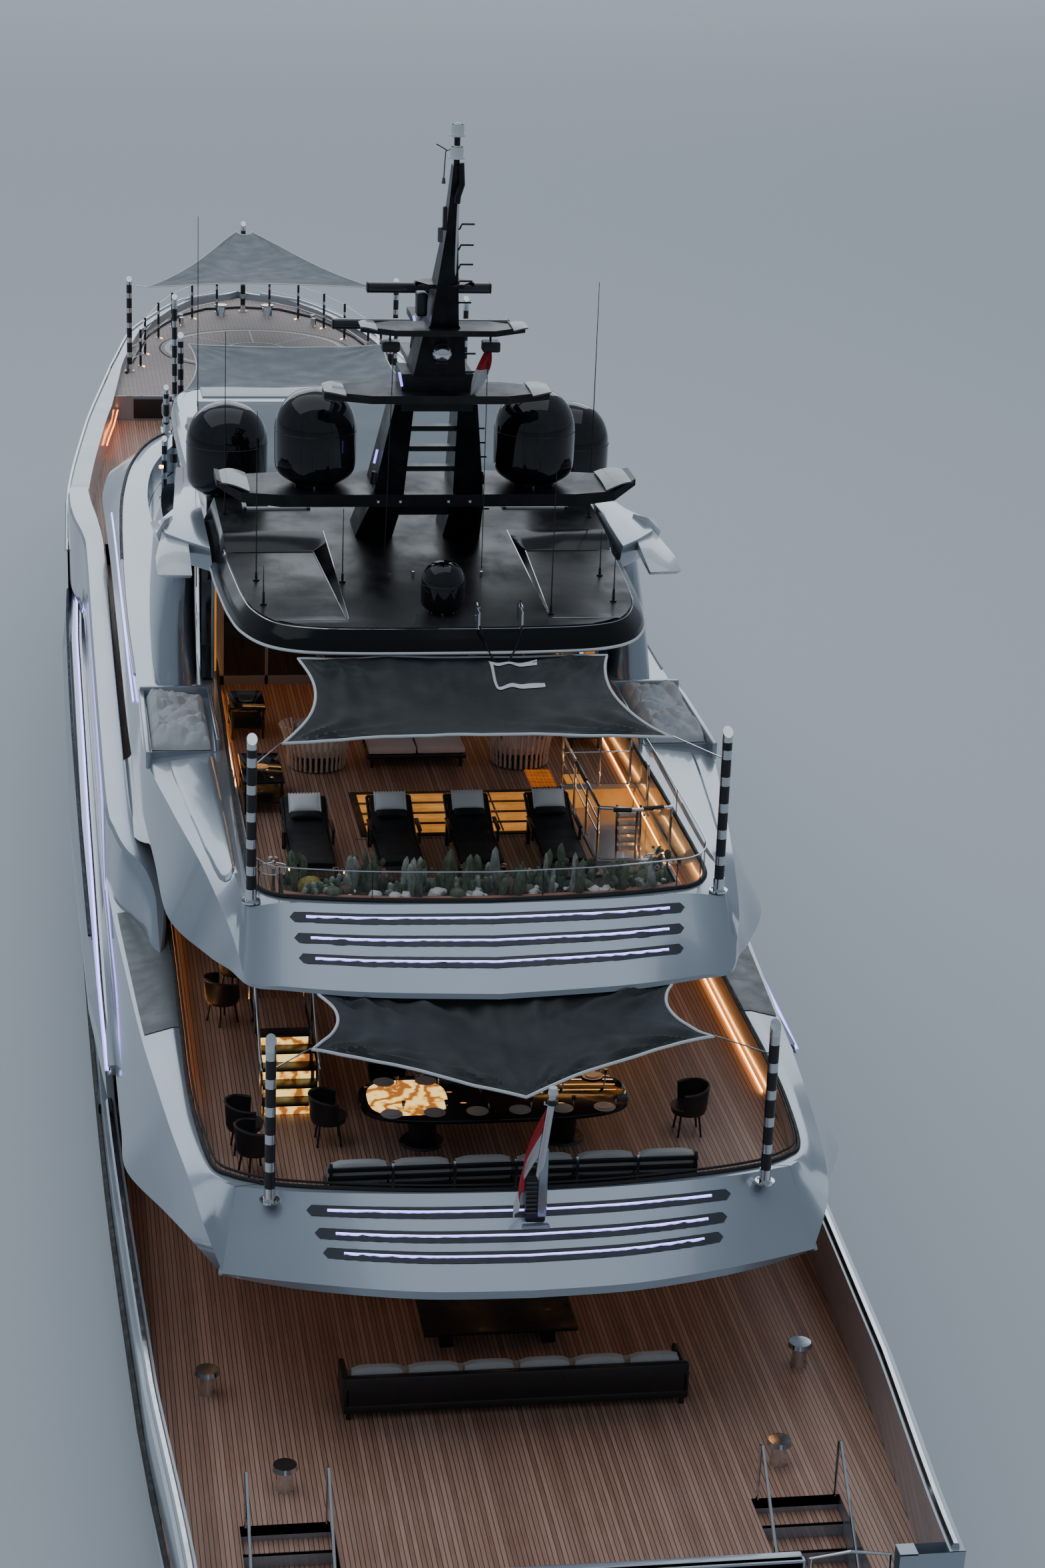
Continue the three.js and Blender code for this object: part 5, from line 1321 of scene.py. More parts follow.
# The glass balustrade and awning poles of the bridge deck
# Clear panes stand in a rubber channel round the well with a polished upper edge. The two poles are
# black tube ringed with polished bands, capped on the slant and bolted down through round feet.
clear_glass = Paint("clear_glass", (0.75, 0.9, 0.88), 0.02, Alpha=0.2).worn(3.0, 4.0, 0.02, 0.08)
facing = clear_glass.node("ShaderNodeLayerWeight", {}, {"Blend": 0.25}, "Facing")
clear_glass.set(Alpha=0.03 + 0.4 * facing * facing * facing)
GLASS_RISE = 0.5
fence = mirrored([bridge_at(k / 60 * ROWS_TO_GLASS_END / LAST_ROW, 0.2) for k in range(61)])


def pane(u, v):
    return fence[min(int(u * (len(fence) - 1) + 1e-6), len(fence) - 1)] + up(GLASS_RISE * v)


joints = [tube([fence[k] + up(0.02), fence[k] + up(0.49)], 0.008, 5) for k in range(4, len(fence) - 4, 12)]
piece("bridge_balustrade", [
    (grid(pane, len(fence) - 1, 1), clear_glass),
    (tube([p + up(GLASS_RISE) for p in fence], 0.011, 6), chrome),
    *painted(rubber, tube([p + up(0.02) for p in fence], 0.04, 6), *joints),
])
well_line = [bridge_at(k / 120 * ROWS_TO_HOUSE / LAST_ROW, 0.2) + up(0.01) for k in range(121)]
piece("bridge_gasket", [(both(tube(well_line, 0.03, 6)), rubber)])


def banded(name, foot, pitch=0.44, share=0.34):
    """Black paint with polished rings, counted up from the height of a pole's foot."""
    paint = Paint(name, (0.01, 0.01, 0.012), 0.25)
    polished = ((paint.axis("Z") * 2 - foot) % pitch) < pitch * share
    return paint.set(
        Base_Color=paint.blend(polished, (0.012, 0.012, 0.014), (0.62, 0.64, 0.66)), Metallic=polished * 0.95,
        Roughness=0.28 - 0.14 * polished + 0.08 * paint.clouds(20.0, 3.0),
    )


def bolts(x, y, z, height, reach, radius, turns):
    """Bolt heads in a circle round a foot."""
    return [post((x + math.cos(a) * reach, y + math.sin(a) * reach, z), height, radius, 6) for a in turns]


def pole(x, y, foot, height, paint, radius=0.078):
    """A tube whose top is cut on the slant and capped, on a round bolted foot."""
    cap = post((x, y, foot + height - 0.12), 0.16, radius * 1.03, 20)
    for vert in cap.verts:
        if vert.co.z > foot + height:
            vert.co.z += (vert.co.y - y) * 0.9
    return [(post((x, y, foot), height - 0.12, radius, 20), paint)] + painted(
        chrome, cap, post((x, y, foot + 0.005), 0.03, radius * 1.9, 24),
        post((x, y, foot + 0.03), 0.2, radius * 1.12, 20),
        *bolts(x, y, foot + 0.03, 0.02, radius * 1.5, 0.014, (0.8, 2.4, 3.9, 5.5)),
    )


def pole_pair(x, *rest):
    return pole(-x, *rest) + pole(x, *rest)


def stay(start, end):
    """A thin wire and its mirror image, from a pole to a cloth's corner."""
    return (both(tube([start, end], 0.012, 5)), chrome)


bridge_bands = banded("bridge_pole_paint", COAMING_TOP)
dining_bands = banded("dining_pole_paint", 6.5)
piece("bridge_awning_poles", [
    *pole_pair(3.68, 0.04, 9.43, 2.62, bridge_bands), stay((3.66, 0.12, 11.62), (3.12, 1.43, 11.54)),
], replaces=("bridge_poles",))
piece("dining_awning_poles", [
    *pole_pair(3.68, -4.1, 6.44, 2.52, dining_bands), stay((3.66, -4.02, 8.5), (3.02, -3.12, 8.4)),
], replaces=("dining_poles",))


# Awnings and sun sails
# Coated dark grey cloth cut hollow along its edges and bound with white piping, set taut between poles
# and deck edges, so that gathers run in from the laced edge and the corners.
sail_cloth = Paint("sail_cloth", (0.03, 0.034, 0.04), 0.75, Sheen_Weight=0.05).worn(4.0, 4.0, 0.5, 0.8)
sail_tone = sail_cloth.span(sail_cloth.clouds(1.3, 5.0), 0.35, 0.7)
sail_cloth.set(Base_Color=sail_cloth.blend(sail_tone, (0.018, 0.021, 0.023), (0.036, 0.041, 0.044)))
weave(sail_cloth, 0.002, 0.0003, 0.01)


def bow_of(t):
    return 4 * t * (1 - t)


def sail(fore, aft, hollow, sag, laced=False, peak=0.0, drop=0.0, folds=0.09):
    """A cloth between two starboard corners and their mirror images. The laced edge is straight, and
    the after edge may come down to a peak."""
    a, b, c, d = Vector((-fore[0], *fore[1:])), Vector(fore), Vector(aft), Vector((-aft[0], *aft[1:]))
    pulls = [(0, 0), (1, 0), (0, 1), (1, 1)] + [(0.5, 1)] * bool(peak)

    def at(u, v, over=0.0):
        straight = (v < 0.5 and laced) or (v > 0.5 and peak)
        s = u + (0.5 - u) * hollow * bow_of(v)
        t = v + (0.5 - v) * (0 if straight else hollow) * bow_of(u)
        point = a.lerp(b, s).lerp(d.lerp(c, s), t)
        draw = v * (1 - abs(2 * u - 1)) ** 1.25
        point.y -= peak * draw
        point.z -= sag * bow_of(u) * bow_of(v) + drop * draw
        gather = 0.0
        if laced:
            ripple = noise.noise(Vector((u * 19, v * 1.3, 0.5)))
            gather += math.exp(-3.2 * v) * min(1, 6 * v) * ripple * folds * 2.4
        for pull_u, pull_v in pulls:
            away = math.hypot(u - pull_u, v - pull_v)
            heading = math.atan2(v - pull_v, u - pull_u)
            ripple = math.sin(heading * 15 + pull_u * 3)
            gather += math.exp(-2.6 * away) * min(1, away * 8) * ripple * folds * 0.7
        gather += noise.noise(Vector((u * 5 + v * 2, v * 2.2, 4.0))) * folds * 0.35
        point.z += 0.015 + over + gather * min(1.0, 10 * min(u, 1 - u) + 0.25)
        return point

    return at


def round_edge(at, wide, long):
    """Points round a cloth's border, so many along its width and its length."""
    return (
        [at(k / wide, 0) for k in range(wide)] + [at(1, k / long) for k in range(long)]
        + [at(1 - k / wide, 1) for k in range(wide)] + [at(0, 1 - k / long) for k in range(long)]
    )


def tape(at, start, end, wide):
    """A strip of binding sewn on a cloth between two places given by their shares of it."""
    (u0, v0), (u1, v1) = start, end
    lengthwise = abs(u1 - u0) > abs(v1 - v0)

    def place(p, q):
        across_u, across_v = (0, (q - 0.5) * wide) if lengthwise else ((q - 0.5) * wide * 0.5, 0)
        return at(u0 + (u1 - u0) * p + across_u, v0 + (v1 - v0) * p + across_v, 0.015)

    return grid(place, 20, 1)


def awning(name, replaced, corners, flat, area, hangs_from, tapes=(), **cut):
    """A dark awning with its piping and any tapes."""
    at = sail(*corners, laced=True, **cut)
    cloth = piece(name, [(grid(at, 96, 56), sail_cloth)], replaces=(replaced,))
    bindings = [tube(round_edge(at, 60, 40), 0.024, 6, True), *(tape(at, *row) for row in tapes)]
    bound = piece(name + "_piping", painted(piping_white, *bindings))


FLAP_TAPES = [
    # start and end as shares of the cloth's width and length, width
    ((0.62, 0.08), (0.77, 0.08), 0.04), ((0.615, 0.06), (0.63, 0.3), 0.022),
    ((0.63, 0.29), (0.79, 0.29), 0.04),
]
awning(
    "bridge_awning_cloth", "bridge_awning", ((2.6, 4.6, 11.87), (3.1, 1.45, 11.5)), (3.1, 1.62), 3.9,
    ["bridge_awning_poles", "hardtop_shell"], FLAP_TAPES, hollow=0.14, sag=0.2,
)
awning(
    "dining_awning_cloth", "dining_awning", ((2.75, -1.2, 8.39), (3.0, -3.1, 8.36)), (3.0, 1.6), 3.0,
    ["dining_awning_poles", "bridge_deck_plating"], hollow=0.12, sag=0.15, peak=1.2, drop=0.3,
)


# Sun deck furniture
# Four black sling loungers stand over a skylight of amber glass slots. Each has a roll and a white
# pillow with a fringe. Behind them are low black tables, a pink-beige sofa, and two round slatted chairs.
amber = Paint("amber", (0.5, 0.2, 0.03), 0.12)
amber_tone = amber.blend(amber.span(amber.clouds(2.2, 4.0), 0.3, 0.72), (0.45, 0.15, 0.02), (0.9, 0.38, 0.08))
amber.set(Base_Color=amber_tone, Emission_Color=amber_tone, Emission_Strength=0.6)
skylight = [
    (box(-1.62, 1.92, 4.22, 6.55, BRIDGE + 0.002, BRIDGE + 0.012), teak),
    (box(-1.52, 1.82, 4.3, 6.45, BRIDGE + 0.01, BRIDGE + 0.03, 0.005), satin_black),
]
for y in (4.42, 4.92, 5.42, 5.92):
    bars = [box(x, x + 0.03, y, y + 0.36, BRIDGE + 0.03, BRIDGE + 0.05) for x in (-0.65, 0.12, 0.9)]
    skylight.append((box(-1.4, 1.7, y, y + 0.36, BRIDGE + 0.02, BRIDGE + 0.042, 0.004), amber))
    skylight += painted(satin_black, *bars)
piece("skylight", skylight)

sling = weave(Paint("sling", (0.006, 0.006, 0.007), 0.75).worn(6.0, 4.0, 0.55, 0.8), 0.003, 0.0006, 0.003)
pillow_white = Paint("pillow_white", (0.85, 0.84, 0.82), 0.9, Sheen_Weight=0.3)
weave(pillow_white.mottled(9.0, 4.0, (0.86, 0.85, 0.84), (0.97, 0.96, 0.95)), 0.004, 0.0012)
SLING_LINE = ruled([(2.2, 0.32), (2.3, 0.34), (3.5, 0.36), (3.62, 0.38), (4.4, 0.72)])
PILLOW = [(-0.245, -0.165), (0.245, -0.165), (0.245, 0.165), (-0.245, 0.165), (-0.245, -0.165)]


def sling_height(y):
    return BRIDGE + SLING_LINE(y)[0]


def lounger_side(x, side):
    """The rail, legs, arm and foot stop along one side of a lounger."""
    out, arm, stop = x + side * 0.36, x + side * 0.4, x + side * 0.33
    rail = tube([(out, y, sling_height(y) - 0.03) for y in (2.18, 2.9, 3.5, 3.62, 4.0, 4.42)], 0.028, 6)
    return painted(
        satin_black, rail, box(out - 0.03, out + 0.03, 2.24, 2.32, BRIDGE, BRIDGE + 0.3),
        box(out - 0.03, out + 0.03, 3.86, 3.94, BRIDGE, BRIDGE + 0.4),
        box(arm - 0.035, arm + 0.035, 3.2, 3.75, BRIDGE + 0.52, BRIDGE + 0.56, 0.012),
        box(arm - 0.02, arm + 0.02, 3.22, 3.28, BRIDGE + 0.3, BRIDGE + 0.53),
    ) + [(box(stop - 0.05, stop + 0.05, 2.12, 2.2, BRIDGE + 0.28, BRIDGE + 0.33, 0.01), chrome)]


def sling_pad(x):
    """The stretched sling: a thin slab, crowned between its rails and drawn in at its seams."""
    pad = bmesh.new()
    bmesh.ops.create_grid(pad, x_segments=10, y_segments=36, size=0.5)
    raised = bmesh.ops.extrude_face_region(pad, geom=pad.faces[:])["geom"]
    for vert in (part for part in raised if isinstance(part, bmesh.types.BMVert)):
        vert.co.z = 1
    for vert in pad.verts:
        u, v, w = vert.co.x + 0.5, vert.co.y + 0.5, vert.co.z
        y = 2.24 + 2.12 * v
        crown = 0.035 * bow_of(u) ** 0.5 * w * (1 - 0.5 * abs(math.sin(v * 12.6)) ** 12)
        vert.co = Vector((x + (u - 0.5) * 0.66, y, sling_height(y) - 0.04 + 0.06 * w + crown))
    bmesh.ops.recalc_face_normals(pad, faces=pad.faces)
    return pad


def placed(mesh, matrix):
    bmesh.ops.transform(mesh, matrix=matrix, verts=mesh.verts)
    return mesh


def pebble(radius, fineness, matrix):
    """A small ball, moved or stretched by a matrix."""
    mesh = bmesh.new()
    bmesh.ops.create_icosphere(mesh, subdivisions=fineness, radius=radius)
    return placed(mesh, matrix)


lounger_frames, lounger_pads, pillows, fringes = [], [], [], []
for x in (-2.5, -1.07, 0.24, 1.62):
    ends = ((4.42, BRIDGE + 0.7), (2.18, BRIDGE + 0.29))
    lounger_frames += lounger_side(x, -1) + lounger_side(x, 1)
    lounger_frames += painted(
        satin_black, *(tube([(x - 0.36, y, z), (x + 0.36, y, z)], 0.028, 6) for y, z in ends),
    )
    pose = Matrix.Translation((x, 4.12, BRIDGE + 0.72)) @ Matrix.Rotation(0.7, 4, "X")
    roll_pose = Matrix.Translation((x, 3.86, BRIDGE + 0.6)) @ Matrix.Rotation(0.435, 4, "X")
    roll = placed(cushion(-0.26, 0.26, -0.08, 0.08, -0.06, 0.06, 0.8), roll_pose)
    lounger_pads += painted(sling, sling_pad(x), roll)
    pillows.append((placed(cushion(-0.25, 0.25, -0.17, 0.17, -0.075, 0.075, 0.75), pose), pillow_white))
    for k in range(40):
        leg, share = divmod(k, 10)
        spot = Vector(PILLOW[leg]).lerp(Vector(PILLOW[leg + 1]), share / 10)
        tuft = pebble(0.022, 1, pose @ Matrix.Translation((spot.x * 1.03, spot.y * 1.04, 0)))
        fringes.append((tuft, pillow_white))
piece("lounger_frames", lounger_frames, replaces=("sun_loungers",))
piece("lounger_slings", lounger_pads)
piece("lounger_pillows", pillows)
piece("pillow_fringes", fringes)

blush = Paint("blush_cloth", (0.8, 0.64, 0.58), 0.85, Sheen_Weight=0.3)
weave(blush.mottled(7.0, 4.0, (0.76, 0.6, 0.54), (0.92, 0.78, 0.72)), 0.002, 0.0006)
slat_wood = Paint("slat_wood", (0.3, 0.2, 0.14), 0.5)
slat_grain = slat_wood.clouds(30.0, 5.0, (2, 2, 0.15))
slat_tone = slat_wood.ramp(slat_grain, (0.3, (0.5, 0.36, 0.28)), (0.7, (0.8, 0.64, 0.54)))
slat_wood.set(Base_Color=slat_tone, Roughness=0.4 + 0.25 * slat_grain)
CHAIR_Y, CHAIR_REACH, SLATS = 7.98, 0.46, 26
sofa = painted(
    satin_black, box(-1.07, 0.73, 7.72, 8.58, BRIDGE + 0.17, BRIDGE + 0.25, 0.02),
    *legs((-1.0, 0.6), (7.76, 8.46), BRIDGE, BRIDGE + 0.2, 0.06),
    box(-1.07, 0.73, 8.46, 8.58, BRIDGE + 0.2, BRIDGE + 0.74, 0.03),
)
sofa_pads = [cushion(x, x + 0.88, 7.71, 8.46, BRIDGE + 0.22, BRIDGE + 0.44) for x in (-1.05, -0.17)]
sofa_pads += [cushion(x, x + 0.88, 8.28, 8.5, BRIDGE + 0.42, BRIDGE + 0.84, 0.35) for x in (-1.05, -0.17)]


def around(x, degrees, reach, height):
    """A place round a chair's middle, turned so far from straight ahead."""
    turn = math.radians(degrees)
    return Vector((x + reach * math.sin(turn), CHAIR_Y + reach * math.cos(turn), BRIDGE + height))


def round_seat(x):
    """A puffed square cushion drawn in to a circle."""
    seat = cushion(-0.48, 0.48, -0.48, 0.48, -0.11, 0.11, 0.5)
    for vert in seat.verts:
        reach = math.hypot(vert.co.x, vert.co.y)
        if reach > CHAIR_REACH:
            vert.co.x *= CHAIR_REACH / reach
            vert.co.y *= CHAIR_REACH / reach
        vert.co += Vector((x, CHAIR_Y, BRIDGE + 0.33))
    return seat


for x in (-1.95, 1.73):
    def outer_pad(u, v, x=x):
        return around(x, -100 + 200 * u, 0.44, 0.36 + 0.4 * v)

    def inner_pad(u, v, x=x):
        return around(x, -100 + 200 * u, 0.3 + 0.06 * v, 0.36 + 0.4 * v)

    dish = post((x, CHAIR_Y, BRIDGE + 0.16), 0.06, 0.5, 28, 0.52)
    sofa += painted(satin_black, dish, post((x, CHAIR_Y, BRIDGE), 0.17, 0.34, 24, 0.3))
    for k in range(SLATS):
        tall = 0.86 - 0.16 * abs(2 * k / (SLATS - 1) - 1)
        turn = 320 - 280 * k / (SLATS - 1)
        slat = [around(x, turn, 0.5 + 0.16 * (s / 6) ** 2.2, 0.03 + tall * s / 6) for s in range(7)]
        sofa.append((tube(slat, 0.026, 6), slat_wood))
    sofa_pads += [round_seat(x), grid(outer_pad, 20, 6), grid(inner_pad, 20, 6)]
piece("lounge_frames", sofa, replaces=("bridge_sofa",))
piece("lounge_cushions", painted(blush, *sofa_pads))

tables = []
for x0, x1, y0, y1 in ((-3.42, -2.72, 5.5, 6.95), (-3.4, -2.75, 9.4, 10.4), (2.75, 3.35, 8.6, 9.6)):
    middle = ((x0 + x1) / 2, (y0 + y1) / 2, BRIDGE + 0.61)
    tables += [(box(x0, x1, y0, y1, BRIDGE + 0.55, BRIDGE + 0.61, 0.012), gloss_black)] + painted(
        satin_black, box(x0 + 0.03, x1 - 0.03, y0 + 0.04, y1 - 0.04, BRIDGE + 0.18, BRIDGE + 0.21),
        *legs((x0 + 0.02, x1 - 0.07), (y0 + 0.02, y1 - 0.07), BRIDGE, BRIDGE + 0.56, 0.05),
    ) + [(post(middle, 0.14, 0.13, 20, 0.17), clear_glass), (post(middle, 0.012, 0.13, 20), chrome)]
piece("side_tables", tables)


# The cactus bed
# A raised black trough follows the deck's after edge. It has a terracotta lip between black dividers,
# white stones, and lamps on short stems among the plants, with a small glass table near each end.
terracotta = Paint("terracotta", (0.33, 0.13, 0.08), 0.7).mottled(
    5.0, 5.0, (0.26, 0.10, 0.06), (0.42, 0.18, 0.11),
)
terracotta.set(Roughness=0.55 + 0.25 * terracotta.clouds(30.0)).bump(terracotta.clouds(60.0), 0.001, 0.4)
soil = Paint("soil", (0.035, 0.028, 0.022), 0.95)
soil_tone = soil.ramp(soil.clouds(30.0, 6.0), (0.3, (0.015, 0.012, 0.01)), (0.7, (0.09, 0.075, 0.06)))
soil.set(Base_Color=soil_tone).bump(soil.clouds(60.0, 6.0), 0.006, 0.8)
bed_line = looked_up([(0, -0.14), (1.8, -0.03), (2.9, 0.16), (3.2, 0.3)])
BED_HALF, BED_FOOT, BED_TOP = 3.15, 8.8, 9.4


def bed_edge(x):
    """Where the bed's after edge lies along the ship, at a distance from the centreline."""
    return bed_line(abs(x))[0]


def bed_strip(along, across, start, end):
    """A strip that follows the bed between two lines, each so far ahead of its edge and so high."""
    (y0, z0), (y1, z1) = start, end

    def at(u, v):
        x = (2 * u - 1) * BED_HALF
        return Vector((x, bed_edge(x) + y0 + (y1 - y0) * v, z0 + (z1 - z0) * v))

    return grid(at, along, across)


trough = [
    (bed_strip(90, 14, (0.17, BED_TOP - 0.05), (0.92, BED_TOP - 0.05)), soil),
    (bed_strip(60, 1, (0.04, BED_TOP + 0.03), (0.22, BED_TOP + 0.03)), terracotta),
    (bed_strip(60, 1, (0.06, BED_FOOT), (0.06, BED_TOP)), terracotta),
] + painted(
    satin_black, bed_strip(60, 1, (0.19, BED_TOP - 0.08), (0.19, BED_TOP)),
    bed_strip(60, 2, (0.92, BED_FOOT), (0.92, BED_TOP)), bed_strip(60, 1, (0.92, BED_TOP), (0.97, BED_TOP)),
)
for x in (-3.15, -1.62, -0.2, -0.08, 1.3, 2.2, 3.1):
    y = bed_edge(x)
    trough.append((box(x, x + 0.05, y + 0.05, y + 0.97, BED_FOOT, BED_TOP + 0.012), satin_black))
piece("planter_trough", trough, replaces=("planter",))


def cactus_skin(name, low, high):
    skin = Paint(name, low, 0.7)
    tone = skin.ramp(skin.clouds(34.0, 5.0, (1, 1, 0.5)), (0.3, low), (0.75, high))
    skin.set(Base_Color=tone, Roughness=0.55 + 0.3 * skin.clouds(60.0))
    return skin.bump(skin.clouds(150.0, 4.0), 0.003, 0.8)


def ribbed(x, y, z, radius, height, ribs, lean=0.0, round_top=0.35):
    """A ribbed column or ball with a domed top."""

    def at(u, v):
        turn = 2 * math.pi * u
        rib = 0.94 + 0.13 * abs(math.sin(turn * ribs / 2))
        dome = min(1.0, (1 - v) / round_top)
        reach = radius * rib * math.sqrt(max(0.0, 1 - (1 - dome) ** 2)) * min(1.0, 0.7 + v * 2)
        sway = lean * v * height + 0.03 * noise.noise(Vector((x * 5, y * 5, v * 3)))
        return Vector((x + math.cos(turn) * reach + sway, y + math.sin(turn) * reach, z + height * v))

    return grid(at, ribs * 3, 10)


def paddle(x, y, z, size, turn, tilt):
    """A flat oval leaf."""
    pose = Matrix.Translation((x, y, z)) @ Matrix.Rotation(turn, 4, "Z") @ Matrix.Rotation(tilt, 4, "Y")
    return pebble(1, 2, pose @ Matrix.Diagonal((size * 0.7, size * 0.22, size, 1)))


def near(x, y, across, along):
    return x + random.uniform(-across, across), y + random.uniform(-along, along)


green = cactus_skin("cactus_green", (0.05, 0.068, 0.04), (0.17, 0.2, 0.12))
grey = cactus_skin("cactus_grey", (0.16, 0.18, 0.15), (0.42, 0.44, 0.38))
gold = cactus_skin("cactus_gold", (0.16, 0.13, 0.02), (0.42, 0.33, 0.05))
brown = cactus_skin("cactus_brown", (0.05, 0.03, 0.02), (0.16, 0.10, 0.07))
plants = []
for k in range(58):
    x = -3.0 + 6.0 * (k + random.uniform(-0.35, 0.35)) / 57
    y = bed_edge(x) + random.choice((0.27, 0.42, 0.6, 0.78))
    kind = random.random()
    if kind < 0.42:
        stems = random.randint(1, 5)
        skin = random.choice((green, grey, grey, green))
        for _ in range(stems):
            spot = (*near(x, y, 0.09, 0.08), BED_TOP - 0.08)
            size = (random.uniform(0.035, 0.07), random.uniform(0.3, 0.78))
            plants.append((ribbed(*spot, *size, 7, random.uniform(-0.12, 0.12)), skin))
    elif kind < 0.62:
        for _ in range(9):
            spot = (*near(x, y, 0.13, 0.1), BED_TOP - 0.08)
            size = (random.uniform(0.035, 0.06), random.uniform(0.16, 0.32))
            plants.append((ribbed(*spot, *size, 6), random.choice((green, grey))))
    elif kind < 0.8:
        for n in range(7):
            spot = (*near(x, y, 0.1, 0.08), BED_TOP - 0.02 + 0.07 * n)
            size = random.uniform(0.06, 0.1)
            plants.append((paddle(*spot, size, random.uniform(0, 3), random.uniform(-0.6, 0.6)), green))
    else:
        size = (random.uniform(0.11, 0.15), random.uniform(0.2, 0.28))
        plants.append((ribbed(x, y, BED_TOP - 0.1, *size, 12, 0, 0.6), random.choice((green, brown))))
for x, skin, radius in ((-2.72, gold, 0.2), (0.42, brown, 0.23), (2.62, green, 0.2)):
    plants.append((ribbed(x, bed_edge(x) + 0.42, BED_TOP - 0.12, radius, radius * 1.75, 16, 0, 0.6), skin))
piece("cacti", plants)

marble_white = Paint("marble_white", (0.66, 0.62, 0.6), 0.6)
marble_white.mottled(
    14.0, 5.0, (0.5, 0.44, 0.42), (0.82, 0.8, 0.78),
).bump(marble_white.clouds(40.0), 0.004, 0.6)
stones = []
for k in range(60):
    x = random.uniform(-3.0, 3.0)
    rock = pebble(random.choice((0.05, 0.06, 0.08, 0.12)), 2, Matrix())
    spot = Vector((x, bed_edge(x) + random.Random(k).uniform(0.24, 0.6), BED_TOP - 0.01))
    for vert in rock.verts:
        vert.co *= 1 + 0.35 * noise.noise(vert.co * 12 + Vector((k * 3.1, 0, 0)))
        vert.co.z *= 0.75
        vert.co += spot
    stones.append((rock, marble_white))
piece("planter_stones", stones)

lamps_and_tables = []
for x in (-2.15, -3.0, 2.3):
    y = bed_edge(x) + 0.7
    lamps_and_tables += [
        (tube([(x, y, 9.3), (x, y, 9.62)], 0.01, 6), satin_black), (post((x, y, 9.6), 0.05, 0.035, 12), warm),
        (post((x, y, 9.65), 0.02, 0.06, 14, 0.03), satin_black),
    ]
for x, y in ((-3.22, 1.5), (3.0, 1.55)):
    rim = [(x + 0.26 * math.cos(a / 4), y + 0.26 * math.sin(a / 4), 9.39) for a in range(25)]
    lamps_and_tables += [
        (post((x, y, 9.38), 0.02, 0.26, 28), clear_glass), (tube(rim, 0.012, 5), chrome),
        (post((x, y, BRIDGE), 0.58, 0.03, 10), chrome),
        (post((x, y, BRIDGE), 0.03, 0.18, 24, 0.16), satin_black),
        (post((x, y, 9.4), 0.12, 0.06, 14, 0.075), clear_glass),
    ]
    for n in range(14):
        spot = (*near(x, y, 0.07, 0.07), 9.54 + random.uniform(-0.03, 0.05))
        bloom = pebble(0.03, 1, Matrix.Translation(spot))
        lamps_and_tables.append((bloom, terracotta if n % 3 else piping_white))
piece("planter_lamps_and_tables", lamps_and_tables)


# The stair hatch
# An opening in the deck with chrome rails on posts, lacquered handrails, lit amber panels round the
# well and a strip light under the ledge. The steps inside are black with lit edges.
RAIL_IN, RAIL_OUT, RAIL_AFT = HATCH_IN - 0.02, 3.5, HATCH_AFT + 0.1
hatch_parts = []
for x, y in (
    (RAIL_IN, RAIL_AFT), (RAIL_IN, 4.1), (RAIL_IN, 5.3), (RAIL_IN, HATCH_FORE), (2.95, HATCH_FORE),
    (RAIL_OUT, HATCH_FORE), (RAIL_OUT, 5.0), (RAIL_OUT, RAIL_AFT), (2.9, HATCH_AFT - 0.05),
):
    foot = (x, y, BRIDGE + 0.03)
    hatch_parts += painted(chrome, post(foot, 0.95, 0.024, 10), post(foot, 0.03, 0.055, 12))
for paint, radius, z, *path in (
    # paint, radius, height, places along the rail
    (chrome, 0.03, 9.75, (RAIL_IN, 4.1), (RAIL_IN, HATCH_FORE), (RAIL_OUT, HATCH_FORE)),
    (chrome, 0.034, 9.76, (RAIL_IN, 4.1), (RAIL_IN, RAIL_AFT), (2.9, 2.85), (RAIL_OUT, 2.95)),
    (satin_black, 0.042, 9.76, (2.5, 2.88), (2.8, 2.85)),
    (satin_black, 0.042, 9.76, (RAIL_IN, 4.3), (RAIL_IN, 5.2)),
    (satin_black, 0.042, 9.77, (3.0, 2.87), (3.35, 2.93)),
    (chrome, 0.014, 9.3, (RAIL_IN, RAIL_AFT), (RAIL_IN, HATCH_FORE)),
    (chrome, 0.014, 9.52, (RAIL_IN, RAIL_AFT), (RAIL_IN, HATCH_FORE)),
    (chrome, 0.014, 9.45, (HATCH_IN, HATCH_FORE), (RAIL_OUT, HATCH_FORE)),
):
    hatch_parts.append((tube([(x, y, z) for x, y in path], radius, 8), paint))
for k in range(6):
    y, z = 3.1 + 0.52 * k, 8.5 - 0.34 * k
    hatch_parts += [
        (box(HATCH_IN + 0.05, HATCH_OUT - 0.05, y, y + 0.4, z, z + 0.05, 0.01), satin_black),
        (box(HATCH_IN + 0.05, HATCH_OUT - 0.05, y - 0.015, y, z - 0.02, z + 0.03), warm),
    ]
for lit_aft, lit_fore, aft, fore, paint in (
    # the lit panel on the well's wall, and the panel in the deck with its paint
    (3.0, 4.1, 6.6, 7.5, amber), (4.2, 5.3, 6.5, 7.6, teak), (5.4, 6.5, 7.7, 8.8, teak),
):
    hatch_parts += [
        (box(HATCH_OUT - 0.02, HATCH_OUT - 0.005, lit_aft, lit_fore, 8.0, 8.72), amber),
        (box(HATCH_IN - 0.55, HATCH_IN - 0.1, aft, fore, BRIDGE + 0.004, BRIDGE + 0.012), paint),
    ]
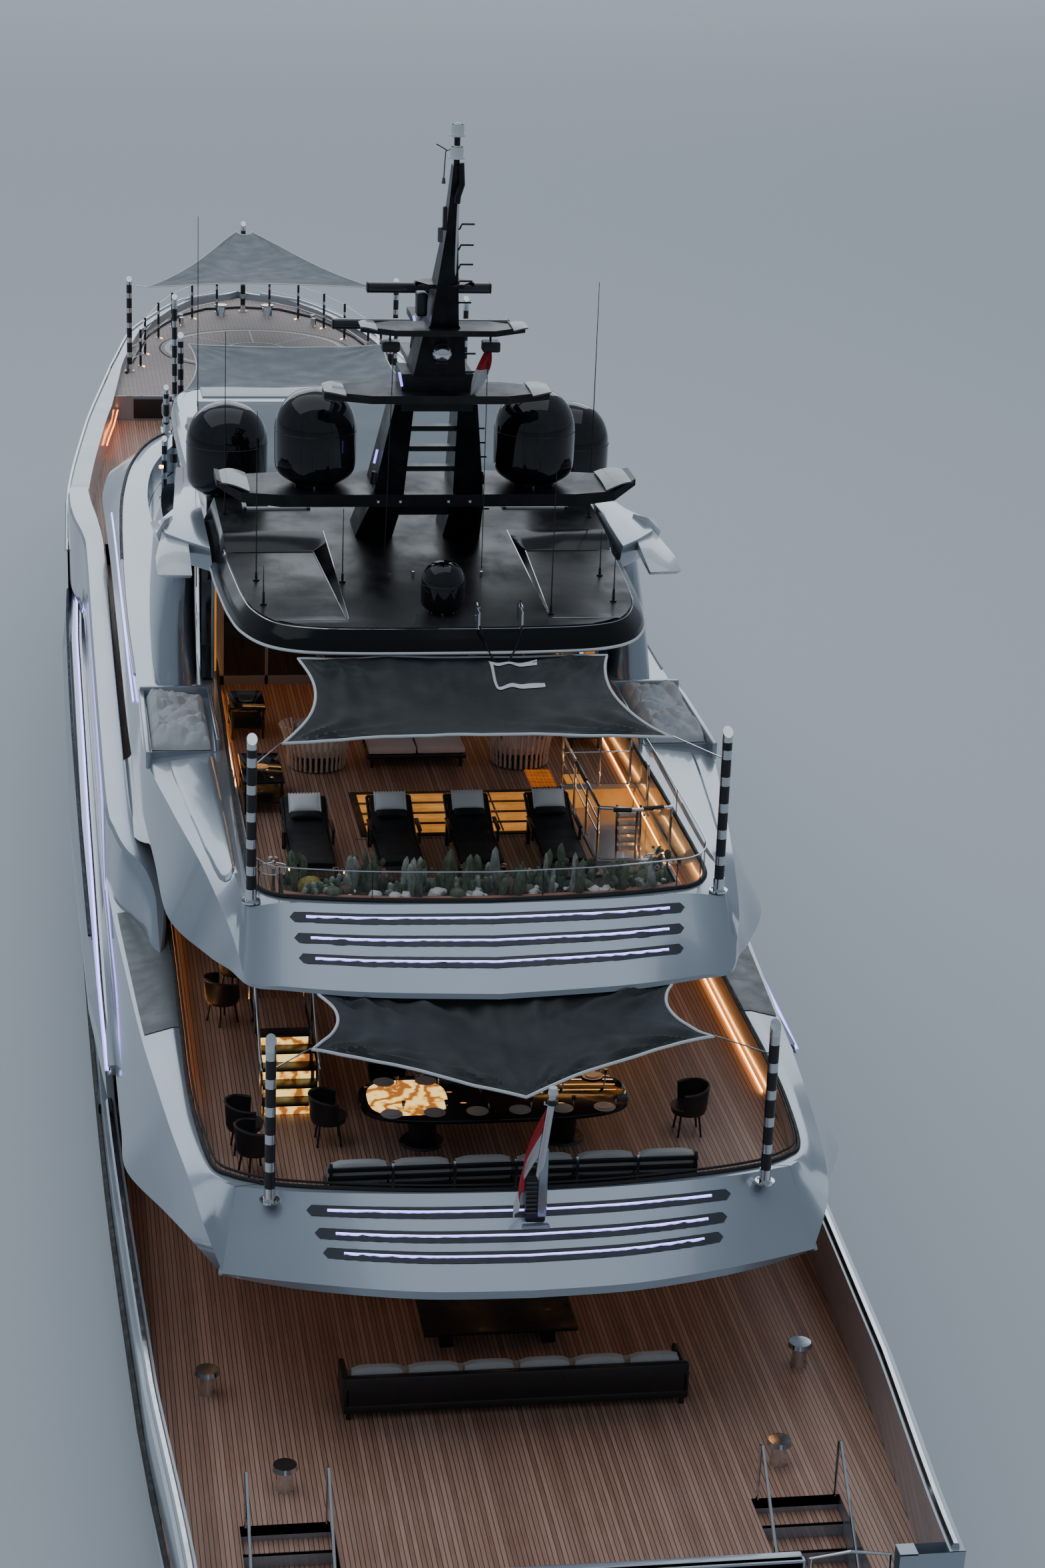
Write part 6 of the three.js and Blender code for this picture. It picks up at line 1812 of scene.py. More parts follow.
hatch_parts += painted(
    amber, box(HATCH_IN + 0.02, HATCH_OUT - 0.02, HATCH_FORE - 0.02, HATCH_FORE - 0.005, 8.0, 8.75),
    box(HATCH_IN + 0.1, HATCH_IN + 0.5, 6.75, 7.2, BRIDGE + 0.004, BRIDGE + 0.02),
) + painted(
    warm, box(3.45, 3.468, 0.9, 12.2, BRIDGE + 0.012, BRIDGE + 0.03),
    box(-3.468, -3.45, 6.9, 12.2, BRIDGE + 0.012, BRIDGE + 0.03),
)
for k in range(5):
    y, z = 3.0 + 0.02 * k, 9.02 + 0.14 * k
    hatch_parts.append((tube([(2.62, y, z), (2.8, y + 0.08, z - 0.02), (2.98, y, z)], 0.05, 6), slat_wood))
hatch_parts += painted(chrome, *(tube([(x, 2.98, 8.85), (x, 3.1, 9.76)], 0.02, 6) for x in (2.6, 3.0)))
piece("stair_hatch_rails", hatch_parts)


# The hardtop
# A moulded roof in satin black with dusty patches, sunk on each side into a long recess with polished
# edges, and trimmed round its lower edge with a white moulding. Aerials, studs and grab rails stand on it.
dusty_black = Paint("dusty_black", (0.012, 0.012, 0.014), 0.34, Specular_IOR_Level=0.3)
film = dusty_black.span(dusty_black.clouds(1.3, 6.0), 0.42, 0.72)
smears = dusty_black.span(dusty_black.clouds(9.0, 5.0, (1, 0.4, 1)), 0.5, 0.8)
dusty_black.set(
    Base_Color=dusty_black.blend(film * 0.7 + smears * 0.3, (0.006, 0.0065, 0.008), (0.04, 0.041, 0.043)),
    Roughness=0.3 + 0.25 * film + 0.1 * smears,
)
# A darker, less reflective black than the top, for the rim, the recess's fore roll and its inner slope:
# painted shade on the same moulded roof.
shaded_roof_black = Paint(
    "shaded_roof_black", (0.004, 0.0045, 0.006), 0.12, Specular_IOR_Level=0.25,
).worn(2.0, 4.0, 0.08, 0.2)
TOP_AFT, TOP_RISE, TOP_START, SUNK_FLOOR = 12.35, 0.033, 4.5, 12.35
SUNK_INNER, SUNK_AFT, SUNK_FORE, ROLL_FORE = 1.7, 5.17, 9.4, 10.14
HARDTOP_EDGE = [
    # x, y
    (0, 4.5), (1.5, 4.53), (2.5, 4.66), (3.1, 5.05), (3.45, 5.8), (3.6, 6.7), (3.68, 7.8), (3.73, 8.8),
    (3.74, 9.4), (3.75, 9.6), (3.755, 9.85), (3.76, 10.14), (3.77, 11.2), (3.78, 12.3),
]


def sunk_run(y):
    """How far the recess's inner side slopes outward."""
    return 0.03 + 0.2 * min(max((y - SUNK_AFT) / (SUNK_FORE - SUNK_AFT), 0), 1)


def top_height(y):
    return TOP_AFT + TOP_RISE * (y - TOP_START)


def hardtop_height(x, y):
    sunk = min(max((abs(x) - SUNK_INNER) / sunk_run(y), 0), 1) * min(max((y - SUNK_AFT) / 0.05, 0), 1)
    if y > SUNK_FORE:
        sunk *= 1 - math.sin(math.pi / 2 * min((y - SUNK_FORE) / (ROLL_FORE - SUNK_FORE), 1))
    return top_height(y) + (SUNK_FLOOR - top_height(y)) * sunk


def inset(x, y, inward, steps):
    """A profile through a roof's edge, given as steps inward from its outline and heights."""
    return [tuple(Vector((x, y, z)) + inward.normalized() * by) for by, z in steps]


def roof_profile(x, y):
    inward = Vector((-x, (8 - y) * 1.1 if y < 8 else 0, 0))
    rim = Vector((x, y, 0)) + inward.normalized() * 0.25
    rim_step = (0.25, hardtop_height(rim.x, rim.y))
    return inset(
        x, y, inward, ((1.3, 11.86), (0.5, 11.89), (0.06, 11.93), (0, 12.0), (0.04, 12.12), rim_step),
    )


HARDTOP_RING = [roof_profile(x, y) for x, y in HARDTOP_EDGE]
hardtop_at, (hardtop_rim,) = ring(HARDTOP_RING, 15, 91)
upper_rim = edge_of(HARDTOP_RING, 5)
TOP_ROWS = (
    4.75, 4.76, 4.8, 4.87, 5.0, 5.16, 5.22, 5.5, 5.94, 6.5, 7.2, 8.0, 8.8, 9.4, 9.46, 9.55, 9.7, 9.9, 10.14,
    10.7, 11.5, 12.3,
)


def hardtop_top(u, v):
    y = TOP_ROWS[round(v * (len(TOP_ROWS) - 1))]
    reach = max(upper_rim(y), 0.0)
    foot = SUNK_INNER + sunk_run(y)
    x = min((0, 0.6, 1.2, SUNK_INNER, foot, (foot + reach) / 2, reach)[round(u * 6)], reach)
    return Vector((x, y, hardtop_height(x, y)))


def top_faces(keep):
    """The hardtop's upper side, with only the faces whose centre the test accepts."""
    mesh = grid(hardtop_top, 6, len(TOP_ROWS) - 1)
    spare = [face for face in mesh.faces if not keep(face.calc_center_median())]
    bmesh.ops.delete(mesh, geom=spare, context="FACES")
    return both(mesh)


def in_wall(p):
    """Whether a place on the hardtop lies on the recess's fore roll or its inner slope."""
    on_roll = SUNK_FORE < p.y < ROLL_FORE and p.x > SUNK_INNER
    return on_roll or (5.2 < p.y <= SUNK_FORE and SUNK_INNER < p.x < SUNK_INNER + sunk_run(p.y))


def bright_edge(places, radius):
    """A polished edge laid along places on the hardtop."""
    return both(tube([(x, y, hardtop_height(x, y) + 0.004) for x, y in places], radius, 5))


edge_line = [hardtop_at(k / 90, 0.6) + Vector((0, -0.01, -0.015)) for k in range(91)]
rim_line = [hardtop_at(k / 90, 0.98) for k in range(60)]
# The rim, fore roll and inner slope take the darker black as painted shade; the rest of the top is dusty
# black.
hardtop_parts = [
    (hardtop_rim, shaded_roof_black), (tube(mirrored(edge_line), 0.026, 6), piping_white),
    (top_faces(lambda p: not in_wall(p)), dusty_black), (top_faces(in_wall), shaded_roof_black),
    (deck_floor(lambda y: upper_rim(y) - 0.75, 5.6, 12.35, 11.865), silver),
] + painted(
    chrome, bright_edge([(SUNK_INNER - 0.01, y) for y in (5.2, 6, 7, 8, 9, 10.1)], 0.01),
    bright_edge([(SUNK_INNER + sunk_run(y), y) for y in (5.3, 6, 7, 8, 9, 9.38)], 0.008),
    bright_edge([(x, 9.37) for x in (1.93, 2.4, 2.9, 3.4)], 0.008),
    bright_edge([(x, 5.24) for x in (1.75, 2.1, 2.5, 2.85)], 0.01),
    *(tube([Vector((side * p.x, p.y, p.z)) for p in rim_line], 0.008, 5) for side in (1, -1)),
)
for x0, x1, y0, y1 in (
    (1.8, 3.05, 11.45, 11.53), (1.8, 3.05, 12.2, 12.28), (1.8, 1.88, 11.45, 12.28),
    (2.97, 3.05, 11.45, 12.28),
):
    z = top_height(y0)
    hardtop_parts.append((both(box(x0, x1, y0, y1, z - 0.02, z + 0.04, 0.01)), cover_cloth))
hardtop_parts.append((both(box(1.86, 3.0, 11.5, 12.24, 12.5, 12.6, 0.01)), dark_glass))
piece("hardtop_shell", hardtop_parts, replaces=("hardtop",))

fittings = []
for x, y, tall, base in (
    # x, y, whip's length, base's height
    (-3.08, 7.62, 2.9, 0.1), (-3.06, 6.17, 0.5, 0.18), (-1.62, 7.19, 1.2, 0.1), (1.76, 5.46, 2.5, 0.1),
    (3.01, 7.76, 0.7, 0.1), (2.97, 6.18, 0.7, 0.18), (-3.4, 11.2, 3.2, 0.2), (3.35, 10.9, 4.2, 0.2),
    (-3.7, 14.8, 5.0, 0.3),
):
    z = hardtop_height(x, y) if y < 12 else 12.1
    fittings += painted(
        satin_black, post((x, y, z), base + 0.05, 0.026, 10, 0.02),
        post((x, y, z + base), tall, 0.013, 6, 0.006),
        post((x, y, z), 0.025, 0.055, 12),
    )
for x, y in ((-0.75, 7.56), (-0.34, 7.59), (0.86, 7.56), (-0.6, 4.95), (0.4, 4.95)):
    fittings.append((post((x, y, 12.38), 0.12, 0.025, 10), chrome))
GRAB_RAIL = [(4.68, 12.34), (4.7, 12.6), (4.78, 12.68), (5.0, 12.72), (5.12, 12.68), (5.14, 12.36)]
strap = [
    (0.42 + 0.73 * k / 16, 4.62 - 0.2 * bow_of(k / 16), 12.42 - 0.62 * bow_of(k / 16)) for k in range(17)
]
fittings += painted(chrome, *(tube([(x, y, z) for y, z in GRAB_RAIL], 0.024, 8) for x in (0.42, 1.15)))
fittings.append((tube(strap, 0.016, 6), rubber))
piece("hardtop_fittings", fittings)
piece("lounge_lamps", painted(
    warm, *(post((x, y, 11.835), 0.03, 0.07, 12) for x in (-2.3, 2.3) for y in (6.9, 9.2, 11.6)),
    box(-3.1, 3.1, 12.3, 12.36, 11.42, 11.45),
))


# Wing pillars
# Silver pillars carry the hardtop's sides. Each ends beside the hardtop in a folded plate winglet that
# is bolted to its head, with a black glass strip inboard of the pillar.
def slab(top, bottom, bevel=0.02):
    """A plate between two like outlines of points, its edges softened."""
    mesh = bmesh.new()
    upper = [mesh.verts.new(p) for p in top]
    lower = [mesh.verts.new(p) for p in bottom]
    mesh.faces.new(upper)
    mesh.faces.new(lower[::-1])
    for k in range(len(upper)):
        after = (k + 1) % len(upper)
        mesh.faces.new((upper[k], upper[after], lower[after], lower[k]))
    bmesh.ops.recalc_face_normals(mesh, faces=mesh.faces)
    soften(mesh, mesh.edges[:], bevel)
    return both(mesh)


PILLAR_FOOT, PILLAR_TALL = 9.3, 2.7
pillar_shape = looked_up([
    # z, inner x, outer x, aft y, fore y
    (9.3, 3.9, 4.72, 10.5, 12.5), (9.7, 3.88, 4.74, 10.75, 13.2), (10.4, 3.86, 4.72, 11.1, 14.4),
    (11.4, 3.84, 4.6, 11.3, 15.6), (12.0, 3.82, 4.45, 11.2, 15.6),
])


def pillar(u, v):
    z = PILLAR_FOOT + PILLAR_TALL * v
    inner, outer, aft, fore = pillar_shape(z)
    c, s = math.cos(2 * math.pi * u), math.sin(2 * math.pi * u)
    x = (inner + outer) / 2 + (outer - inner) / 2 * math.copysign(abs(c) ** 0.7, c)
    y = (aft + fore) / 2 + (fore - aft) / 2 * math.copysign(abs(s) ** 0.8, s)
    return Vector((x, y, z))


winglet_paint = Paint("winglet_paint", (0.72, 0.75, 0.78), 0.3, Metallic=0.15, Coat_Weight=0.8)
winglet_paint.worn(4.0, 4.0, 0.24, 0.4)
SHOULDER = [(3.76, 9.55), (4.16, 10.05), (4.52, 10.6), (4.62, 11.4), (4.3, 12.3), (4.1, 15.4), (3.76, 15.5)]
LONG_TOP = [
    (4.12, 10.15, 12.36), (4.56, 10.95, 12.34), (4.74, 9.6, 12.2), (4.73, 8.86, 12.1), (4.12, 8.74, 12.12),
]
LONG_FOOT = [
    (4.12, 10.3, 12.16), (4.5, 10.95, 12.1), (4.66, 9.7, 12.06), (4.66, 9.0, 12.0), (4.14, 8.9, 12.02),
]
SHORT_TOP = [(4.33, 11.65, 12.42), (4.51, 11.06, 12.5), (4.68, 10.62, 12.36), (4.76, 11.5, 12.34)]
SHORT_FOOT = [(4.33, 11.65, 12.1), (4.45, 11.06, 12.1), (4.6, 10.7, 12.1), (4.68, 11.5, 12.1)]
piece("wing_pillars", [
    (both(grid(pillar, 36, 20)), silver),
    (slab([(x, y, 12.38) for x, y in SHOULDER], [(x - 0.06, y + 0.1, 11.9) for x, y in SHOULDER]), silver),
    (slab(LONG_TOP, LONG_FOOT, 0.014), winglet_paint), (slab(SHORT_TOP, SHORT_FOOT, 0.012), winglet_paint),
    (both(box(3.66, 3.84, 10.9, 12.5, 9.5, 11.6, 0.01)), dark_glass),
    (both(box(3.6, 3.66, 10.9, 12.4, 9.5, 11.5, 0.01)), silver),
    (both(box(3.56, 3.6, 11.0, 12.3, 9.6, 11.4)), amber),
], replaces=("starboard_roof_fairing", "port_roof_fairing"))


# The house roof
# A plate roof with rounded eaves ahead of the mast, covered over its middle by a stretched blue-grey dust
# sheet, with a white panel strip across its fore part and four small domed vents near its edges.
EAVES = ((0.4, 12.19), (0.2, 12.16), (0.06, 12.06), (0, 11.9), (0.03, 11.68), (0.12, 11.51), (1.2, 11.505))
ROOF_EDGE = [
    # x, y
    (3.78, 12.2), (3.84, 15), (3.9, 18), (3.9, 21.2), (3.86, 22.3), (3.7, 23.05), (3.3, 23.4), (2.4, 23.6),
    (1.2, 23.68), (0, 23.7),
]
ROOF_RING = [inset(x, y, Vector((-x, min(19 - y, 0) * 1.6 if y > 21 else 0, 0)), EAVES) for x, y in ROOF_EDGE]
(eaves_band,) = ring(ROOF_RING, 18, 63)[1]
roof_parts = [
    *painted(silver, eaves_band, deck_floor(edge_of(ROOF_RING, 0), 12.2, 23.3, 12.19, along=50)),
    (both(box(0.35, 3.2, 22.2, 23.05, 12.19, 12.225, 0.01)), piping_white),
]
for x, y in ((-3.3, 14.2), (3.3, 14.2), (-3.6, 19.5), (3.6, 19.5)):
    roof_parts += [
        (post((x, y, 12.18), 0.08, 0.12, 16, 0.1), chrome),
        (post((x, y, 12.26), 0.14, 0.09, 16, 0.06), piping_white),
    ]
piece("roof_plating", roof_parts, replaces=("roof",))


def dust_sheet(u, v):
    x, y = (2 * u - 1) * 3.35, 14.8 + 6.9 * v
    edge_in = min(1, 9 * min(u, 1 - u), 9 * min(v, 1 - v))
    tension = 0.05 * math.sin(9 * (u + 0.7 * v)) * bow_of(u) * bow_of(v)
    wide = noise.noise(Vector((x * 0.5 + y * 0.35, (y - x) * 0.12, 2.0)))
    fine = noise.noise(Vector((x * 2.5 + y, (y - x) * 0.4, 7.0)))
    return Vector((x, y, 12.22 + (0.1 + tension + 0.06 * wide + 0.02 * fine) * edge_in))


sheet_cloth = Paint("sheet_cloth", (0.2, 0.23, 0.26), 0.8, Sheen_Weight=0.1)
weave(sheet_cloth.mottled(1.5, 5.0, (0.17, 0.20, 0.23), (0.25, 0.28, 0.31)), 0.003, 0.0006, 0.006)
roof_cover = piece("roof_dust_sheet", [(grid(dust_sheet, 60, 60), sheet_cloth)])


# The mast
# Welded alloy in satin black: two raked legs with ladder rungs, four cranked wings, and a tapering fin
# with a polished track. The wings carry lamps and loudspeakers, and climbing pegs run up to starboard.
dress(dusty_black, "mast_frame", "mast_tower")
for name in ("mast_frame", "mast_tower"):
    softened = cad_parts[name].modifiers.new("rounded_edges", "BEVEL")
    softened.width = 0.016
    softened.segments = 2
    softened.limit_method = "ANGLE"
    softened.angle_limit = math.radians(30)


def wing_tip(x, y0, y1, z, length, rise):
    """A pressed tip plate that lies on a wing's end and curves up and outward."""

    def at(u, v):
        aft, fore = y0 + 0.2 * (y1 - y0) * u * u, y1 - 0.25 * (y1 - y0) * u * u
        swell = rise * math.sin(u * 2.2) + 0.03 * bow_of(v) * (1 - u)
        return Vector((x + length * u, aft + (fore - aft) * v, z + swell))

    mesh = grid(at, 16, 8)
    bmesh.ops.solidify(mesh, geom=mesh.faces[:], thickness=0.025)
    bmesh.ops.recalc_face_normals(mesh, faces=mesh.faces)
    return both(mesh)


wing_silver = Paint(
    "wing_silver", (0.1, 0.105, 0.11), 0.25, Metallic=0.5, Coat_Weight=0.3,
).worn(5.0, 4.0, 0.2, 0.32)
MAST_HEAD_Y = 6.02
mast_parts = painted(
    wing_silver, wing_tip(3.15, 8.24, 9.55, 13.78, 0.56, 0.11), wing_tip(1.6, 7.22, 8.28, 15.715, 0.36, 0.03),
    wing_tip(1.15, 6.72, 7.48, 16.945, 0.27, 0.03),
) + [
    (
        tube([(0.15, 6.86, 17.45), (0.12, 6.66, 17.75), (0.07, 6.25, 18.7), (0.05, 6.0, 19.3)], 0.018, 8),
        piping_white,
    ),
    (
        tube([(0.02, 5.95, 19.2), (0.03, 5.94, 19.32), (0.09, 5.95, 19.5), (0.07, 5.97, 19.85)], 0.05, 10),
        dusty_black,
    ),
]
for x, y, z in (
    # the pegs' bends
    (0.37, 7.6, 16.36), (0.42, 7.7, 16.02), (0.66, 8.2, 14.91), (0.7, 8.3, 14.63), (0.74, 8.4, 14.35),
    (0.98, 9.5, 13.11), (0.12, 6.5, 18.42), (0.15, 6.7, 18.06), (0.18, 7.0, 17.36), (0.13, 6.6, 17.8),
    (0.1, 6.3, 18.8),
):
    peg = tube(
        [(x - 0.05, y, z - 0.09), (x + 0.02, y, z - 0.08), (x + 0.06, y, z), (x + 0.27, y, z)], 0.018, 6,
    )
    mast_parts.append((peg, satin_black))
for x in (-0.86, 0.86):
    mast_parts += painted(
        satin_black, tube([(x, 7.4, 16.86), (x, 7.4, 16.62)], 0.02, 6),
        box(x - 0.15, x + 0.15, 7.2, 7.48, 16.46, 16.64, 0.03),
        tube([(x * 0.94, 7.3, 16.5), (x, 7.56, 12.55)], 0.008, 5),
    )
mast_parts += painted(chrome, *(post((x, 8.19, 13.58), 0.04, 0.03, 10) for x in (-0.91, -0.52, 0.33, 0.71)))
mast_parts += painted(
    satin_black, box(-0.1, 0.1, 7.2, 7.5, 16.26, 16.31, 0.01), post((0, 7.2, 16.6), 0.06, 0.05, 12),
    box(-0.46, -0.28, 7.05, 7.35, 17.1, 17.5, 0.04), box(-0.17, -0.1, 6.2, 6.32, 18.7, 19.1, 0.03),
    both(post((0.9, 8.6, 13.72), 0.12, 0.07, 12)), both(post((0.9, 8.6, 13.82), 0.22, 0.12, 16, 0.09)),
)
mast_parts.append((box(-0.24, -0.16, 6.25, 6.35, 18.5, 18.75, 0.02), wing_silver))
for x, y, z, height, lean in (
    (-0.98, 8.35, 14.25, 0.24, 0.05), (-0.37, 7.7, 16.72, 0.26, -0.06), (-0.62, 7.55, 15.8, 0.24, -0.05),
):
    mast_parts.append((tube([(x, y, z), (x + lean, y, z + height)], 0.022, 6), strip_light))
mirror_ball = bmesh.new()
bmesh.ops.create_uvsphere(mirror_ball, u_segments=28, v_segments=18, radius=0.17)
mast_parts.append((placed(mirror_ball, Matrix.Translation((-0.02, 7.0, 16.5))), chrome))
for z in (19.91, 20.27):
    mast_parts += painted(
        piping_white, post((0, MAST_HEAD_Y, z), 0.03, 0.13, 16),
        post((0, MAST_HEAD_Y, z + 0.03), 0.16, 0.108, 16),
        post((0, MAST_HEAD_Y, z + 0.19), 0.03, 0.07, 16, 0.04),
    )
mast_parts += painted(
    satin_black, tube([(0, MAST_HEAD_Y, 20.1), (-0.18, 6.05, 20.02), (-0.2, 6.05, 19.6)], 0.01, 5),
    tube([(-0.16, MAST_HEAD_Y, 20.04), (-0.34, MAST_HEAD_Y, 20.14)], 0.01, 5),
)
mast_parts.append((post((-0.2, 6.05, 19.5), 0.1, 0.035, 10, 0.02), wing_silver))
piece("mast_fittings", mast_parts)
scanner_paint = Paint("scanner_paint", (0.02, 0.022, 0.026), 0.3, Coat_Weight=0.5).worn(8.0, 4.0, 0.2, 0.4)
for name, y, z, half in (("lower_scanner", 10.05, 16.25, 1.6), ("upper_scanner", 9.1, 17.09, 1.1)):
    piece(name + "_bar", [
        (box(-half + 0.01, half - 0.01, y - 0.088, y + 0.088, z + 0.016, z + 0.198, 0.05, 3), scanner_paint),
        *painted(satin_black, *(
            box(x - 0.023, x + 0.023, y - 0.09, y + 0.09, z + 0.015, z + 0.199, 0.03)
            for x in (-half + 0.027, half - 0.027)
        )),
        (post((0, y, z - 0.16), 0.26, 0.058, 20), chrome),
        (box(-half * 0.9, half * 0.9, y - 0.091, y - 0.086, z + 0.07, z + 0.085), wing_silver),
    ], body=name, replaces=(name,))


def burgee(u, v):
    """A flag drooping from its halyard: v runs down it from the hoist's top."""
    half = 0.035 + 0.085 * math.sin(math.pi * min(v * 1.1, 1))
    ripple = math.sin(u * 9 + v * 3) * 0.03 + math.sin(v * 13 + u * 2) * 0.02
    return Vector((0.83 - 0.3 * v ** 1.3 + (2 * u - 1) * half, 7.33 + ripple, 16.53 - 0.93 * v))


flag_white = Paint("flag_white", (0.7, 0.7, 0.7), 0.85, Sheen_Weight=0.1)
flag_red = Paint("flag_red", (0.5, 0.02, 0.03), 0.85)
weave(flag_white.mottled(8.0, 3.0, (0.6, 0.6, 0.6), (0.78, 0.78, 0.78)), 0.002, 0.0003, 0.003)
weave(flag_red.mottled(8.0, 3.0, (0.42, 0.015, 0.025), (0.56, 0.03, 0.04)), 0.002, 0.0003, 0.003)
mast_flag = piece("mast_flag", [
    (grid(lambda u, v: burgee(u, v * 0.42), 14, 14), flag_red),
    (grid(lambda u, v: burgee(u, 0.42 + v * 0.58), 14, 20), flag_white),
])


# Satellite domes
# Moulded gloss black radomes, each on a round base that is bolted to the wing, the roof or the hardtop.
# A thin seam runs round the shell where its upper and lower halves meet.
def turned(profile, place, sides=48):
    curve = flowing(profile)

    def at(u, v):
        radius, height = curve(v)
        turn = 2 * math.pi * u
        return Vector(place) + Vector(
            (math.cos(turn) * max(radius, 0), math.sin(turn) * max(radius, 0), height)
        )

    mesh = grid(at, sides, 44)
    bmesh.ops.recalc_face_normals(mesh, faces=mesh.faces)
    return mesh


SEAM_RADIUS, SEAM_HEIGHT = 0.7235, 0.95
DOME_PROFILE = [
    # radius, height
    (0, 0.0), (0.3, 0.0), (0.42, 0.02), (0.56, 0.1), (0.66, 0.19), (0.71, 0.32), (0.72, 0.55), (0.72, 0.95),
    (0.69, 1.17), (0.59, 1.39), (0.41, 1.57), (0.2, 1.65), (0, 1.68),
]
for name, x, y, z, size, foot in (
    # name, x, y, z of the shell's foot, size, z of the base's foot
    ("starboard_inner_dome", 1.95, 9.05, 13.74, 1.0, 13.7),
    ("port_inner_dome", -1.95, 9.05, 13.74, 1.0, 13.7),
    ("starboard_outer_dome", 3.26, 12.9, 12.5, 1.06, 12.1),
    ("port_outer_dome", -3.26, 12.9, 12.5, 1.06, 12.1),
    ("small_dome", -0.08, 5.6, 12.39, 0.52, 12.36),
):
    reach, seam_z = SEAM_RADIUS * size, z + SEAM_HEIGHT * size
    seam_line = [(x + reach * math.cos(a / 10), y + reach * math.sin(a / 10), seam_z) for a in range(63)]
    piece(name + "_shell", [
        (turned([(r * size, h * size) for r, h in DOME_PROFILE], (x, y, z)), gloss_black),
        (tube(seam_line, 0.005, 4), satin_black),
        (post((x, y, foot), z - foot + 0.05, 0.36 * size, 24), satin_black),
        *painted(chrome, *bolts(x, y, z - 0.03, 0.04, 0.4 * size, 0.02, (0.4, 1.5, 2.5, 3.6, 4.6, 5.7))),
    ], replaces=(name,))


# The foredeck and helideck
# Teak from the house to a low step, and ahead of it a raised grey deck with a round landing pad painted
# with white circles. Dark guard posts with base lamps and the bow sail's banded poles stand along its edge.
def bow_width(y):
    return max(breadth(y, 6.6) - bow_cap(y), 0.02)


FOREDECK_AFT, STEP_Y, BOW_END = 30.9, 44, 58.3
pad_grey = Paint("pad_grey", (0.46, 0.38, 0.35), 0.6)
pad_spread = pad_grey.node(
    "ShaderNodeTexNoise", {}, {"Vector": pad_grey.place(), "Scale": 6.0, "Detail": 5.0},
)
pad_seams = (pad_grey.axis("X") + OUTBOARD) % 0.06 < 0.004
pad_tone = pad_grey.blend(pad_spread, (0.42, 0.33, 0.30), (0.6, 0.5, 0.46))
pad_grey.set(
    Base_Color=pad_grey.blend(pad_seams, pad_tone, (0.22, 0.17, 0.155)), Roughness=0.55 + 0.25 * pad_spread,
)


def bow_deck(y0, y1, z, along):
    def at(u, v):
        y = y0 + (y1 - y0) * v
        return Vector(((2 * u - 1) * bow_width(y), y, z))

    return grid(at, 8, along)


RING_MIDDLE, RING = 50.35, 2.7


def hoop(radius, wide, lift):
    """A flat ring painted on the pad."""

    def at(u, v):
        turn = 2 * math.pi * u
        reach = radius + (v - 0.5) * wide
        return Vector((reach * math.cos(turn), RING_MIDDLE + reach * math.sin(turn), HELI + lift))

    return grid(at, 72, 1)


foredeck_parts = [
    (bow_deck(FOREDECK_AFT, STEP_Y, FORE, 40), teak), (bow_deck(STEP_Y, BOW_END, HELI, 60), pad_grey),
    (box(-4.6, 4.6, 43.97, STEP_Y, FORE, HELI + 0.01), silver),
    # Black panels on the step's face: painted shade standing for openings in it.
    (both(box(1.9, 3.95, 43.93, 43.98, FORE + 0.06, HELI - 0.08, 0.01)), satin_black),
    (hoop(1.45, 2.9, 0.012), pad_grey), (hoop(RING, 0.16, 0.018), piping_white),
    (hoop(2.92, 0.06, 0.01), rubber), (hoop(0.9, 0.1, 0.017), piping_white),
]
for a in range(8):
    def spoke(u, v, turn=a * math.pi / 4):
        out, aside = 0.95 + 1.7 * u, (v - 0.5) * 0.05
        c, s = math.cos(turn), math.sin(turn)
        return Vector((c * out - s * aside, RING_MIDDLE + s * out + c * aside, HELI + 0.016))

    foredeck_parts.append((grid(spoke, 8, 1), piping_white))
for x, y in ((-1.0, 32.4), (1.0, 32.4), (-1.7, 36), (1.7, 36)):
    foredeck_parts += [
        (box(x - 0.45, x + 0.45, y - 0.45, y + 0.45, FORE, FORE + 0.09, 0.03), silver),
        (box(x - 0.38, x + 0.38, y - 0.38, y + 0.38, FORE + 0.08, FORE + 0.11, 0.02), dark_glass),
    ]
piece("foredeck_planking", foredeck_parts, replaces=("foredeck",))

seat_pads = [cushion(x - 1.0, x + 1.0, 40.65, 42.15, FORE + 0.36, FORE + 0.54) for x in (-2.25, 2.25)]
seat_pads += [cushion(x - 1.0, x + 1.0, 42.0, 42.3, FORE + 0.5, FORE + 0.98, 0.3) for x in (-2.25, 2.25)]
seats = [box(x, x + 2.1, 40.6, 42.2, FORE, FORE + 0.38, 0.05) for x in (-3.3, 1.2)]
piece("foredeck_seats", painted(silver, *seats))
piece("foredeck_cushions", painted(pale_cloth, *seat_pads))
amber_strip = glow("amber_strip", (1.0, 0.25, 0.04), 5.0)
led_line = [(bow_width(39.6 + 0.46 * k) - 0.06, 39.6 + 0.46 * k, 6.8) for k in range(10)]
deck_gear = []
for x in (-0.75, 0.75):
    deck_gear += [
        post((x, 55.4, HELI), 0.3, 0.16, 20, 0.12), post((x, 55.4, HELI + 0.3), 0.06, 0.2, 20),
        box(x - 0.12, x + 0.12, 56.0, 56.6, HELI, HELI + 0.14, 0.03),
    ]
for x, y, z in ((3.9, 36.2, FORE), (2.1, 53.9, HELI)):
    deck_gear += [both(post((x, y + aside, z), 0.3, 0.07, 12)) for aside in (-0.25, 0.25)]
piece("bridge_nose_lamps", [
    (both(tube([(3.95, 24.9, 9.44), (3.95, 24.9, 9.9), (3.97, 24.98, 9.95)], 0.02, 8)), chrome),
    (both(post((3.97, 25.0, 9.9), 0.06, 0.05, 12)), warm),
])
piece("foredeck_gear", [(both(tube(led_line, 0.022, 6)), amber_strip), *painted(chrome, *deck_gear)])

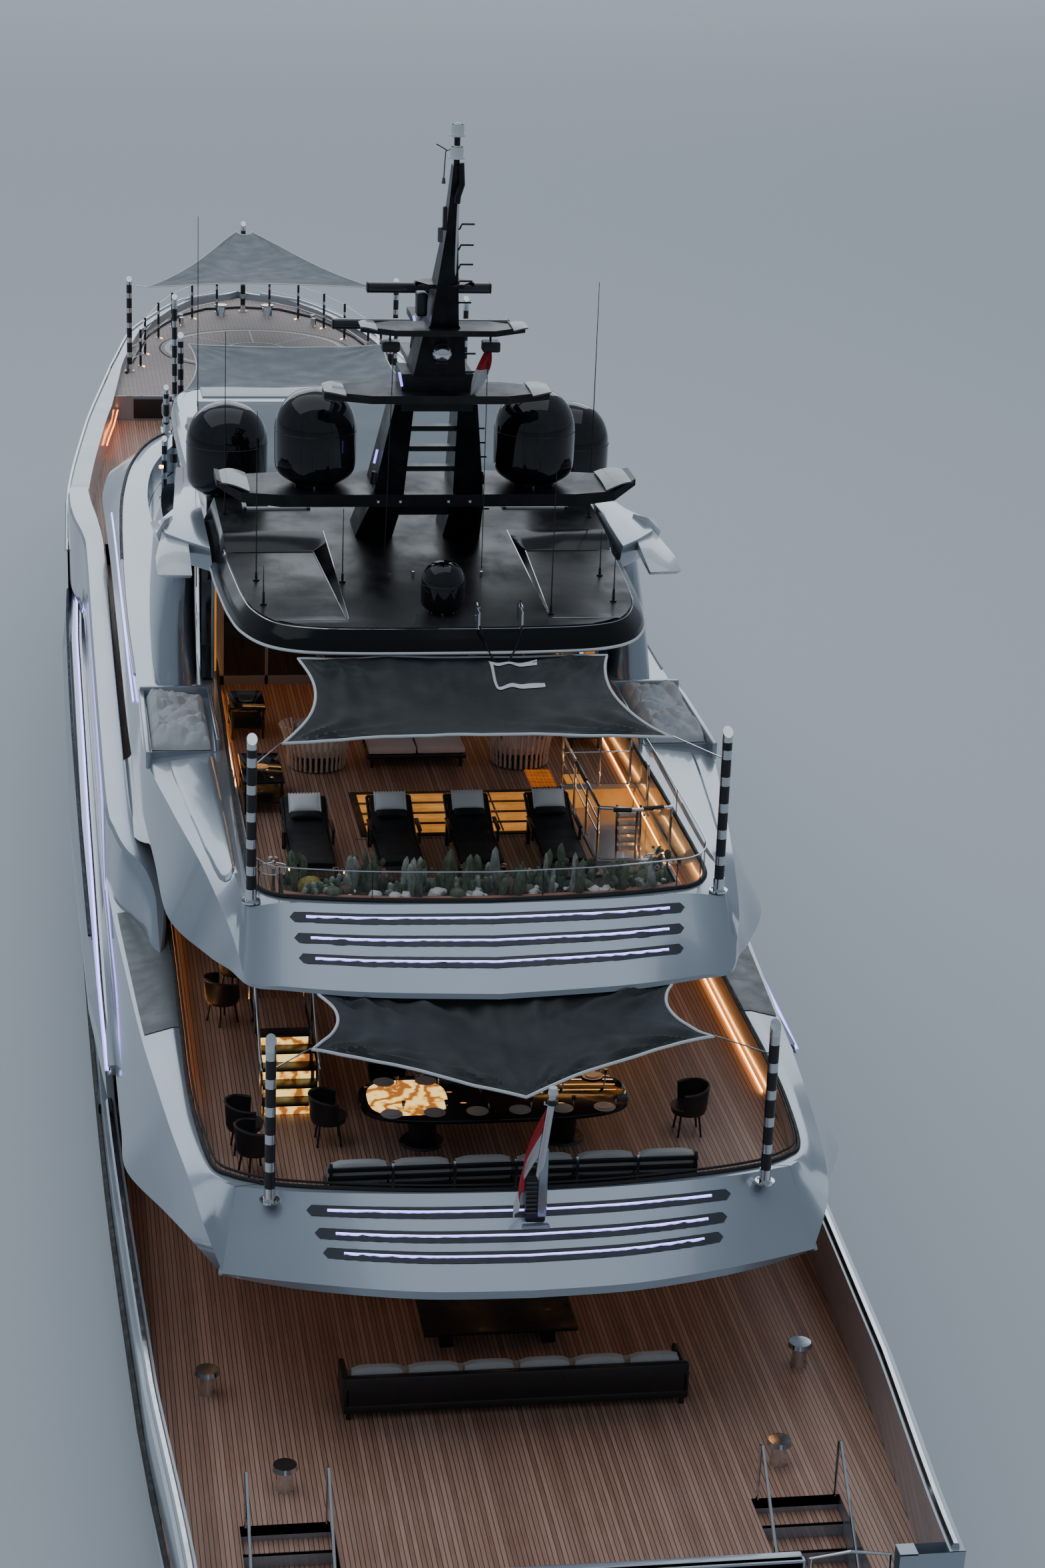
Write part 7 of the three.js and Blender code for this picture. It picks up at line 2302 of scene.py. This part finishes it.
GUARDS = ((3.6, 47.9), (3.4, 49.6), (2.9, 51.9), (2.4, 53.5), (1.7, 54.9), (0.85, 55.9))
PAD_EDGE = ((4.05, 46.9), (3.9, 48), (3.6, 50), (3.25, 52), (2.75, 53.6), (2.1, 55.2), (1.2, 56.3), (0, 56.6))
CORNER = (3.95, 47.2)
helideck_bands = banded("helideck_pole_paint", HELI)
foredeck_bands = banded("foredeck_pole_paint", FORE)
guard_parts = []
for out, y in GUARDS:
    for side in (-1, 1):
        x, lamp_x = side * out, side * (out - 0.1)
        guard_parts += [
            (post((x, y, HELI), 1.12, 0.038, 10), satin_black),
            (post((x, y, HELI + 0.34), 0.1, 0.042, 10), chrome),
            (post((x, y, HELI + 0.76), 0.1, 0.042, 10), chrome), (post((x, y, HELI), 0.03, 0.08, 12), chrome),
            (post((lamp_x, y - 0.05, HELI + 0.005), 0.025, 0.022, 10), warm),
        ]
for height in (0.36, 0.72, 1.08):
    wire = tube([(x, y, HELI + height) for x, y in (CORNER, *GUARDS)], 0.009, 5)
    guard_parts.append((both(wire), chrome))
edge_strip_line = [(min(x, bow_width(y) - 0.03), y, HELI + 0.03) for x, y in PAD_EDGE]
guard_parts.append((both(tube(edge_strip_line, 0.05, 6)), satin_black))
guard_parts += pole_pair(*CORNER, HELI, 2.72, helideck_bands) + pole(0, 56.05, HELI, 2.82, helideck_bands)
guard_parts.append(stay((3.95, 47.25, 9.72), (3.4, 47.5, 9.62)))
piece("helideck_guards", guard_parts, replaces=("helideck_posts",))
wing_bands = banded("wing_pole_paint", 8.8)
piece("foredeck_sail_poles", [
    *pole_pair(3.5, 33, FORE, 3.32, foredeck_bands), *pole_pair(2.85, 38.9, FORE, 3.52, foredeck_bands),
    *pole_pair(3.83, 26.6, 8.8, 1.35, wing_bands, 0.062),
    *pole_pair(3.48, 28.95, 8.8, 4.2, wing_bands, 0.062),
    *pole_pair(3.62, 30.35, 9.4, 1.1, wing_bands, 0.062),
    stay((3.5, 33.05, 9.72), (3.27, 33.12, 9.66)), stay((2.85, 38.9, 9.9), (2.67, 38.75, 9.85)),
], replaces=("foredeck_poles",))
pale_sail = Paint("pale_sail", (0.15, 0.17, 0.19), 0.75, Sheen_Weight=0.2)
weave(
    pale_sail.mottled(1.3, 5.0, (0.12, 0.14, 0.16), (0.20, 0.22, 0.24)).worn(4.0, 3.0, 0.55, 0.85), 0.002,
    0.0003, 0.01,
)


def free_sail(name, replaced, corners, flat, area, hangs_from, **cut):
    """A pale sail cut hollow on every edge, with a hem."""
    at = sail(*corners, **cut)
    cloth = piece(name, [(grid(at, 72, 60), pale_sail)], replaces=(replaced,))
    bound = piece(name + "_hem", [(tube(round_edge(at, 60, 60), 0.018, 6, True), piping_white)])


free_sail(
    "bow_sail_cloth", "bow_sail", ((3.4, 47.5, 9.6), (0.2, 55.8, 9.8)), (3.4, 4.15), 6.1,
    ["helideck_guards"], hollow=0.14, sag=0.2, folds=0.03,
)
free_sail(
    "foredeck_sail_cloth", "foredeck_sail", ((3.25, 33.15, 9.6), (2.65, 38.7, 9.8)), (3.2, 2.8), 7.0,
    ["foredeck_sail_poles"], hollow=0.12, sag=0.2, folds=0.04,
)


# Running gear and the ensign staff
# Bare bronze propellers, steel shafts in painted brackets, and rudders under dark bottom paint. Aft on
# the coaming, a raked staff stands in a louvred base box and carries a drooping flag.
bronze = Paint("bronze", (0.36, 0.2, 0.08), 0.3, Metallic=0.9)
tarnish = bronze.span(bronze.clouds(5.0, 5.0), 0.4, 0.75)
bronze.set(
    Base_Color=bronze.blend(tarnish, (0.40, 0.23, 0.09), (0.16, 0.15, 0.09)), Roughness=0.25 + 0.35 * tarnish,
)
bottom_paint = Paint("bottom_paint", (0.03, 0.033, 0.038), 0.7)
slime = bottom_paint.clouds(3.0, 6.0)
slime_tone = bottom_paint.ramp(slime, (0.35, (0.018, 0.02, 0.024)), (0.7, (0.05, 0.056, 0.055)))
bottom_paint.set(Base_Color=slime_tone, Roughness=0.6 + 0.3 * slime)
engine_paint = Paint("engine_paint", (0.32, 0.34, 0.35), 0.45)
oily = engine_paint.span(engine_paint.clouds(4.0, 5.0), 0.45, 0.75)
engine_paint.set(
    Base_Color=engine_paint.blend(oily, (0.34, 0.36, 0.37), (0.14, 0.145, 0.15)), Roughness=0.4 + 0.2 * oily,
)
dress(bronze, "starboard_propeller", "port_propeller")
dress(bottom_paint, "starboard_shaft_bracket", "port_shaft_bracket", "starboard_rudder", "port_rudder")
dress(engine_paint, "engines")
STAFF_FOOT, STAFF_HEAD = Vector((0.13, -4.38, 6.0)), Vector((0.28, -4.9, 8.4))
staff = [STAFF_FOOT.lerp(STAFF_HEAD, k / 10) for k in range(11)]
staff_parts = [
    (tube(staff, 0.051, 12), piping_white), (post(STAFF_HEAD, 0.1, 0.075, 16, 0.06), piping_white),
    (post(STAFF_HEAD - up(0.16), 0.06, 0.08, 16), satin_black),
    (box(0.0, 0.3, -4.62, -4.3, 6.1, 6.95, 0.03), satin_black),
    (box(0.17, 0.31, -4.66, -4.28, 6.3, 7.4, 0.03), silver),
    (box(-0.06, 0.36, -4.72, -4.26, 6.05, 6.2, 0.03), silver),
    *(
        (box(-0.01, 0.16, -4.64, -4.6, z, z + 0.03, 0.008), wing_silver)
        for z in (6.35 + 0.07 * k for k in range(8))
    ),
]
for share in (0.5, 0.92):
    spot = STAFF_FOOT.lerp(STAFF_HEAD, share)
    hook = [spot + Vector(step) for step in ((-0.06, 0, 0), (-0.1, -0.02, 0.02), (-0.1, -0.02, 0.06))]
    staff_parts.append((tube(hook, 0.012, 6), chrome))
piece("ensign_staff", staff_parts, replaces=("flagstaff",))


def ensign(u, v):
    """A flag gathered on its staff: u runs out from the hoist and v down from its upper edge."""
    hoist = STAFF_FOOT.lerp(STAFF_HEAD, 0.9 - 0.36 * v) + Vector((-0.07, -0.03, 0))
    fly = hoist + Vector((-0.3 - 0.05 * v, -0.2, -1.05 + 0.1 * v))
    waves = math.sin(v * 13 + u * 3) * 0.07 * math.sqrt(u) + math.sin(v * 5 - u * 4) * 0.03 * u
    return hoist.lerp(fly, u) + Vector((-0.12 * bow_of(u), waves, -0.1 * bow_of(u)))


ensign_cloth = piece("ensign", [
    (grid(lambda u, v: ensign(u, v / 2), 40, 26), flag_red),
    (grid(lambda u, v: ensign(u, 0.5 + v / 2), 40, 26), flag_white),
])
